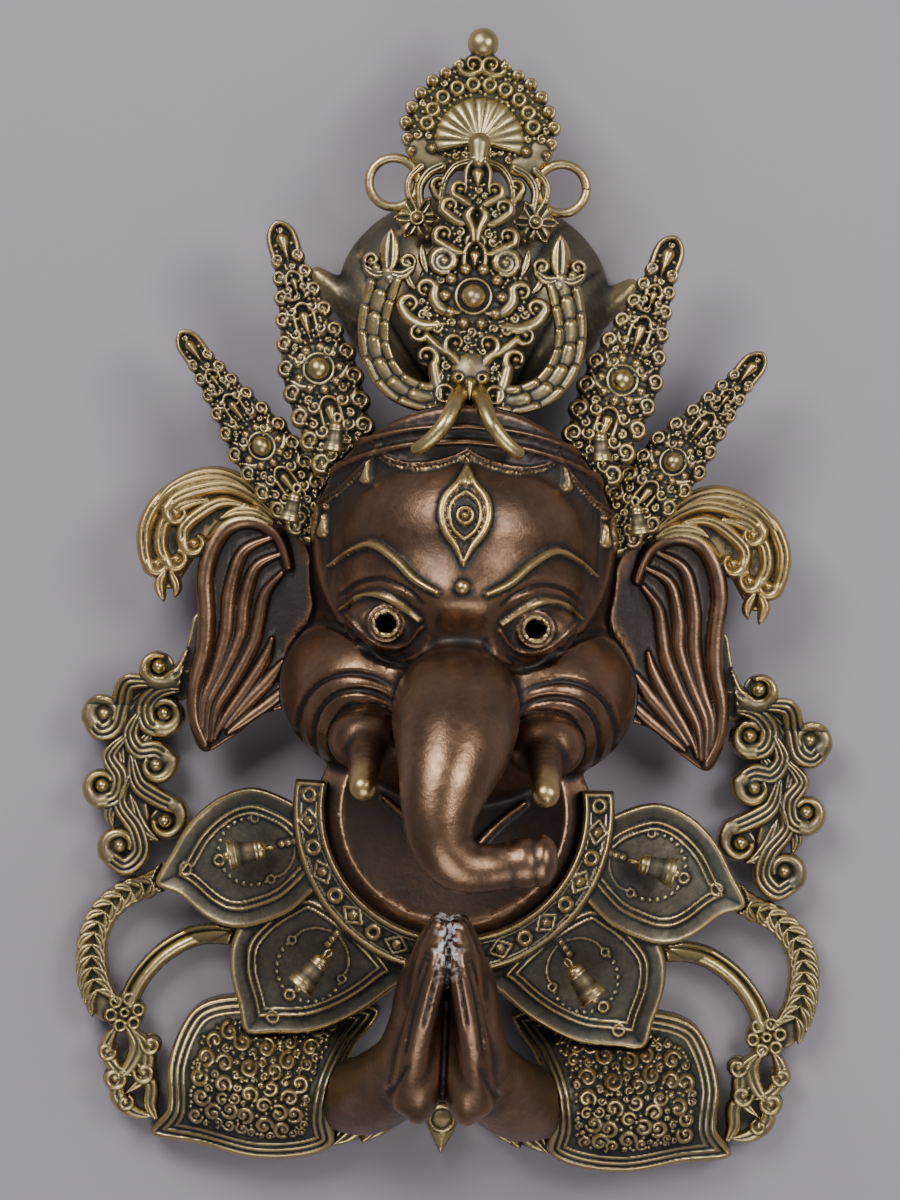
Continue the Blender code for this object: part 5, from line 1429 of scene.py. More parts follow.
    def _swags(self, relief: Carving, gild: Carving, sign: int) -> None:
        """The festoons, drops and bead rows under the crown band."""
        foot = mirrored(((70, 36), (66.5, 44), (60, 52), (46, 60), (24, 66), (0, 68)), sign)
        relief.ridge(spline(foot), 1.6, rise=2.4)
        relief.ridge(spline([(p[0], p[1] + 6.5) for p in foot]), 1.3, rise=1.8)
        swags = (
            ((0, 64.5), (10, 59.5), (23.5, 57.5), (35, 60.5), (39, 65)),
            ((39, 65), (44, 57.5), (54, 47), (61, 42), (64, 40)),
            ((64, 40), (65, 32), (67, 24), (69.5, 18)),
        )
        for swag in swags:
            path = spline(mirrored(swag, sign))
            relief.ridge(path, 0.8, rise=1.5)
            relief.beads(path - np.array((0, 2.2)), 0.75, 1.4)
            gild.beads(path - np.array((0, 2.2)), 0.9, 0.75)
        drops = (((0, 57), (0, 50)), ((42, 58), (43.5, 50.5)), ((60.5, 35), (61.5, 27)))
        for top, low in drops:
            foot_place = (low[0] * sign, low[1])
            top_place = (top[0] * sign, top[1])
            relief.drop(foot_place, top_place, 2.3, 2.6)
            gild.drop(foot_place, top_place, 2.4, 1.0)
            relief.bead((top[0] * sign, top[1] + 3), 1.4, 2.2)


# The crown


@dataclass
class CrownLeaf:
    """A side leaf of the crown, with stemmed scrolls along its edges and a boss among beads."""

    hand: Hand
    rank: str
    base: tuple[float, float, float]
    tip: tuple[float, float, float]
    girth: float
    face: Face
    sheet: float = 3.4
    step: float = 0.5
    budget: int = 38000
    gap: float = 0.8
    widths: tuple = (
        (-8, 9), (8, 13), (26, 15), (42, 15), (58, 11.5), (72, 8.6), (86, 6.2), (94, 5.2), (101, 3.2),
    )

    def half_width(self, v: float) -> float:
        """Half width at a height, in hundredths of the leaf's length."""
        heights, halves = zip(*self.widths)
        return float(np.interp(v, heights, halves))

    def carve(self, grid: Grid) -> Carving:
        """The leaf's outline and relief in its own hundredths."""
        carving = grid.carving()
        right = [(w, h) for h, w in self.widths]
        carving.area(spline(both_halves(right), closed=True), 0.8, 2.0)
        for sign in (-1, 1):
            for index, v in enumerate((1, 11.5, 22, 32.5, 43, 53, 62.5, 71.5, 79.5, 86.5)):
                size = 1 - 0.0042 * v
                reach = self.half_width(v) - 0.4
                spot, radius = reach - 1.6, 5.0 * size
                stem = ((0.25 * reach, v - 9.5), (0.62 * reach, v - 8.2), (spot, v + 0.3 - radius))
                carving.blade(mirrored(stem, sign), 2.2 * size, 3.0, 0.6, 0)
                lean = -95 if sign > 0 else -85
                carving.curl((spot * sign, v + 1.2), radius, lean, sign, 3.4, 0.7, 1.15)
                if index in (0, 1, 2, 4, 5, 6, 7):
                    inner = max(reach * 0.42, 3.2)
                    lean = 20 if sign > 0 else 160
                    carving.curl((inner * sign, v + 3.2), 3.7 * size, lean, -sign, 3.0, 1.3, grow=False)
        self._spine(carving)
        carving.fill((2.5, 1.8, 1.1), 1.3, 5)
        round_edge(carving)
        return carving

    def _spine(self, carving: Carving) -> None:
        """The boss among beads, the arches with their drops, and the hairpin loop."""
        boss = (0.0, 40.0)
        carving.bead(boss, 10.4, 1.4, 1.4)
        carving.circlet(boss, 9.0, 2.0, 9, 2.2, 2.2)
        carving.ring(boss, 6.2, 0.7, 1.4, 2.2)
        carving.bead(boss, 4.8, 5.0, 2.2)
        carving.arch(11.0, 28.0, 3.8, 2.6, 1.0)
        carving.arch(53.0, 68.0, 3.9, 2.8, 1.2)
        carving.arch(72.0, 82.0, 3.0, 2.6, 1.2, 0.8)
        carving.arch(86.0, 103.0, 5.0, 3.2, 0.6, 1.3)

    def place(self, points: Array) -> Array:
        """Leaf points in the mask's own units."""
        base = np.array(self.base) * (self.hand.value, 1, 1)
        along = np.array(self.tip) * (self.hand.value, 1, 1) - base
        scale = np.linalg.norm(along) / 100.0
        along = along / np.linalg.norm(along)
        across = np.cross(along, (0, 0, 1))
        across = across / np.linalg.norm(across)
        out = np.cross(across, along)
        u, v, w = points.T
        flat = np.outer(u * scale * self.girth, across) + np.outer(v * scale, along)
        return base + flat + np.outer(w - 0.012 * u * u, out)

    def build(self, shop: Workshop) -> None:
        """Makes the leaf, cut clear of the crown band."""
        grid = Grid((-24, -12), (24, 107), self.step)
        carving = self.carve(grid)
        for level in (carving.height, np.full(carving.x.shape, -self.sheet)):
            spots = np.column_stack([carving.x.ravel(), carving.y.ravel(), level.ravel()])
            x, y, z = self.place(spots).T
            away = self.face.body(x, y, z).reshape(carving.x.shape)
            carving.edge = np.maximum(carving.edge, self.gap - away)
        shell = grid.plate(carving, lambda u, v: 0 * u, self.sheet)
        shell.verts = self.place(shell.verts)
        name = f"crown_leaf_{self.rank}_{self.hand.label}"
        shop.piece(f"leaf_{self.rank}_{self.hand.label}", shell, Slot.DARK, (name,), CARVED, self.budget)


@dataclass
class CentreLeaf:
    """The middle leaf of the crown with its feathered crescents and brass horns."""

    face: Face
    sheet: float = 3.4
    step: float = 0.5
    budget: int = 84000
    gap: float = 0.8
    tip: float = 194.0
    tip_level: float = 62.0
    lean: float = 0.13
    sag: float = 0.004
    half: tuple = (
        (0, 192), (4, 187), (6.5, 179), (12, 172), (14, 160), (20, 151), (24, 139), (29, 128), (26, 120),
        (17, 114), (13.5, 104), (14.5, 94), (14, 80),
    )
    crescent: tuple = ((10, 87), (22, 87.5), (33, 93), (40.5, 104), (42.7, 117), (40.8, 130), (37.5, 141))
    boss: tuple[float, float] = (0.0, 131.5)
    horn: tuple = (
        (4.0, 90, 76), (6.0, 84, 93), (9.5, 76, 100), (14, 70, 100), (19, 65.5, 98), (23.5, 63, 94.5),
    )

    def surface(self, x: Array, y: Array) -> Array:
        """Height of the leaf's ground, which leans back to its tip and sides."""
        return self.tip_level + self.lean * (self.tip - y) - self.sag * x * x

    def build(self, shop: Workshop) -> None:
        """Makes the leaf, the polished knob at its tip and its horns."""
        grid = Grid((-56, 74), (56, 206), self.step)
        carving = grid.carving()
        carving.area(spline(both_halves(self.half), closed=True), 0.8, 2.0)
        for sign in (-1, 1):
            self._crescent(carving, sign)
            self._scrolls(carving, sign)
        self._spine(carving)
        carving.fill((2.6, 1.8, 1.1), 1.3, 3)
        carving.ridge(np.array(((0.0, 191.0), (0.0, 198.6))), 3.9, 4.9, 5.0, 0.4, grow=True)
        carving.ridge(np.array(((-3.0, 191.8), (3.0, 191.8))), 1.3, rise=4.0, lift=1.0)
        round_edge(carving)
        self.face.clear(carving, self.surface, self.sheet, self.gap)
        shell = grid.plate(carving, self.surface, self.sheet)
        for hand in Hand:
            stations = spline(mirrored(self.horn, hand.value), step=0.8)
            radii = np.linspace(4.2, 2.9, len(stations))
            radii[-4:] *= np.array((0.95, 0.85, 0.65, 0.3))
            shell = shell.joined(tube(stations, radii, 24, rise=3.0))
        shop.piece("leaf_centre", shell, Slot.DARK, ("crown_leaf_centre",), CARVED, self.budget)

    def _crescent(self, carving: Carving, sign: int) -> None:
        """One crescent: three rows of long feathers that end in a lily."""
        path = spline(mirrored(self.crescent, sign), step=1.0)
        ahead = np.gradient(path, axis=0)
        side = np.column_stack([-ahead[:, 1], ahead[:, 0]])
        side = side / np.hypot(*side.T)[:, None]
        carving.ridge(path, 6.4, 7.4, 0.8, grow=True)
        count = len(path)
        for row, (shift, width) in enumerate(((-5.3, 2.3), (-0.2, 3.1), (5.1, 2.3))):
            line = path + side * shift * np.linspace(0.85, 1.05, count)[:, None] * sign
            for start in range(count - 8 - 3 * row, -6, -10):
                piece = line[max(start, 0) : start + 11]
                if len(piece) > 5:
                    shape = tuple(width * share for share in (0.8, 0.9, 1.0, 1.0, 0.9))
                    carving.ridge(piece, shape, None, 2.2, 0.4, tilt=2.3)
        for points, width in (
            (((37, 140), (37, 148), (36.8, 160)), 4.6), (((37, 141), (43, 140), (48.5, 144)), 2.6),
            (((37, 141), (31, 140), (25.5, 144)), 2.6),
        ):
            carving.blade(mirrored(points, sign), width, 3.2, 1.4, 1)
        carving.curl((29 * sign, 145.6), 4.4, 200 if sign > 0 else -20, -sign, 3.2, 1.6)
        carving.curl((45 * sign, 146.2), 4.0, -20 if sign > 0 else 200, sign, 3.2, 1.6)
        carving.bead((37 * sign, 138.5), 3.0, 2.6, 2.0, grow=True)

    def _scrolls(self, carving: Carving, sign: int) -> None:
        """The scrolls on one side of the leaf, from its tip down."""
        for points, ball, turn, width in (
            (((1.5, 170), (5.0, 172.5), (10.2, 175.5)), (7.4, 178.0), 1, 1.9),
            (((3.2, 163), (8.5, 164), (14.6, 168.6)), (11.6, 170.6), 1, 2.0),
            (((4.0, 150), (9.0, 151), (16.8, 155.2)), (13.8, 158.0), 1, 2.0),
            (((6.0, 124), (13.0, 125), (17.0, 130.0), (16.8, 135)), (20.8, 134.0), -1, 2.4),
            (((12.0, 119), (20.5, 118), (27.5, 121), (31.4, 126.5)), (27.4, 127.2), 1, 2.5),
            (((8.5, 105), (14.5, 109), (19.5, 113.5)), (23.2, 115.5), 1, 2.0),
            (((12.0, 86), (14.5, 94), (16.0, 101)), (19.4, 104.6), -1, 2.4),
            (((2.2, 98), (6.4, 103.5), (10.6, 107.4)), (7.0, 110.6), 1, 2.0),
        ):
            carving.lock(
                mirrored(points, sign), (ball[0] * sign, ball[1]), turn * sign, 1.2 * width, 1.6, 3.4, 0.9,
                0, 0.7,
            )
        carving.curl((13.4 * sign, 146.6), 7.4, 250 if sign > 0 else -70, sign, 3.0, 1.2, 1.5)
        carving.curl((15.3 * sign, 117.4), 3.6, 60 if sign > 0 else 120, sign, 2.8, 1.2)
        carving.curl((8.4 * sign, 167.5), 2.4, 0, sign, 2.2, 0.9)
        carving.blade(mirrored(((20.5, 141), (22.5, 147), (23.2, 153.5)), sign), 2.0, 2.8, 0.8)
        carving.blade(mirrored(((25.5, 134), (28, 137), (29.5, 141)), sign), 1.9, 2.6, 0.8)
        carving.blade(mirrored(((12, 99), (14.8, 92), (14.4, 84)), sign), 3.0, 2.8, 1.0, 2)

    def _spine(self, carving: Carving) -> None:
        """The tip arch, the heart, the boss among beads and the beaked cap, down the middle."""
        carving.arch(178.5, 192.0, 4.9, 3.4, 0.8, 1.1)
        for sign in (-1, 1):
            heart = ((0.9 * sign, 155.5), (1.6 * sign, 161), (3.9 * sign, 166.5), (1.9 * sign, 169.8))
            carving.ridge(spline(heart), (1.3, 1.9, 2.7, 1.8), None, 4.6, 1.4)
            carving.blade(((0.8 * sign, 159), (3.4 * sign, 156.6), (4.3 * sign, 153.8)), 1.5, 3.4, 1.2, 0)
        carving.arch(143.6, 155.6, 4.3, 3.0, 1.2, 1.2)
        carving.bead(self.boss, 11.8, 1.4, 1.2)
        carving.circlet(self.boss, 12.3, 2.6, 10, 3.2, 2.2)
        carving.ring(self.boss, 7.6, 0.8, 1.8, 2.2)
        carving.bead(self.boss, 5.4, 6.4, 2.2)
        carving.bead((0, 107.2), 1.4, 2.4, 1.2)
        carving.bead((0, 98.6), 8.4, 4.0, 1.6)
        for sign in (-1, 1):
            carving.bead((5.0 * sign, 96.0), 3.4, 5.2, 1.6)
            carving.pit((5.0 * sign, 95.8), 1.3, 2.2)
            carving.ring((10.8 * sign, 88.8), 3.6, 1.2, 3.4, 1.2)
        carving.drop((0, 93.6), (0, 84.5), 3.0, 6.4, 2.4)


def tube(path: Array, radii: Array, sides: int, rise: float = 0.0) -> Shell:
    """A closed round bar along a path.

    Args:
        path: The bar's middle line, in drawing units.
        radii: Its radius at each point.
        sides: Number of sides.
        rise: Value of its rise mark, for the wear.

    Returns:
        The bar's mesh.
    """
    across: Vector | None = None
    verts: list[tuple[float, ...]] = []
    last = len(path) - 1
    for index, centre in enumerate(path[:, :3]):
        ahead = Vector(path[min(index + 1, last), :3] - path[max(index - 1, 0), :3]).normalized()
        across = ahead.orthogonal() if across is None else across - ahead * across.dot(ahead)
        across.normalize()
        up = ahead.cross(across)
        for turn in range(sides):
            angle = math.tau * turn / sides
            spoke = math.cos(angle) * across + math.sin(angle) * up
            verts.append(tuple(Vector(centre) + float(radii[index]) * spoke))
    verts.append(tuple(path[0, :3]))
    verts.append(tuple(path[-1, :3]))
    turns = np.arange(sides)
    after = (turns + 1) % sides
    rows = np.arange(last)[:, None] * sides
    quads = np.stack([rows + turns, rows + after, rows + after + sides, rows + turns + sides], axis=2)
    count = len(verts)
    foot = np.column_stack([after, turns, np.full(sides, count - 2)])
    head = np.column_stack([turns + last * sides, after + last * sides, np.full(sides, count - 1)])
    marks = {"front": np.ones(count), "rise": np.full(count, rise)}
    return Shell(np.array(verts), [quads.reshape(-1, 4), np.concatenate([foot, head])], marks)


@dataclass
class Topknot:
    """The hair knot behind the crown leaves."""

    face: Face
    wall: float = 3.8
    step: float = 1.9
    budget: int = 36000
    centre: tuple[float, float, float] = (0, 136, 0)
    radii: tuple[float, float, float] = (61, 47, 36)
    leaf: tuple = ((50, 128, 10, 9.0), (62, 136, 9, 6.5), (70, 143, 8, 3.4))
    locks: int = 28

    def form(self, x: Array, y: Array, z: Array) -> Array:
        """Field of the knot: a ribbed dome with a leaf at each side, hollow behind."""
        turn = np.arctan2(x, y - self.centre[1] + 70)
        sweep = np.abs(np.cos(0.5 * self.locks * turn + 0.05 * (z - 20)))
        plain = ellipsoid(x, y, z, self.centre, self.radii)
        form = plain - (1.6 * sweep - 0.8) * np.clip((z - 6) / 8, 0, 1)
        for hand in Hand:
            form = soft_union(form, limb(x, y, z, mirrored(self.leaf, hand.value), 1.2), 4)
        form = np.maximum(form, -(plain + self.wall))
        form = np.maximum(form, 1.0 - self.face.body(x, y, z))
        return np.maximum(form, -z)

    def build(self, shop: Workshop) -> None:
        """Makes the knot."""
        shell = surface_of(self.form, (-76, 78, -5), (76, 190, 52), self.step)
        shell = split_quads(shell, lambda places: places[:, 2] > 4)
        settle_on(self.form, shell)
        x, y, z = shell.verts.T
        outer = ellipsoid(x, y, z, self.centre, self.radii) > -2.0
        shell.marks = {"front": (outer & (z > 1)).astype(float)}
        shop.piece("topknot_hair", shell, Slot.DARK, ("topknot",), DULL, self.budget)


DULL = RubLaw(ground=0.38, by_fine=0.35, fine_size=0.12, by_broad=0.35, broad_size=0.6)


@dataclass
class Finial:
    """The fan on the hair knot, with scrolled feet, wire rings and flowers."""

    sheet: float = 3.4
    step: float = 0.45
    budget: int = 76000
    half: tuple = (
        (0, 246), (4.5, 241), (11, 236), (18, 230), (24.5, 223.5), (29.0, 216), (31, 207.5), (30, 199.5),
        (26, 192), (12, 189),
    )
    root: tuple[float, float] = (0.0, 201.0)
    flutes: int = 13
    fan_radius: float = 20.0
    level: float = 31.0
    middle: float = 200.0
    lean: float = 0.02
    hoop: tuple[float, float] = (37.0, 182.5)
    hoop_radius: float = 10.8
    wire: float = 2.1

    def surface(self, x: Array, y: Array) -> Array:
        """Height of the fan's ground."""
        return self.level + 2.2 * self.sheet + self.lean * (self.middle - y)

    def build(self, shop: Workshop) -> None:
        """Makes the finial."""
        grid = Grid((-56, 154), (56, 256), self.step)
        carving = grid.carving()
        carving.area(spline(both_halves(self.half), closed=True), 0.8, 2.0)
        for sign in (-1, 1):
            self._arch(carving, sign)
            self._foot(carving, sign)
        self._fan(carving)
        carving.bead((0, 245.2), 6.8, 6.4, 0.6, grow=True)
        carving.fill((2.0, 1.2), 1.3, 9)
        round_edge(carving, 0.8)
        shell = grid.plate(carving, self.surface, self.sheet)
        for hand in Hand:
            turns = np.linspace(0, math.tau, 97)
            path = np.column_stack(
                [
                    self.hoop[0] * hand.value + self.hoop_radius * np.cos(turns),
                    self.hoop[1] + self.hoop_radius * np.sin(turns),
                    np.full(len(turns), float(self.surface(*self.hoop)) - 1.2),
                ]
            )
            shell = shell.joined(tube(path, np.full(len(path), self.wire), 20, rise=2.0))
        shop.piece("finial_fan", shell, Slot.BRIGHT, ("finial",), FINIAL_RUB, self.budget)

    def _fan(self, carving: Carving) -> None:
        """The domed shell of flutes in the middle."""
        x, y = carving.x - self.root[0], carving.y - self.root[1]
        away, turn = np.hypot(x, y), np.degrees(np.arctan2(x, y))
        inside = (away < self.fan_radius) & (np.abs(turn) < 104)
        swell = 5.2 * np.sqrt(np.clip(1 - (away / 20.2) ** 2, 0, 1)) + 1.4
        flute = np.abs(
            np.cos(np.radians(turn) * 180 / (208 / self.flutes) + 0.5 * math.pi * (1 + self.flutes % 2))
        )
        depth = 1.7 * np.clip(away / 12.0, 0.15, 1)
        carving.height = np.where(
            inside, np.maximum(carving.height, swell - depth * (1 - flute**0.3)), carving.height,
        )

    def _arch(self, carving: Carving, sign: int) -> None:
        """One side of the arch of ringed beads, the row of balls and the pair of scrolls."""
        for x, y in ((3.7, 226.6), (10.6, 224.8), (16.8, 220.6), (21.0, 215.0), (23.4, 208.8)):
            carving.ring((x * sign, y), 2.5, 1.25, 3.2, 1.0)
            carving.bead((x * sign, y), 1.3, 0.8, 1.0)
        for x, y, radius in (
            (10.2, 234.6, 2.9), (15.8, 231.0, 3.3), (21.4, 227.4, 3.5), (26.3, 221.8, 3.6),
            (29.8, 215.5, 3.7), (32.2, 208.8, 3.7), (31.4, 201.8, 3.3), (29.2, 196.4, 2.4),
        ):
            heading = math.degrees(math.atan2(y - 205, x))
            carving.curl((x * sign, y), radius, heading - 80 if sign > 0 else 260 - heading, sign, 3.4, 0.8)
            carving.bead((x * sign, y), radius * 0.62, 4.4, 0.8)
        carving.lock(
            mirrored(((9.6, 238.0), (9.8, 232.6), (5.2, 230.8), (0.9, 232.6)), sign),
            (3.9 * sign, 235.3), -sign, 1.7, 1.5, 3.2, 1.0, 0, 0.85,
        )
        carving.ridge(
            spline(mirrored(((27.5, 198.5), (23.5, 193.5), (17.5, 191.0)), sign)), 5.2, 4.2, 1.8, 1.0, True,
        )
        carving.bead((20.6 * sign, 197.8), 2.3, 3.4, 2.2)
        carving.curl((27.4 * sign, 203.6), 2.6, 90, sign, 2.6, 1.2)

    def _foot(self, carving: Carving, sign: int) -> None:
        """One scrolled foot with the flower under it."""
        for points, width in (
            (((3, 193), (10, 190.5), (14.5, 184), (16, 174)), 2.0),
            (((16, 190.5), (22, 187), (25.5, 180), (24, 170)), 2.4),
            (((25, 190), (30, 184.5), (30.4, 177.5), (27, 171)), 1.9),
        ):
            carving.ridge(spline(mirrored(points, sign)), width, width * 0.7, 2.8, 0.6, grow=True, veins=1)
        carving.lock(
            mirrored(((12, 174.5), (17, 176.5), (20, 181)), sign), (16.6 * sign, 182), sign, 1.9, 1.4, 2.4,
            0.6, 0,
        )
        carving.flower((26.0 * sign, 167.0), 9.4, 6, 2.8)


FINIAL_RUB = RubLaw(ground=0.16, by_rise=0.36, full_rise=4.2, by_fine=0.45, fine_size=0.10)


@dataclass
class Ear:
    """An ear with wavy flutes and a crest of long leaves."""

    hand: Hand
    face: Face
    sheet: float = 3.4
    step: float = 0.5
    budget: int = 46000
    gap: float = 1.2
    level: float = 27.0
    lean: float = 0.05
    rim: float = 118.0
    middle: float = 97.0
    bowl: float = 0.0022
    outline: tuple = (
        (70, 24), (83, 30), (95, 35), (106, 32), (114, 22), (117.5, 8), (116.5, -8), (117, -24), (120, -42),
        (118.5, -58), (112, -71), (100, -65), (86, -54), (70, -46), (60, -20),
    )
    crest: tuple = (
        (80, 30), (86, 38), (95, 45), (104, 50.5), (115, 51.5), (126, 48), (134, 40), (138, 30), (138, 16),
        (134, 6), (130, 0), (125, 4), (119, 14), (113, 24), (105, 31), (94, 33),
    )

    def surface(self, x: Array, y: Array) -> Array:
        """Height of the ear's ground, a shallow bowl."""
        away = np.abs(x)
        return self.level + self.lean * (self.rim - away) + self.bowl * (away - self.middle) ** 2

    def build(self, shop: Workshop) -> None:
        """Makes the ear and its crest."""
        sign = self.hand.value
        grid = Grid.on_half(sign, (56.0, -78), (148.0, 60), self.step)
        carving = grid.carving()
        carving.area(spline(mirrored(self.outline, sign), closed=True))
        self._flutes(carving, sign)
        crest = spline(mirrored(self.crest, sign), closed=True)
        carving.area(crest, 1.4, 2.5)
        self._leaves(carving, sign)
        round_edge(carving)
        self.face.clear(carving, self.surface, self.sheet, self.gap)
        shell = grid.plate(carving, self.surface, self.sheet)
        brass = area_distance(shell.verts[:, 0], shell.verts[:, 1], crest) < 1.0
        x, y = shell.verts[:, 0] * sign, shell.verts[:, 1]
        brass |= (x > 121.5) | ((y > 37) & (x > 88)) | ((x > 117.5) & (y > 14))
        shell.marks["gild"] = brass.astype(float)
        # Painted shade: the hollow at the ear's root, behind the cheek, is darkened where shade falls.
        shell.marks["shade"] = np.clip(1.5 - np.hypot((x - 77) / 9, (y + 3) / 16), 0, 0.6)
        name = f"ear_{self.hand.label}"
        shop.piece(f"fluted_{name}", shell, Slot.SKIN, (name,), EAR_RUB, self.budget)

    def _flutes(self, carving: Carving, sign: int) -> None:
        """The broad smooth rim and the wavy flutes that run from the hollow to the tip."""
        for points, width, rise in (
            (
                (
                    (85.6, 24.4), (97.5, 17.5), (102.5, 0), (103.5, -18.7), (107.5, -36), (112.3, -50),
                    (112, -67),
                ),
                3.4, 3.4,
            ),
            (((81, 17.3), (91.5, 11), (96, -5), (97, -19), (103, -35), (109.5, -50), (110, -67)), 3.3, 3.6),
            (
                ((79.6, 9.2), (86.6, 0), (89.2, -13), (91.5, -23), (98.5, -38), (106, -52), (108, -66)),
                3.2, 3.4,
            ),
            (((83, -20), (86, -29), (94, -43), (103, -57), (106.5, -65)), 3.0, 3.0),
            (((78, -30), (84, -38.5), (92.5, -48), (102, -60)), 3.2, 2.8),
            (((74, -40), (82, -47.5), (92, -55.5), (101, -62.5)), 2.8, 2.4),
        ):
            shape = tuple(width * share for share in (0.5, 0.95, 1.0, 1.0, 0.95, 0.75, 0.4))
            carving.ridge(spline(mirrored(points, sign)), shape, None, rise, 0.2)
        rim = ((77, 12), (82, 25), (93, 31.5), (104, 29), (111, 19), (113.8, 5), (112.5, -12), (113.0, -27))
        rim = (*rim, (116.4, -43), (115.6, -57), (110.6, -68))
        carving.ridge(
            spline(mirrored(rim, sign)), (2.6, 3.4, 4.0, 4.2, 4.2, 4.0, 3.8, 3.2, 2.2), None, 4.2, 0.4,
        )

    def _leaves(self, carving: Carving, sign: int) -> None:
        """The crest's long leaves, their ball curls and the drooping trefoil."""
        for order, (points, ball, turn, width) in enumerate(
            (
                (
                    ((112, 44), (124, 46.5), (134.5, 40), (140.6, 28), (140.8, 17), (138.4, 9)),
                    (134.6, 11.4), -1, 3.4,
                ),
                (((114, 40), (124.5, 37), (132, 29.5), (133.6, 19), (129.8, 10.5)), (126.4, 13.6), -1, 3.2),
                (((96, 38), (107, 39.5), (117, 34), (124, 26.5), (123.4, 18.8)), (119.0, 20.8), -1, 3.3),
                (
                    ((84, 34), (94, 42), (106, 46.5), (118, 44.5), (127, 40.5), (131.4, 35.4)),
                    (127.2, 33.8), -1, 3.4,
                ),
            )
        ):
            carving.lock(
                mirrored(points, sign), (ball[0] * sign, ball[1]), turn * sign, width, 2.6, 3.8,
                0.9 + 0.3 * order, 1, 0.6,
            )
        for points, width in (
            (((82, 33), (92, 43.5), (104, 50.5), (116, 51.2), (129, 45.5), (137.5, 36)), 3.6),
            (((84, 31), (92, 35.5), (101, 35.5), (108, 32.0)), 2.8),
            (((131, 8), (133.6, 2), (131.4, -5.5)), 2.6), (((129, 8), (126, 2), (126.4, -3.5)), 2.3),
        ):
            carving.blade(mirrored(points, sign), width, 3.2, 2.2, 1)


EAR_RUB = RubLaw(
    ground=0.44, by_rise=0.22, full_rise=4.2, by_fine=0.5, fine_size=0.14, by_broad=0.45, broad_size=0.7,
)


@dataclass
class Ribbon:
    """A ribbon of grooved locks, each wound round a ball, that hangs from behind an ear."""

    hand: Hand
    ear: Ear
    sheet: float = 3.4
    step: float = 0.5
    budget: int = 38000
    root: tuple = ((114, -14), (116, -26), (118, -36), (124, -44))
    spine: tuple = ((122, -40), (137, -44), (146, -57), (146, -72), (144, -88), (140, -102), (143, -116))
    cover: float = 3.0
    level: float = 13.0

    def surface(self, x: Array, y: Array) -> Array:
        """Height of the ribbon's ground, up against the ear at its root."""
        under_ear = self.ear.surface(x, y) - self.sheet - 0.4
        rise = np.clip((y + 52) / 16, 0, 1)
        return self.level + rise * (under_ear - 0.8 - self.level)

    def build(self, shop: Workshop) -> None:
        """Makes the ribbon."""
        sign = self.hand.value
        grid = Grid.on_half(sign, (104.0, -130), (168.0, -6), self.step)
        carving = grid.carving()
        carving.ridge(spline(mirrored(self.root, sign)), 5.0, 5.5, 1.0, grow=True)
        carving.ridge(spline(mirrored(self.spine, sign)), 7.5, 4.0, 0.8, grow=True)
        self._locks(carving, sign)
        covered = area_distance(carving.x, carving.y, spline(mirrored(self.ear.outline, sign), closed=True))
        carving.height = np.where(covered < self.cover, np.minimum(carving.height, 0.4), carving.height)
        round_edge(carving)
        shell = grid.plate(carving, self.surface, self.sheet)
        name = f"ribbon_{self.hand.label}"
        shop.piece(f"curled_{name}", shell, Slot.DARK, (name,), RIBBON_RUB, self.budget)

    def _locks(self, carving: Carving, sign: int) -> None:
        """The grooved locks with their balls, from the root down, and the strands between them."""
        for points, width in (
            (((139, -45), (147, -57), (150, -70), (147, -82)), 3.6),
            (((134, -62), (141, -72), (142, -84), (137, -94)), 3.6),
            (((144, -92), (141, -102), (136, -109), (130, -112)), 3.2),
            (((150, -92), (153, -101), (151, -107)), 2.8),
        ):
            carving.blade(mirrored(points, sign), width, 2.6, 0.4, 2)
        for order, (points, ball, turn, width) in enumerate(
            (
                (
                    ((145, -84), (148.5, -96), (141, -107), (138.6, -117.5), (145.5, -124), (154, -118.5)),
                    (148, -114.8), 1, 3.9,
                ),
                (((144, -75), (141, -86.5), (132.5, -92.5), (122.8, -96.6)), (128.2, -103.0), 1, 3.9),
                (((147, -66), (154, -75), (149, -84), (150.6, -93), (158, -95.4)), (156.6, -88.2), 1, 3.7),
                (((141, -55), (145, -65), (141, -72), (133, -71.6), (126.4, -76)), (133.0, -78.2), 1, 3.9),
                (
                    ((123, -44), (132.5, -45.4), (138.8, -52.5), (137, -60.6), (129.6, -62.4)),
                    (130.2, -55.2), -1, 3.9,
                ),
                (
                    ((132, -42), (146, -42), (150, -52), (152.6, -61.8), (158.8, -64.2), (163.4, -58)),
                    (157.0, -56.2), 1, 4.1,
                ),
                (((117.5, -24), (121.5, -36), (129.0, -41.4)), (132.6, -34.2), 1, 4.1),
            )
        ):
            place = (ball[0] * sign, ball[1])
            carving.lock(
                mirrored(points, sign), place, turn * sign, 1.15 * width, 3.4, 4.0, 0.5 + 0.3 * order, 2,
                0.62,
            )


RIBBON_RUB = RubLaw(ground=0.14, by_rise=0.30, full_rise=5.0, by_fine=0.5, fine_size=0.12)


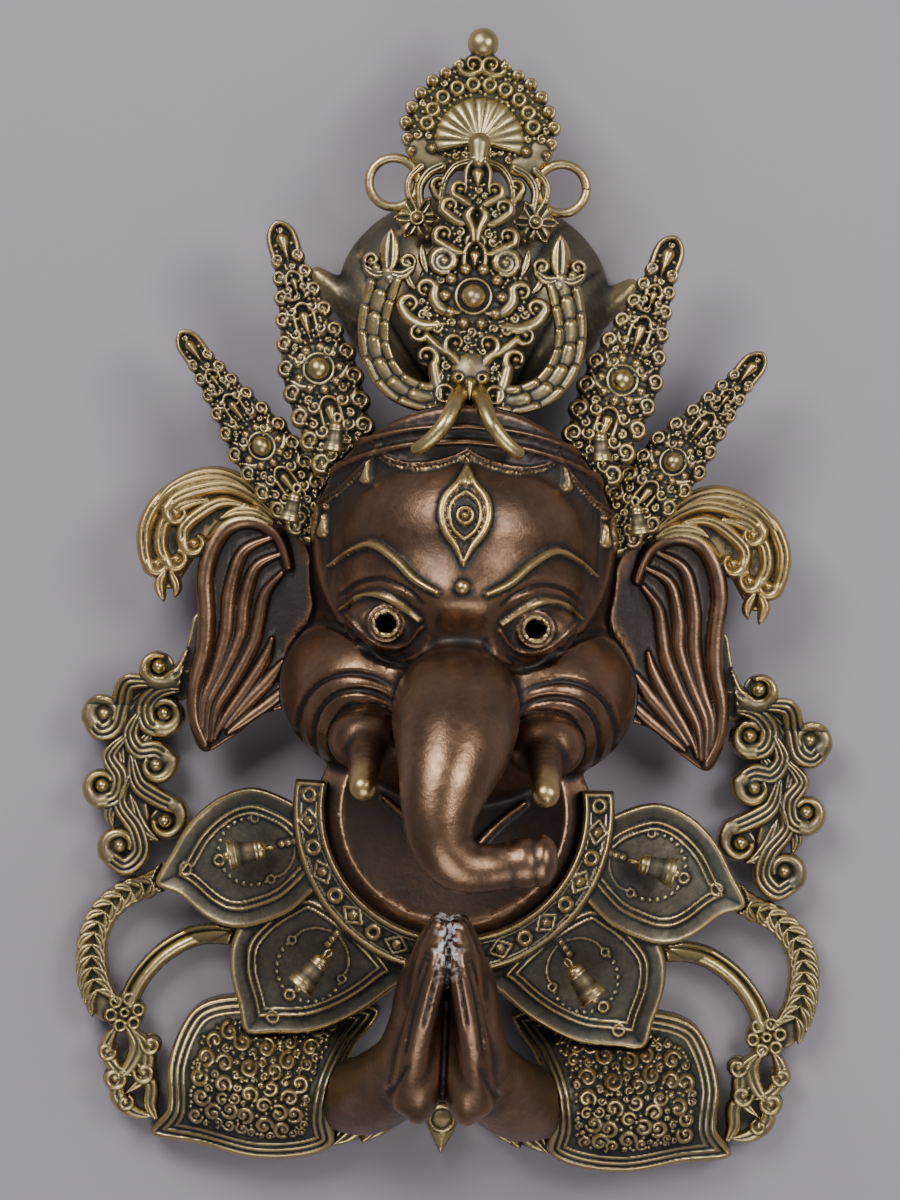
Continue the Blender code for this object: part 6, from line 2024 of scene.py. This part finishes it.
@dataclass
class Collar:
    """The studded neck ring with its four petals."""

    face: Face
    sheet: float = 3.4
    step: float = 0.6
    budget: int = 92000
    ring_centre: tuple[float, float] = (0, -91)
    ring_inner: tuple[float, float] = (56.5, 55)
    ring_outer: tuple[float, float] = (70.5, 72)
    ring_top: float = -81.0
    jaw_gap: float = 4.0
    studs: int = 19
    upper: tuple = (
        (50, -112), (64, -96), (76, -89), (90, -86), (104, -91), (116, -102), (124, -116), (130.5, -130),
        (120, -135), (108, -144), (97, -148), (84, -146), (66, -136),
    )
    lower: tuple = (
        (60, -126), (76, -132), (89, -143), (95.5, -154), (96, -168), (92, -182), (88, -194.5),
        (76, -194.5), (58, -192.5), (40, -184), (26, -173), (17, -162), (36, -140),
    )

    def petals(self, x: Array, y: Array) -> Array:
        """Distance to the petals, negative inside them, on either half."""
        upper, lower = spline(self.upper, closed=True), spline(self.lower, closed=True)
        return np.minimum(area_distance(np.abs(x), y, upper), area_distance(np.abs(x), y, lower))

    def bore(self, x: Array, y: Array) -> Array:
        """Field of the opening for the neck, positive inside it."""
        return -ellipsoid(x, y, 0 * x, (*self.ring_centre, 0), (*self.ring_inner, 1e3))

    def build(self, shop: Workshop) -> None:
        """Makes the collar."""
        grid = Grid((-138, -202), (138, -76), self.step)
        carving = grid.carving()
        x, y = carving.x, carving.y
        ax = np.abs(x)
        lower = np.maximum(area_distance(ax, y, spline(self.lower, closed=True)), self.bore(x, y))
        upper = np.maximum(area_distance(ax, y, spline(self.upper, closed=True)), self.bore(x, y))
        outer = ellipsoid(x, y, 0 * x, (*self.ring_centre, 0), (*self.ring_outer, 1e3))
        ring = np.maximum(np.maximum(self.bore(x, y), outer), y - self.ring_top)
        carving.edge = np.minimum(ring, np.minimum(upper, lower))
        for petal, lift in ((lower, 0.0), (upper, 1.6)):
            height = lift + 1.7 * np.clip((petal + 7.4) / 6.0, 0, 1) ** 1.5 + dome(petal, 0.9, 1.2)
            height = height + dome(np.abs(petal + 8.4) - 0.85, 1.5, 0.85)
            height = height + dome(np.abs(petal + 11.2) - 0.6, 0.9, 0.6)
            carving.height = np.where(petal < 0, height, carving.height)
        for sign in (-1, 1):
            self._petal_carving(carving, (88.5 * sign, -114.0), (117.4 * sign, -123.2), 1.6)
            self._petal_carving(carving, (60.8 * sign, -164.5), (76.5 * sign, -187.0), 0.0)
        self._ring(carving, ring)
        for level in (10.0, 4.0, 0.0):
            high = collar_surface(x, y) + level
            jaw = ellipsoid(x, y, high, *self.face.masses[-1][:2])
            cheek = ellipsoid(ax, y, high, *self.face.cheek)
            carving.edge = np.maximum(carving.edge, self.jaw_gap - np.minimum(jaw, cheek))
        round_edge(carving, 0.8)
        shell = grid.plate(carving, collar_surface, self.sheet)
        shop.piece("petal_collar", shell, Slot.DARK, ("collar",), COLLAR_RUB, self.budget)

    def _petal_carving(self, carving: Carving, centre: Point, tip: Point, lift: float) -> None:
        """The bead row of one petal with its scrolled wires, the bell's link and the ring studs."""
        middle, out = np.array(centre), np.subtract(tip, centre)
        out = out / np.hypot(*out)
        across = np.array((-out[1], out[0]))

        def at(along: float, aside: float) -> Array:
            """The place at distances along and across the petal."""
            return middle + along * out + aside * across

        for flank in (-1, 1):
            turns = np.radians(np.linspace(20, 102, 20))
            row = np.array([at(14.6 * math.cos(t), 14.6 * flank * math.sin(t)) for t in turns])
            carving.beads(row, 1.15, 1.5, 2.6, lift)
            wire = [at(a, flank * b) for a, b in ((-20, 2.5), (-17, 8.5), (-12, 12.6), (-7.5, 13.4))]
            carving.ridge(spline(wire), 0.8, rise=1.3, lift=lift)
            carving.ring(at(-5.6, flank * 13.8), 1.7, 0.7, 1.5, lift)
            carving.ridge(
                spline((at(15.5, flank * 2.5), at(19, flank * 4.5), at(22, flank * 9))), 0.6, rise=0.9,
                lift=lift,
            )
        for place, radius in ((14.8, 2.1), (float(np.hypot(*np.subtract(tip, centre))), 2.5)):
            carving.ring(at(place, 0), radius, 0.85, 1.7, lift + 0.6)
        for place in (-20.5, -17.2, -14.2):
            carving.bead(at(place, 0), 1.7, 2.2, lift + 0.6)

    def _ring(self, carving: Carving, ring: Array) -> None:
        """The neck ring with its two borders and its row of ring studs and diamond plates."""
        rising = 3.6 + dome(ring, 0.8, 1.4) + dome(np.abs(ring + 1.6) - 1.2, 1.5, 1.2)
        rising = rising + dome(np.abs(ring + 3.6) - 0.45, 0.5, 0.45)
        carving.height = np.where(ring < 0, rising, carving.height)
        middle = [(a + b) / 2 for a, b in zip(self.ring_inner, self.ring_outer)]
        angles = np.radians(np.linspace(-97, 97, 400))
        line = np.column_stack(
            [
                self.ring_centre[0] + middle[0] * np.sin(angles),
                self.ring_centre[1] - middle[1] * np.cos(angles),
            ]
        )
        away = np.concatenate([[0.0], np.cumsum(np.hypot(*np.diff(line, axis=0).T))])
        for index, place in enumerate(np.linspace(4.0, away[-1] - 4.0, self.studs)):
            centre = np.array([np.interp(place, away, line[:, k]) for k in (0, 1)])
            if index % 2 == 0:
                carving.ring(centre, 2.6, 1.25, 2.5, 4.2)
                carving.bead(centre, 2.4, 0.6, 4.2)
                continue
            radial = (centre - np.array(self.ring_centre)) / np.hypot(*(centre - np.array(self.ring_centre)))
            along = np.array((-radial[1], radial[0]))
            corners = [
                centre + 5.2 * along, centre + 4.2 * radial, centre - 5.2 * along, centre - 4.2 * radial,
            ]
            for start, end in zip(corners, corners[1:] + corners[:1]):
                carving.ridge(np.array((start, end)), 0.75, rise=1.2, lift=4.2)
            carving.bead(centre, 2.3, 2.6, 4.2)


COLLAR_RUB = RubLaw(
    ground=0.27, by_rise=0.16, full_rise=4.4, by_fine=0.65, fine_size=0.10, by_broad=0.34, broad_size=0.45
)


# Below the collar


@dataclass
class Sleeve:
    """A puffed, leaf-shaped sleeve with a grooved border round a field of scrolls."""

    hand: Hand
    collar: Collar
    sheet: float = 3.4
    step: float = 0.55
    budget: int = 44000
    border: float = 9.4
    level: float = 9.0
    puff_rise: float = 34.0
    cuff_rise: float = 20.0
    tuck: float = 1.5
    outline: tuple = (
        (30, -183), (40, -200), (46.5, -214), (49, -230), (48, -243), (60, -249.5), (82, -251), (106, -246),
        (129, -242.5), (122, -230), (122.5, -211), (117, -193), (108, -183), (90, -179), (60, -178),
    )

    def surface(self, x: Array, y: Array) -> Array:
        """Height of the sleeve's puffed ground."""
        across = (np.abs(x) - 84) / 50
        along = (y + 221) / 36
        cuff = ((np.abs(x) - 47) / 15) ** 2 + ((y + 214) / 24) ** 2
        puff = self.puff_rise * np.exp(-1.9 * (across**2 + along**2))
        return self.level + puff + self.cuff_rise * np.exp(-cuff)

    def build(self, shop: Workshop) -> None:
        """Makes the sleeve, hollow behind and held down under the petals."""
        sign = self.hand.value
        grid = Grid.on_half(sign, (26.0, -256), (134.0, -172), self.step)
        carving = grid.carving()
        x, y = carving.x, carving.y
        ring = spline(mirrored(self.outline, sign), closed=True)
        edge = area_distance(x, y, ring)
        carving.edge = edge
        height = dome(edge, 1.2, 1.4)
        for place, width, rise in ((1.5, 1.5, 2.6), (4.5, 1.3, 2.3), (7.3, 1.2, 2.0)):
            height = np.maximum(height, dome(np.abs(edge + place) - width, rise, width))
        carving.height = np.where(edge < 0, height, 0)
        self._scrolls(carving, edge)
        petals = self.collar.petals(x, y)
        under = collar_surface(x, y) - self.sheet - 1.2 - self.surface(x, y)
        carving.height = np.where(petals < self.tuck, np.minimum(carving.height, under), carving.height)
        shell = grid.plate(carving, self.surface, self.sheet)
        self._hollow(shell, sign)
        name = f"sleeve_{self.hand.label}"
        shop.piece(f"scrolled_{name}", shell, Slot.DARK, (name,), CARVED, self.budget)

    def _hollow(self, shell: Shell, sign: int) -> None:
        """Brings the rim of the back to the floor and hollows the rest."""
        back = shell.marks["front"] < 0.5
        half = len(shell.verts) // 2
        x, y = shell.verts[back, 0], shell.verts[back, 1]
        edge = area_distance(x, y, spline(mirrored(self.outline, sign), closed=True))
        depth = shell.verts[:half, 2] - self.sheet - 3.0
        shell.verts[half:, 2] = np.where(edge > -self.sheet, 0.0, np.maximum(depth, 0.0))

    def _scrolls(self, carving: Carving, edge: Array) -> None:
        """The field of winding scrolls inside the border."""
        filled = Carving(carving.x, carving.y)
        filled.edge = edge + self.border
        filled.fill((4.9, 4.3, 3.4, 2.4, 1.7, 1.2), 0.9, 11, 3.2, 0.15)
        carving.height = np.where(
            edge < 0.4 - self.border, np.maximum(carving.height, filled.height), carving.height
        )


@dataclass
class Hands:
    """The two hands, pressed palm to palm, with the forearms that come out of the sleeves."""

    face: Face
    sleeve: Sleeve
    collar: Collar
    step: float = 1.7
    budget: int = 50000
    gap: float = 1.2
    low: tuple[float, float, float] = (-62.0, -242.0, 2.0)
    high: tuple[float, float, float] = (62.0, -124.0, 134.0)
    forearm: tuple = ((42, -220, 30, 16.5), (33, -218, 44, 17.5), (22, -209, 64, 17), (13.5, -196, 84, 14))
    palm: tuple = ((10.5, -187, 88), (13.5, 38, 18))
    fingers: tuple = (
        ((9.5, -168, 92, 8.5), (7.5, -150, 104, 7.6), (4.0, -137, 112, 4.8)),
        ((9.0, -170, 100, 8.0), (7.0, -152, 113, 6.8), (3.6, -138.5, 119, 4.6)),
    )
    thumb: tuple = (
        (14.5, -213, 91, 8), (13, -195, 103, 7.5), (9.5, -175, 113, 6.8), (5.6, -158, 119, 5.6),
        (4.6, -150, 120, 4),
    )

    def form(self, x: Array, y: Array, z: Array) -> Array:
        """Field of the hands and forearms, clear of what lies round them."""
        form: Array | None = None
        for hand in Hand:
            sign = hand.value
            arm = limb(x, y, z, mirrored(self.forearm, sign), 1.8)
            palm = twin(x, y, z, self.palm, hand)
            whole = soft_union(arm, palm, 9)
            for finger in self.fingers:
                whole = soft_union(whole, limb(x, y, z, mirrored(finger, sign)), 2.0)
            whole = soft_union(whole, limb(x, y, z, mirrored(self.thumb, sign)), 1.5)
            form = whole if form is None else soft_union(form, whole, 0.8)
        ax = np.abs(x)
        petals = np.minimum(
            area_distance(*np.broadcast_arrays(ax, y), spline(self.collar.lower, closed=True, step=3)),
            ellipsoid(x, y, 0 * y, (*self.collar.ring_centre, 0), (*self.collar.ring_outer, 1e3)),
        )
        petals = np.maximum(petals, self.collar.bore(x, y))
        form = np.maximum(form, self.gap - np.maximum(petals, 0.8 * (z - collar_surface(x, y) - 9.0)))
        edge = area_distance(*np.broadcast_arrays(ax, y), spline(self.sleeve.outline, closed=True, step=3))
        top = 0.8 * (z - self.sleeve.surface(x, y) - 4.5)
        form = np.maximum(form, self.gap - np.maximum(edge, top))
        return np.maximum(form, self.gap - self.face.body(x, y, z))

    def build(self, shop: Workshop) -> None:
        """Makes the hands, with the white residue on their fingertips."""
        shell = surface_of(self.form, self.low, self.high, self.step)
        shell = split_quads(shell, lambda places: places[:, 2] > 34)
        shell = split_quads(
            shell, lambda places: (places[:, 1] > -190) & (places[:, 2] > 92) & (abs(places[:, 0]) < 14),
        )
        settle_on(self.form, shell)
        normal = shell.normals()
        x, y, z = shell.verts.T
        relief = Carving(x, y)
        for sign in (-1, 1):
            relief.groove(spline(mirrored(((9.5, -182), (6.4, -166), (3.0, -150)), sign)), 1.0, 1.0)
            relief.groove(spline(mirrored(((17, -196), (15, -180), (11.5, -163), (7, -148)), sign)), 1.3, 1.2)
            relief.groove(spline(mirrored(((24, -213), (19, -205), (15, -196)), sign)), 1.6, 0.8)
        relief.groove(spline(((0, -137), (0, -160), (0, -185), (0, -215))), 1.2, 1.8, taper=False)
        front = (normal[:, 2] > 0.15) & (z > 40)
        shell.verts = shell.verts + normal * (relief.height * front)[:, None]
        chalk = np.clip((y + 163) / 14, 0, 1) * np.clip((z - 96) / 10, 0, 1) * np.clip(
            (6.5 - np.abs(x + 0.5)) / 4, 0, 1,
        )
        shell.marks = {"front": (z > 30).astype(float), "rise": relief.height * front, "chalk": chalk}
        shop.piece("praying_hands", shell, Slot.SKIN, ("folded_hands",), SMOOTH, self.budget)


@dataclass
class BaseLeaves:
    """The leaf edges and the drop below the hands."""

    sleeve: Sleeve
    sheet: float = 3.4
    step: float = 0.5
    budget: int = 12000
    level: float = 6.0
    gap: float = 0.6

    def build(self, shop: Workshop) -> None:
        """Makes the plate."""
        grid = Grid((-56, -250), (56, -200), self.step)
        carving = grid.carving()
        for sign in (-1, 1):
            carving.blade(mirrored(((26, -214), (38, -234), (48, -245)), sign), 7.0, 2.4, 0.6, 2)
            carving.blade(mirrored(((-4, -212), (20, -226), (35, -243)), sign), 8.0, 2.8, 0.6, 3)
        carving.drop((0, -232), (0, -246), 8.0, 4.0, 0.6, grow=True)
        carving.ring((0, -231), 5.4, 1.0, 1.4, 3.6)
        carving.ridge(np.array(((-44.0, -216.0), (44.0, -216.0))), 9.0, rise=0.6, grow=True)
        round_edge(carving)
        cover = area_distance(np.abs(carving.x), carving.y, spline(self.sleeve.outline, closed=True))
        carving.edge = np.maximum(carving.edge, self.gap - cover)
        shell = grid.plate(carving, lambda x, y: self.level + 0 * x, self.sheet)
        shop.piece("base_leaves", shell, Slot.BRIGHT, ("base_petals",), CARVED, self.budget)


@dataclass
class Garland:
    """The braid, double arc, flower and tassel at an elbow."""

    hand: Hand
    collar: Collar
    sleeve: Sleeve
    sheet: float = 3.4
    step: float = 0.45
    budget: int = 31000
    level: float = 10.0
    gap: float = 0.6
    tuck: float = 1.5
    braid: tuple = (
        (124, -124), (133, -131), (144, -136), (153, -144), (158, -155), (158.5, -168), (156, -179),
        (151, -188),
    )
    arc: tuple = ((92, -152), (104, -152), (116, -155), (128, -163), (137, -174), (142, -185))
    flower: tuple[float, float] = (143.0, -189.0)

    def surface(self, x: Array, y: Array) -> Array:
        """Height of the garland's ground, raised to the collar's back where it starts."""
        under = collar_surface(x, y) - self.sheet - 1.2
        return self.level + np.clip(1 - self.collar.petals(x, y) / 12, 0, 1) * (under - self.level)

    def build(self, shop: Workshop) -> None:
        """Makes the garland."""
        sign = self.hand.value
        grid = Grid.on_half(sign, (84.0, -244), (170.0, -116), self.step)
        carving = grid.carving()
        self._braid(carving, sign)
        path = spline(mirrored(self.arc, sign))
        carving.ridge(path, 5.2, 4.4, 0.8, grow=True)
        ahead = np.gradient(path, axis=0)
        side = np.column_stack([-ahead[:, 1], ahead[:, 0]]) / np.hypot(*ahead.T)[:, None] * sign
        for shift, half, rise in ((-1.4, 3.1, 3.6), (3.2, 1.2, 2.6)):
            carving.ridge(path + side * shift, half, half * 0.85, rise, 0.6)
        self._tassel(carving, sign)
        middle = np.array((self.flower[0] * sign, self.flower[1]))
        carving.bead(middle, 9.0, 1.6, 0.6, grow=True)
        for turn in np.arange(6) * math.tau / 6 + 0.3:
            petal = middle + 6.2 * np.array((math.sin(turn), math.cos(turn)))
            carving.ring(petal, 2.3, 1.05, 2.6, 1.6, grow=True)
        carving.ring(middle, 1.7, 0.95, 2.8, 2.2)
        x, y = np.abs(carving.x), carving.y
        petals = self.collar.petals(x, y)
        carving.height = np.where(petals < self.tuck, np.minimum(carving.height, 0.2), carving.height)
        sleeve = area_distance(x, y, spline(self.sleeve.outline, closed=True))
        carving.edge = np.maximum(carving.edge, self.gap - sleeve)
        round_edge(carving)
        shell = grid.plate(carving, self.surface, self.sheet)
        name = f"garland_{self.hand.label}"
        shop.piece(f"elbow_{name}", shell, Slot.BRIGHT, (name,), CARVED, self.budget)

    def _braid(self, carving: Carving, sign: int) -> None:
        """The plait of leaves in pairs along the outer band."""
        path = spline(mirrored(self.braid, sign), step=0.7)
        away = np.concatenate([[0.0], np.cumsum(np.hypot(*np.diff(path, axis=0).T))])
        carving.ridge(path, 3.4, 5.8, 1.0, grow=True)
        for place in np.arange(1.0, away[-1] - 4, 5.2):
            size = 4.6 + 3.0 * place / away[-1]
            here = np.array([np.interp(place, away, path[:, k]) for k in (0, 1)])
            next_place = np.array([np.interp(place + 1, away, path[:, k]) for k in (0, 1)])
            ahead = next_place - here
            ahead = ahead / np.hypot(*ahead)
            across = np.array((-ahead[1], ahead[0]))
            for flank in (-1, 1):
                tip = here + ahead * size * 1.25 + across * flank * size * 0.92
                middle = here + ahead * size * 0.4 + across * flank * size * 0.66
                carving.blade((here - ahead, middle, tip), 2.45, 3.6, 0.8, 1)

    def _tassel(self, carving: Carving, sign: int) -> None:
        """The scrolls and leaves below the flower."""
        for points, width in (
            (((143, -193), (137, -203), (140, -213), (146, -219)), 4.0),
            (((146, -195), (150.5, -204), (147, -213), (139, -217)), 3.6),
            (((140, -196), (132.5, -205), (133, -217), (141, -225)), 3.6),
            (((136, -212), (130, -221), (130, -230), (126, -237.5)), 3.8),
            (((142, -216), (145, -226), (138, -233), (129, -235)), 3.8),
        ):
            carving.blade(mirrored(points, sign), width, 3.2, 0.8, 1)
        for x, y, radius, heading, turn in (
            (150.0, -206.5, 5.2, 180, 1), (131.0, -203.0, 5.4, 0, -1), (133.5, -215.5, 6.0, 0, -1),
            (146.0, -218.5, 6.2, 180, 1), (141.0, -229.0, 4.6, 120, 1),
        ):
            lean = heading if sign > 0 else 180 - heading
            carving.curl((x * sign, y), radius, lean, turn * sign, 3.4, 1.2)


# The bells


@dataclass
class Bell:
    """A turned bell that hangs by a link, with its clapper."""

    name: str
    hand: Hand
    place: tuple[float, float, float]
    heading: tuple[float, float]
    length: float
    mouth: float
    wall: float = 1.2
    sides: int = 40

    def build(self, shop: Workshop) -> None:
        """Makes the bell and its clapper."""
        lip, waist, long = self.mouth / 2, self.mouth * 0.31, self.length
        outer = (
            (0.3, 0.02), (0.55, -0.02), (0.98, -0.10), (1.0, -0.17), (0.96, -0.22), (1.04, -0.24),
            (1.04, -0.28), (1.0, -0.31), (1.08, -0.5), (1.18, -0.66), (1.42, -0.78), (1.46, -0.80),
            (1.44, -0.83),
        )
        profile = [(0.0, 0.03 * long)] + [(waist * r, long * h) for r, h in outer]
        profile += [(lip * 0.97, -0.93 * long), (lip, -0.97 * long), (lip * 0.98, -long)]
        profile += [(lip - self.wall * 0.6, -long), (waist * 1.15 - self.wall, -0.66 * long)]
        profile += [(waist - self.wall, -0.26 * long), (0.0, -0.16 * long)]
        shell = self._turned(profile)
        loop = np.linspace(0, math.tau, 33)
        link = np.column_stack([1.5 * np.cos(loop), 0 * loop, 1.9 + 1.9 * np.sin(loop)])
        shell = shell.joined(self._posed(tube(link, np.full(len(link), 0.65), 12, rise=3.0)))
        piece = shop.piece(
            f"{self.name}_{self.hand.label}", shell, Slot.BRIGHT, (f"{self.name}_{self.hand.label}",),
            BELL_RUB,
        )
        ball, stem, top = self.mouth * 0.15, self.mouth * 0.07, -0.16 * long - 0.4
        clapper = [(0.0, top), (stem, top - stem), (stem * 0.8, -0.86 * long)]
        for angle in np.linspace(0.35, math.pi - 0.25, 9):
            clapper.append((ball * math.sin(angle), -1.02 * long + ball * 1.1 * math.cos(angle)))
        clapper.append((0.0, -1.02 * long - ball * 1.12))
        node = f"{self.name}_{self.hand.label}_clapper"
        shop.piece(f"clapper_{piece.name}", self._turned(clapper, 20), Slot.BRIGHT, (node,), BELL_RUB)

    def _turned(self, profile: list[tuple[float, float]], sides: int | None = None) -> Shell:
        """A turned shell from its profile of radius and height, placed on the mask."""
        sides = sides or self.sides
        rows = profile[1:-1]
        turns = np.arange(sides) * math.tau / sides
        verts = [(0.0, 0.0, profile[0][1])]
        for radius, height in rows:
            verts += [(radius * math.cos(t), radius * math.sin(t), height) for t in turns]
        verts.append((0.0, 0.0, profile[-1][1]))
        index = np.arange(sides)
        after = (index + 1) % sides
        count = len(rows)
        base = 1 + np.arange(count - 1)[:, None] * sides
        quads = np.stack([base + index, base + sides + index, base + sides + after, base + after], axis=2)
        first = np.column_stack([np.zeros(sides, int), 1 + index, 1 + after])
        low = 1 + (count - 1) * sides
        final = np.column_stack([np.full(sides, len(verts) - 1), low + after, low + index])
        marks = {"front": np.ones(len(verts)), "rise": np.full(len(verts), 2.0)}
        return self._posed(
            Shell(np.array(verts), [quads.reshape(-1, 4), np.concatenate([first, final])], marks)
        )

    def _posed(self, shell: Shell) -> Shell:
        """The shell turned to hang along the bell's heading, at its place."""
        heading = Vector((self.heading[0] * self.hand.value, self.heading[1], 0)).normalized()
        turn = np.array(Vector((0, 0, -1)).rotation_difference(heading).to_matrix())
        place = np.array(self.place) * (self.hand.value, 1, 1)
        return Shell(shell.verts @ turn.T + place, shell.faces, shell.marks)


BELL_RUB = RubLaw(ground=0.45, by_rise=0.1, by_fine=0.35, fine_size=0.08, by_broad=0.3, broad_size=0.5)


def build_bells(shop: Workshop) -> None:
    """Makes the bells on the petals and at the feet of the crown leaves."""
    for hand in Hand:
        for rank, x, y, heading in (
            ("upper", 81, -111.5, (0.975, -0.22)), ("lower", 53.5, -157.5, (0.62, -0.785)),
        ):
            places = [(x + k * heading[0], y + k * heading[1]) for k in (0.0, 8.5, 17.0, 20.4)]
            lift = max(float(collar_surface(np.array(a), np.array(b))) for a, b in places)
            Bell(f"petal_bell_{rank}", hand, (x, y, lift + 12.6), heading, 17.0, 14.0).build(shop)
        for rank, place, heading in (("inner", (57, 75, 69), (0.1, -1)), ("outer", (74, 44, 60), (0.2, -1))):
            Bell(f"crown_bell_{rank}", hand, place, heading, 12.5, 9.2).build(shop)


# The studio


@dataclass
class Studio:
    """Pale floor, soft lights and the camera straight above."""

    height: float = 2.0
    frame_height: float = 0.5388
    sensor: float = 36.0
    roll: float = math.radians(2.2)
    aim_x: float = -0.0053
    floor_half: float = 4.0
    floor_colour: Colour = (0.30, 0.275, 0.305)
    surround: Colour = (0.60, 0.59, 0.62)
    surround_strength: float = 0.45
    light_aim: tuple[float, float, float] = (0.0, 0.0, 0.05)

    def build(self) -> None:
        """Makes the floor, the lights and the camera."""
        self._floor()
        self._lights()
        self._camera()

    def _floor(self) -> None:
        """A wide pale floor just under the mask."""
        mesh = bpy.data.meshes.new("floor")
        half = self.floor_half
        corners = [(-half, -half, 0), (half, -half, 0), (half, half, 0), (-half, half, 0)]
        mesh.from_pydata(corners, [], [(0, 1, 2, 3)])
        floor = bpy.data.objects.new("floor", mesh)
        floor.location.z = -FLOOR_GAP
        bpy.context.collection.objects.link(floor)
        paper = bpy.data.materials.new("floor_paper")
        paper.use_nodes = True
        shader = paper.node_tree.nodes["Principled BSDF"]
        shader.inputs["Base Color"].default_value = (*self.floor_colour, 1)
        shader.inputs["Roughness"].default_value = 0.9
        floor.data.materials.append(paper)
        floor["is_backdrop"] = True

    def _lights(self) -> None:
        """Two soft boxes over the crown, a low fill, and an even grey surround."""
        world = bpy.data.worlds.new("studio")
        world.use_nodes = True
        shade = world.node_tree.nodes["Background"].inputs
        shade["Color"].default_value = (*self.surround, 1)
        shade["Strength"].default_value = self.surround_strength
        bpy.context.scene.world = world
        for name, place, size, power in (
            ("key", (-0.75, 0.95, 1.35), 0.9, 26.0),
            ("side", (0.95, 0.45, 1.25), 0.7, 15.0),
            ("fill", (0.15, -1.1, 1.2), 0.9, 8.0),
        ):
            data = bpy.data.lights.new(name, "AREA")
            data.size = size
            data.energy = power
            light = bpy.data.objects.new(name, data)
            light.location = place
            ahead = Vector(self.light_aim) - Vector(place)
            light.rotation_euler = ahead.to_track_quat("-Z", "Y").to_euler()
            bpy.context.collection.objects.link(light)

    def _camera(self) -> None:
        """The camera, aimed at the middle of the photograph's frame."""
        data = bpy.data.cameras.new("camera")
        data.sensor_width = self.sensor
        data.lens = self.sensor * self.height / self.frame_height
        camera = bpy.data.objects.new("camera", data)
        tilt = math.atan2(self.aim_x, self.height)
        turn = Matrix.Rotation(self.roll, 4, "Z")
        lean = Matrix.Rotation(-tilt, 4, "Y")
        camera.matrix_world = Matrix.Translation((0, 0, self.height)) @ lean @ turn
        bpy.context.collection.objects.link(camera)
        bpy.context.scene.camera = camera


def main() -> None:
    """Builds the mask's pieces round the frame, then the studio."""
    logging.basicConfig(level=logging.INFO, format="%(name)s: %(message)s")
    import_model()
    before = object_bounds()
    unit = (before[1][1] - before[0][1]) / DRAWN_HEIGHT
    shop = Workshop(unit)
    face = Face()
    collar = Collar(face)
    face.build(shop)
    for hand in Hand:
        CrownLeaf(hand, "inner", (53, 58, 56), (86, 159, 44), 1.0, face).build(shop)
        CrownLeaf(hand, "outer", (66, 33, 47), (126, 110.5, 38), 0.92, face).build(shop)
        ear = Ear(hand, face)
        ear.build(shop)
        Ribbon(hand, ear).build(shop)
        sleeve = Sleeve(hand, collar)
        sleeve.build(shop)
        Garland(hand, collar, sleeve).build(shop)
    CentreLeaf(face).build(shop)
    Topknot(face).build(shop)
    Finial().build(shop)
    collar.build(shop)
    Hands(face, sleeve, collar).build(shop)
    BaseLeaves(sleeve).build(shop)
    build_bells(shop)
    Studio().build()
    LOG.info("whole mask: %d triangles", shop.triangles)


if __name__ == "__main__":
    main()
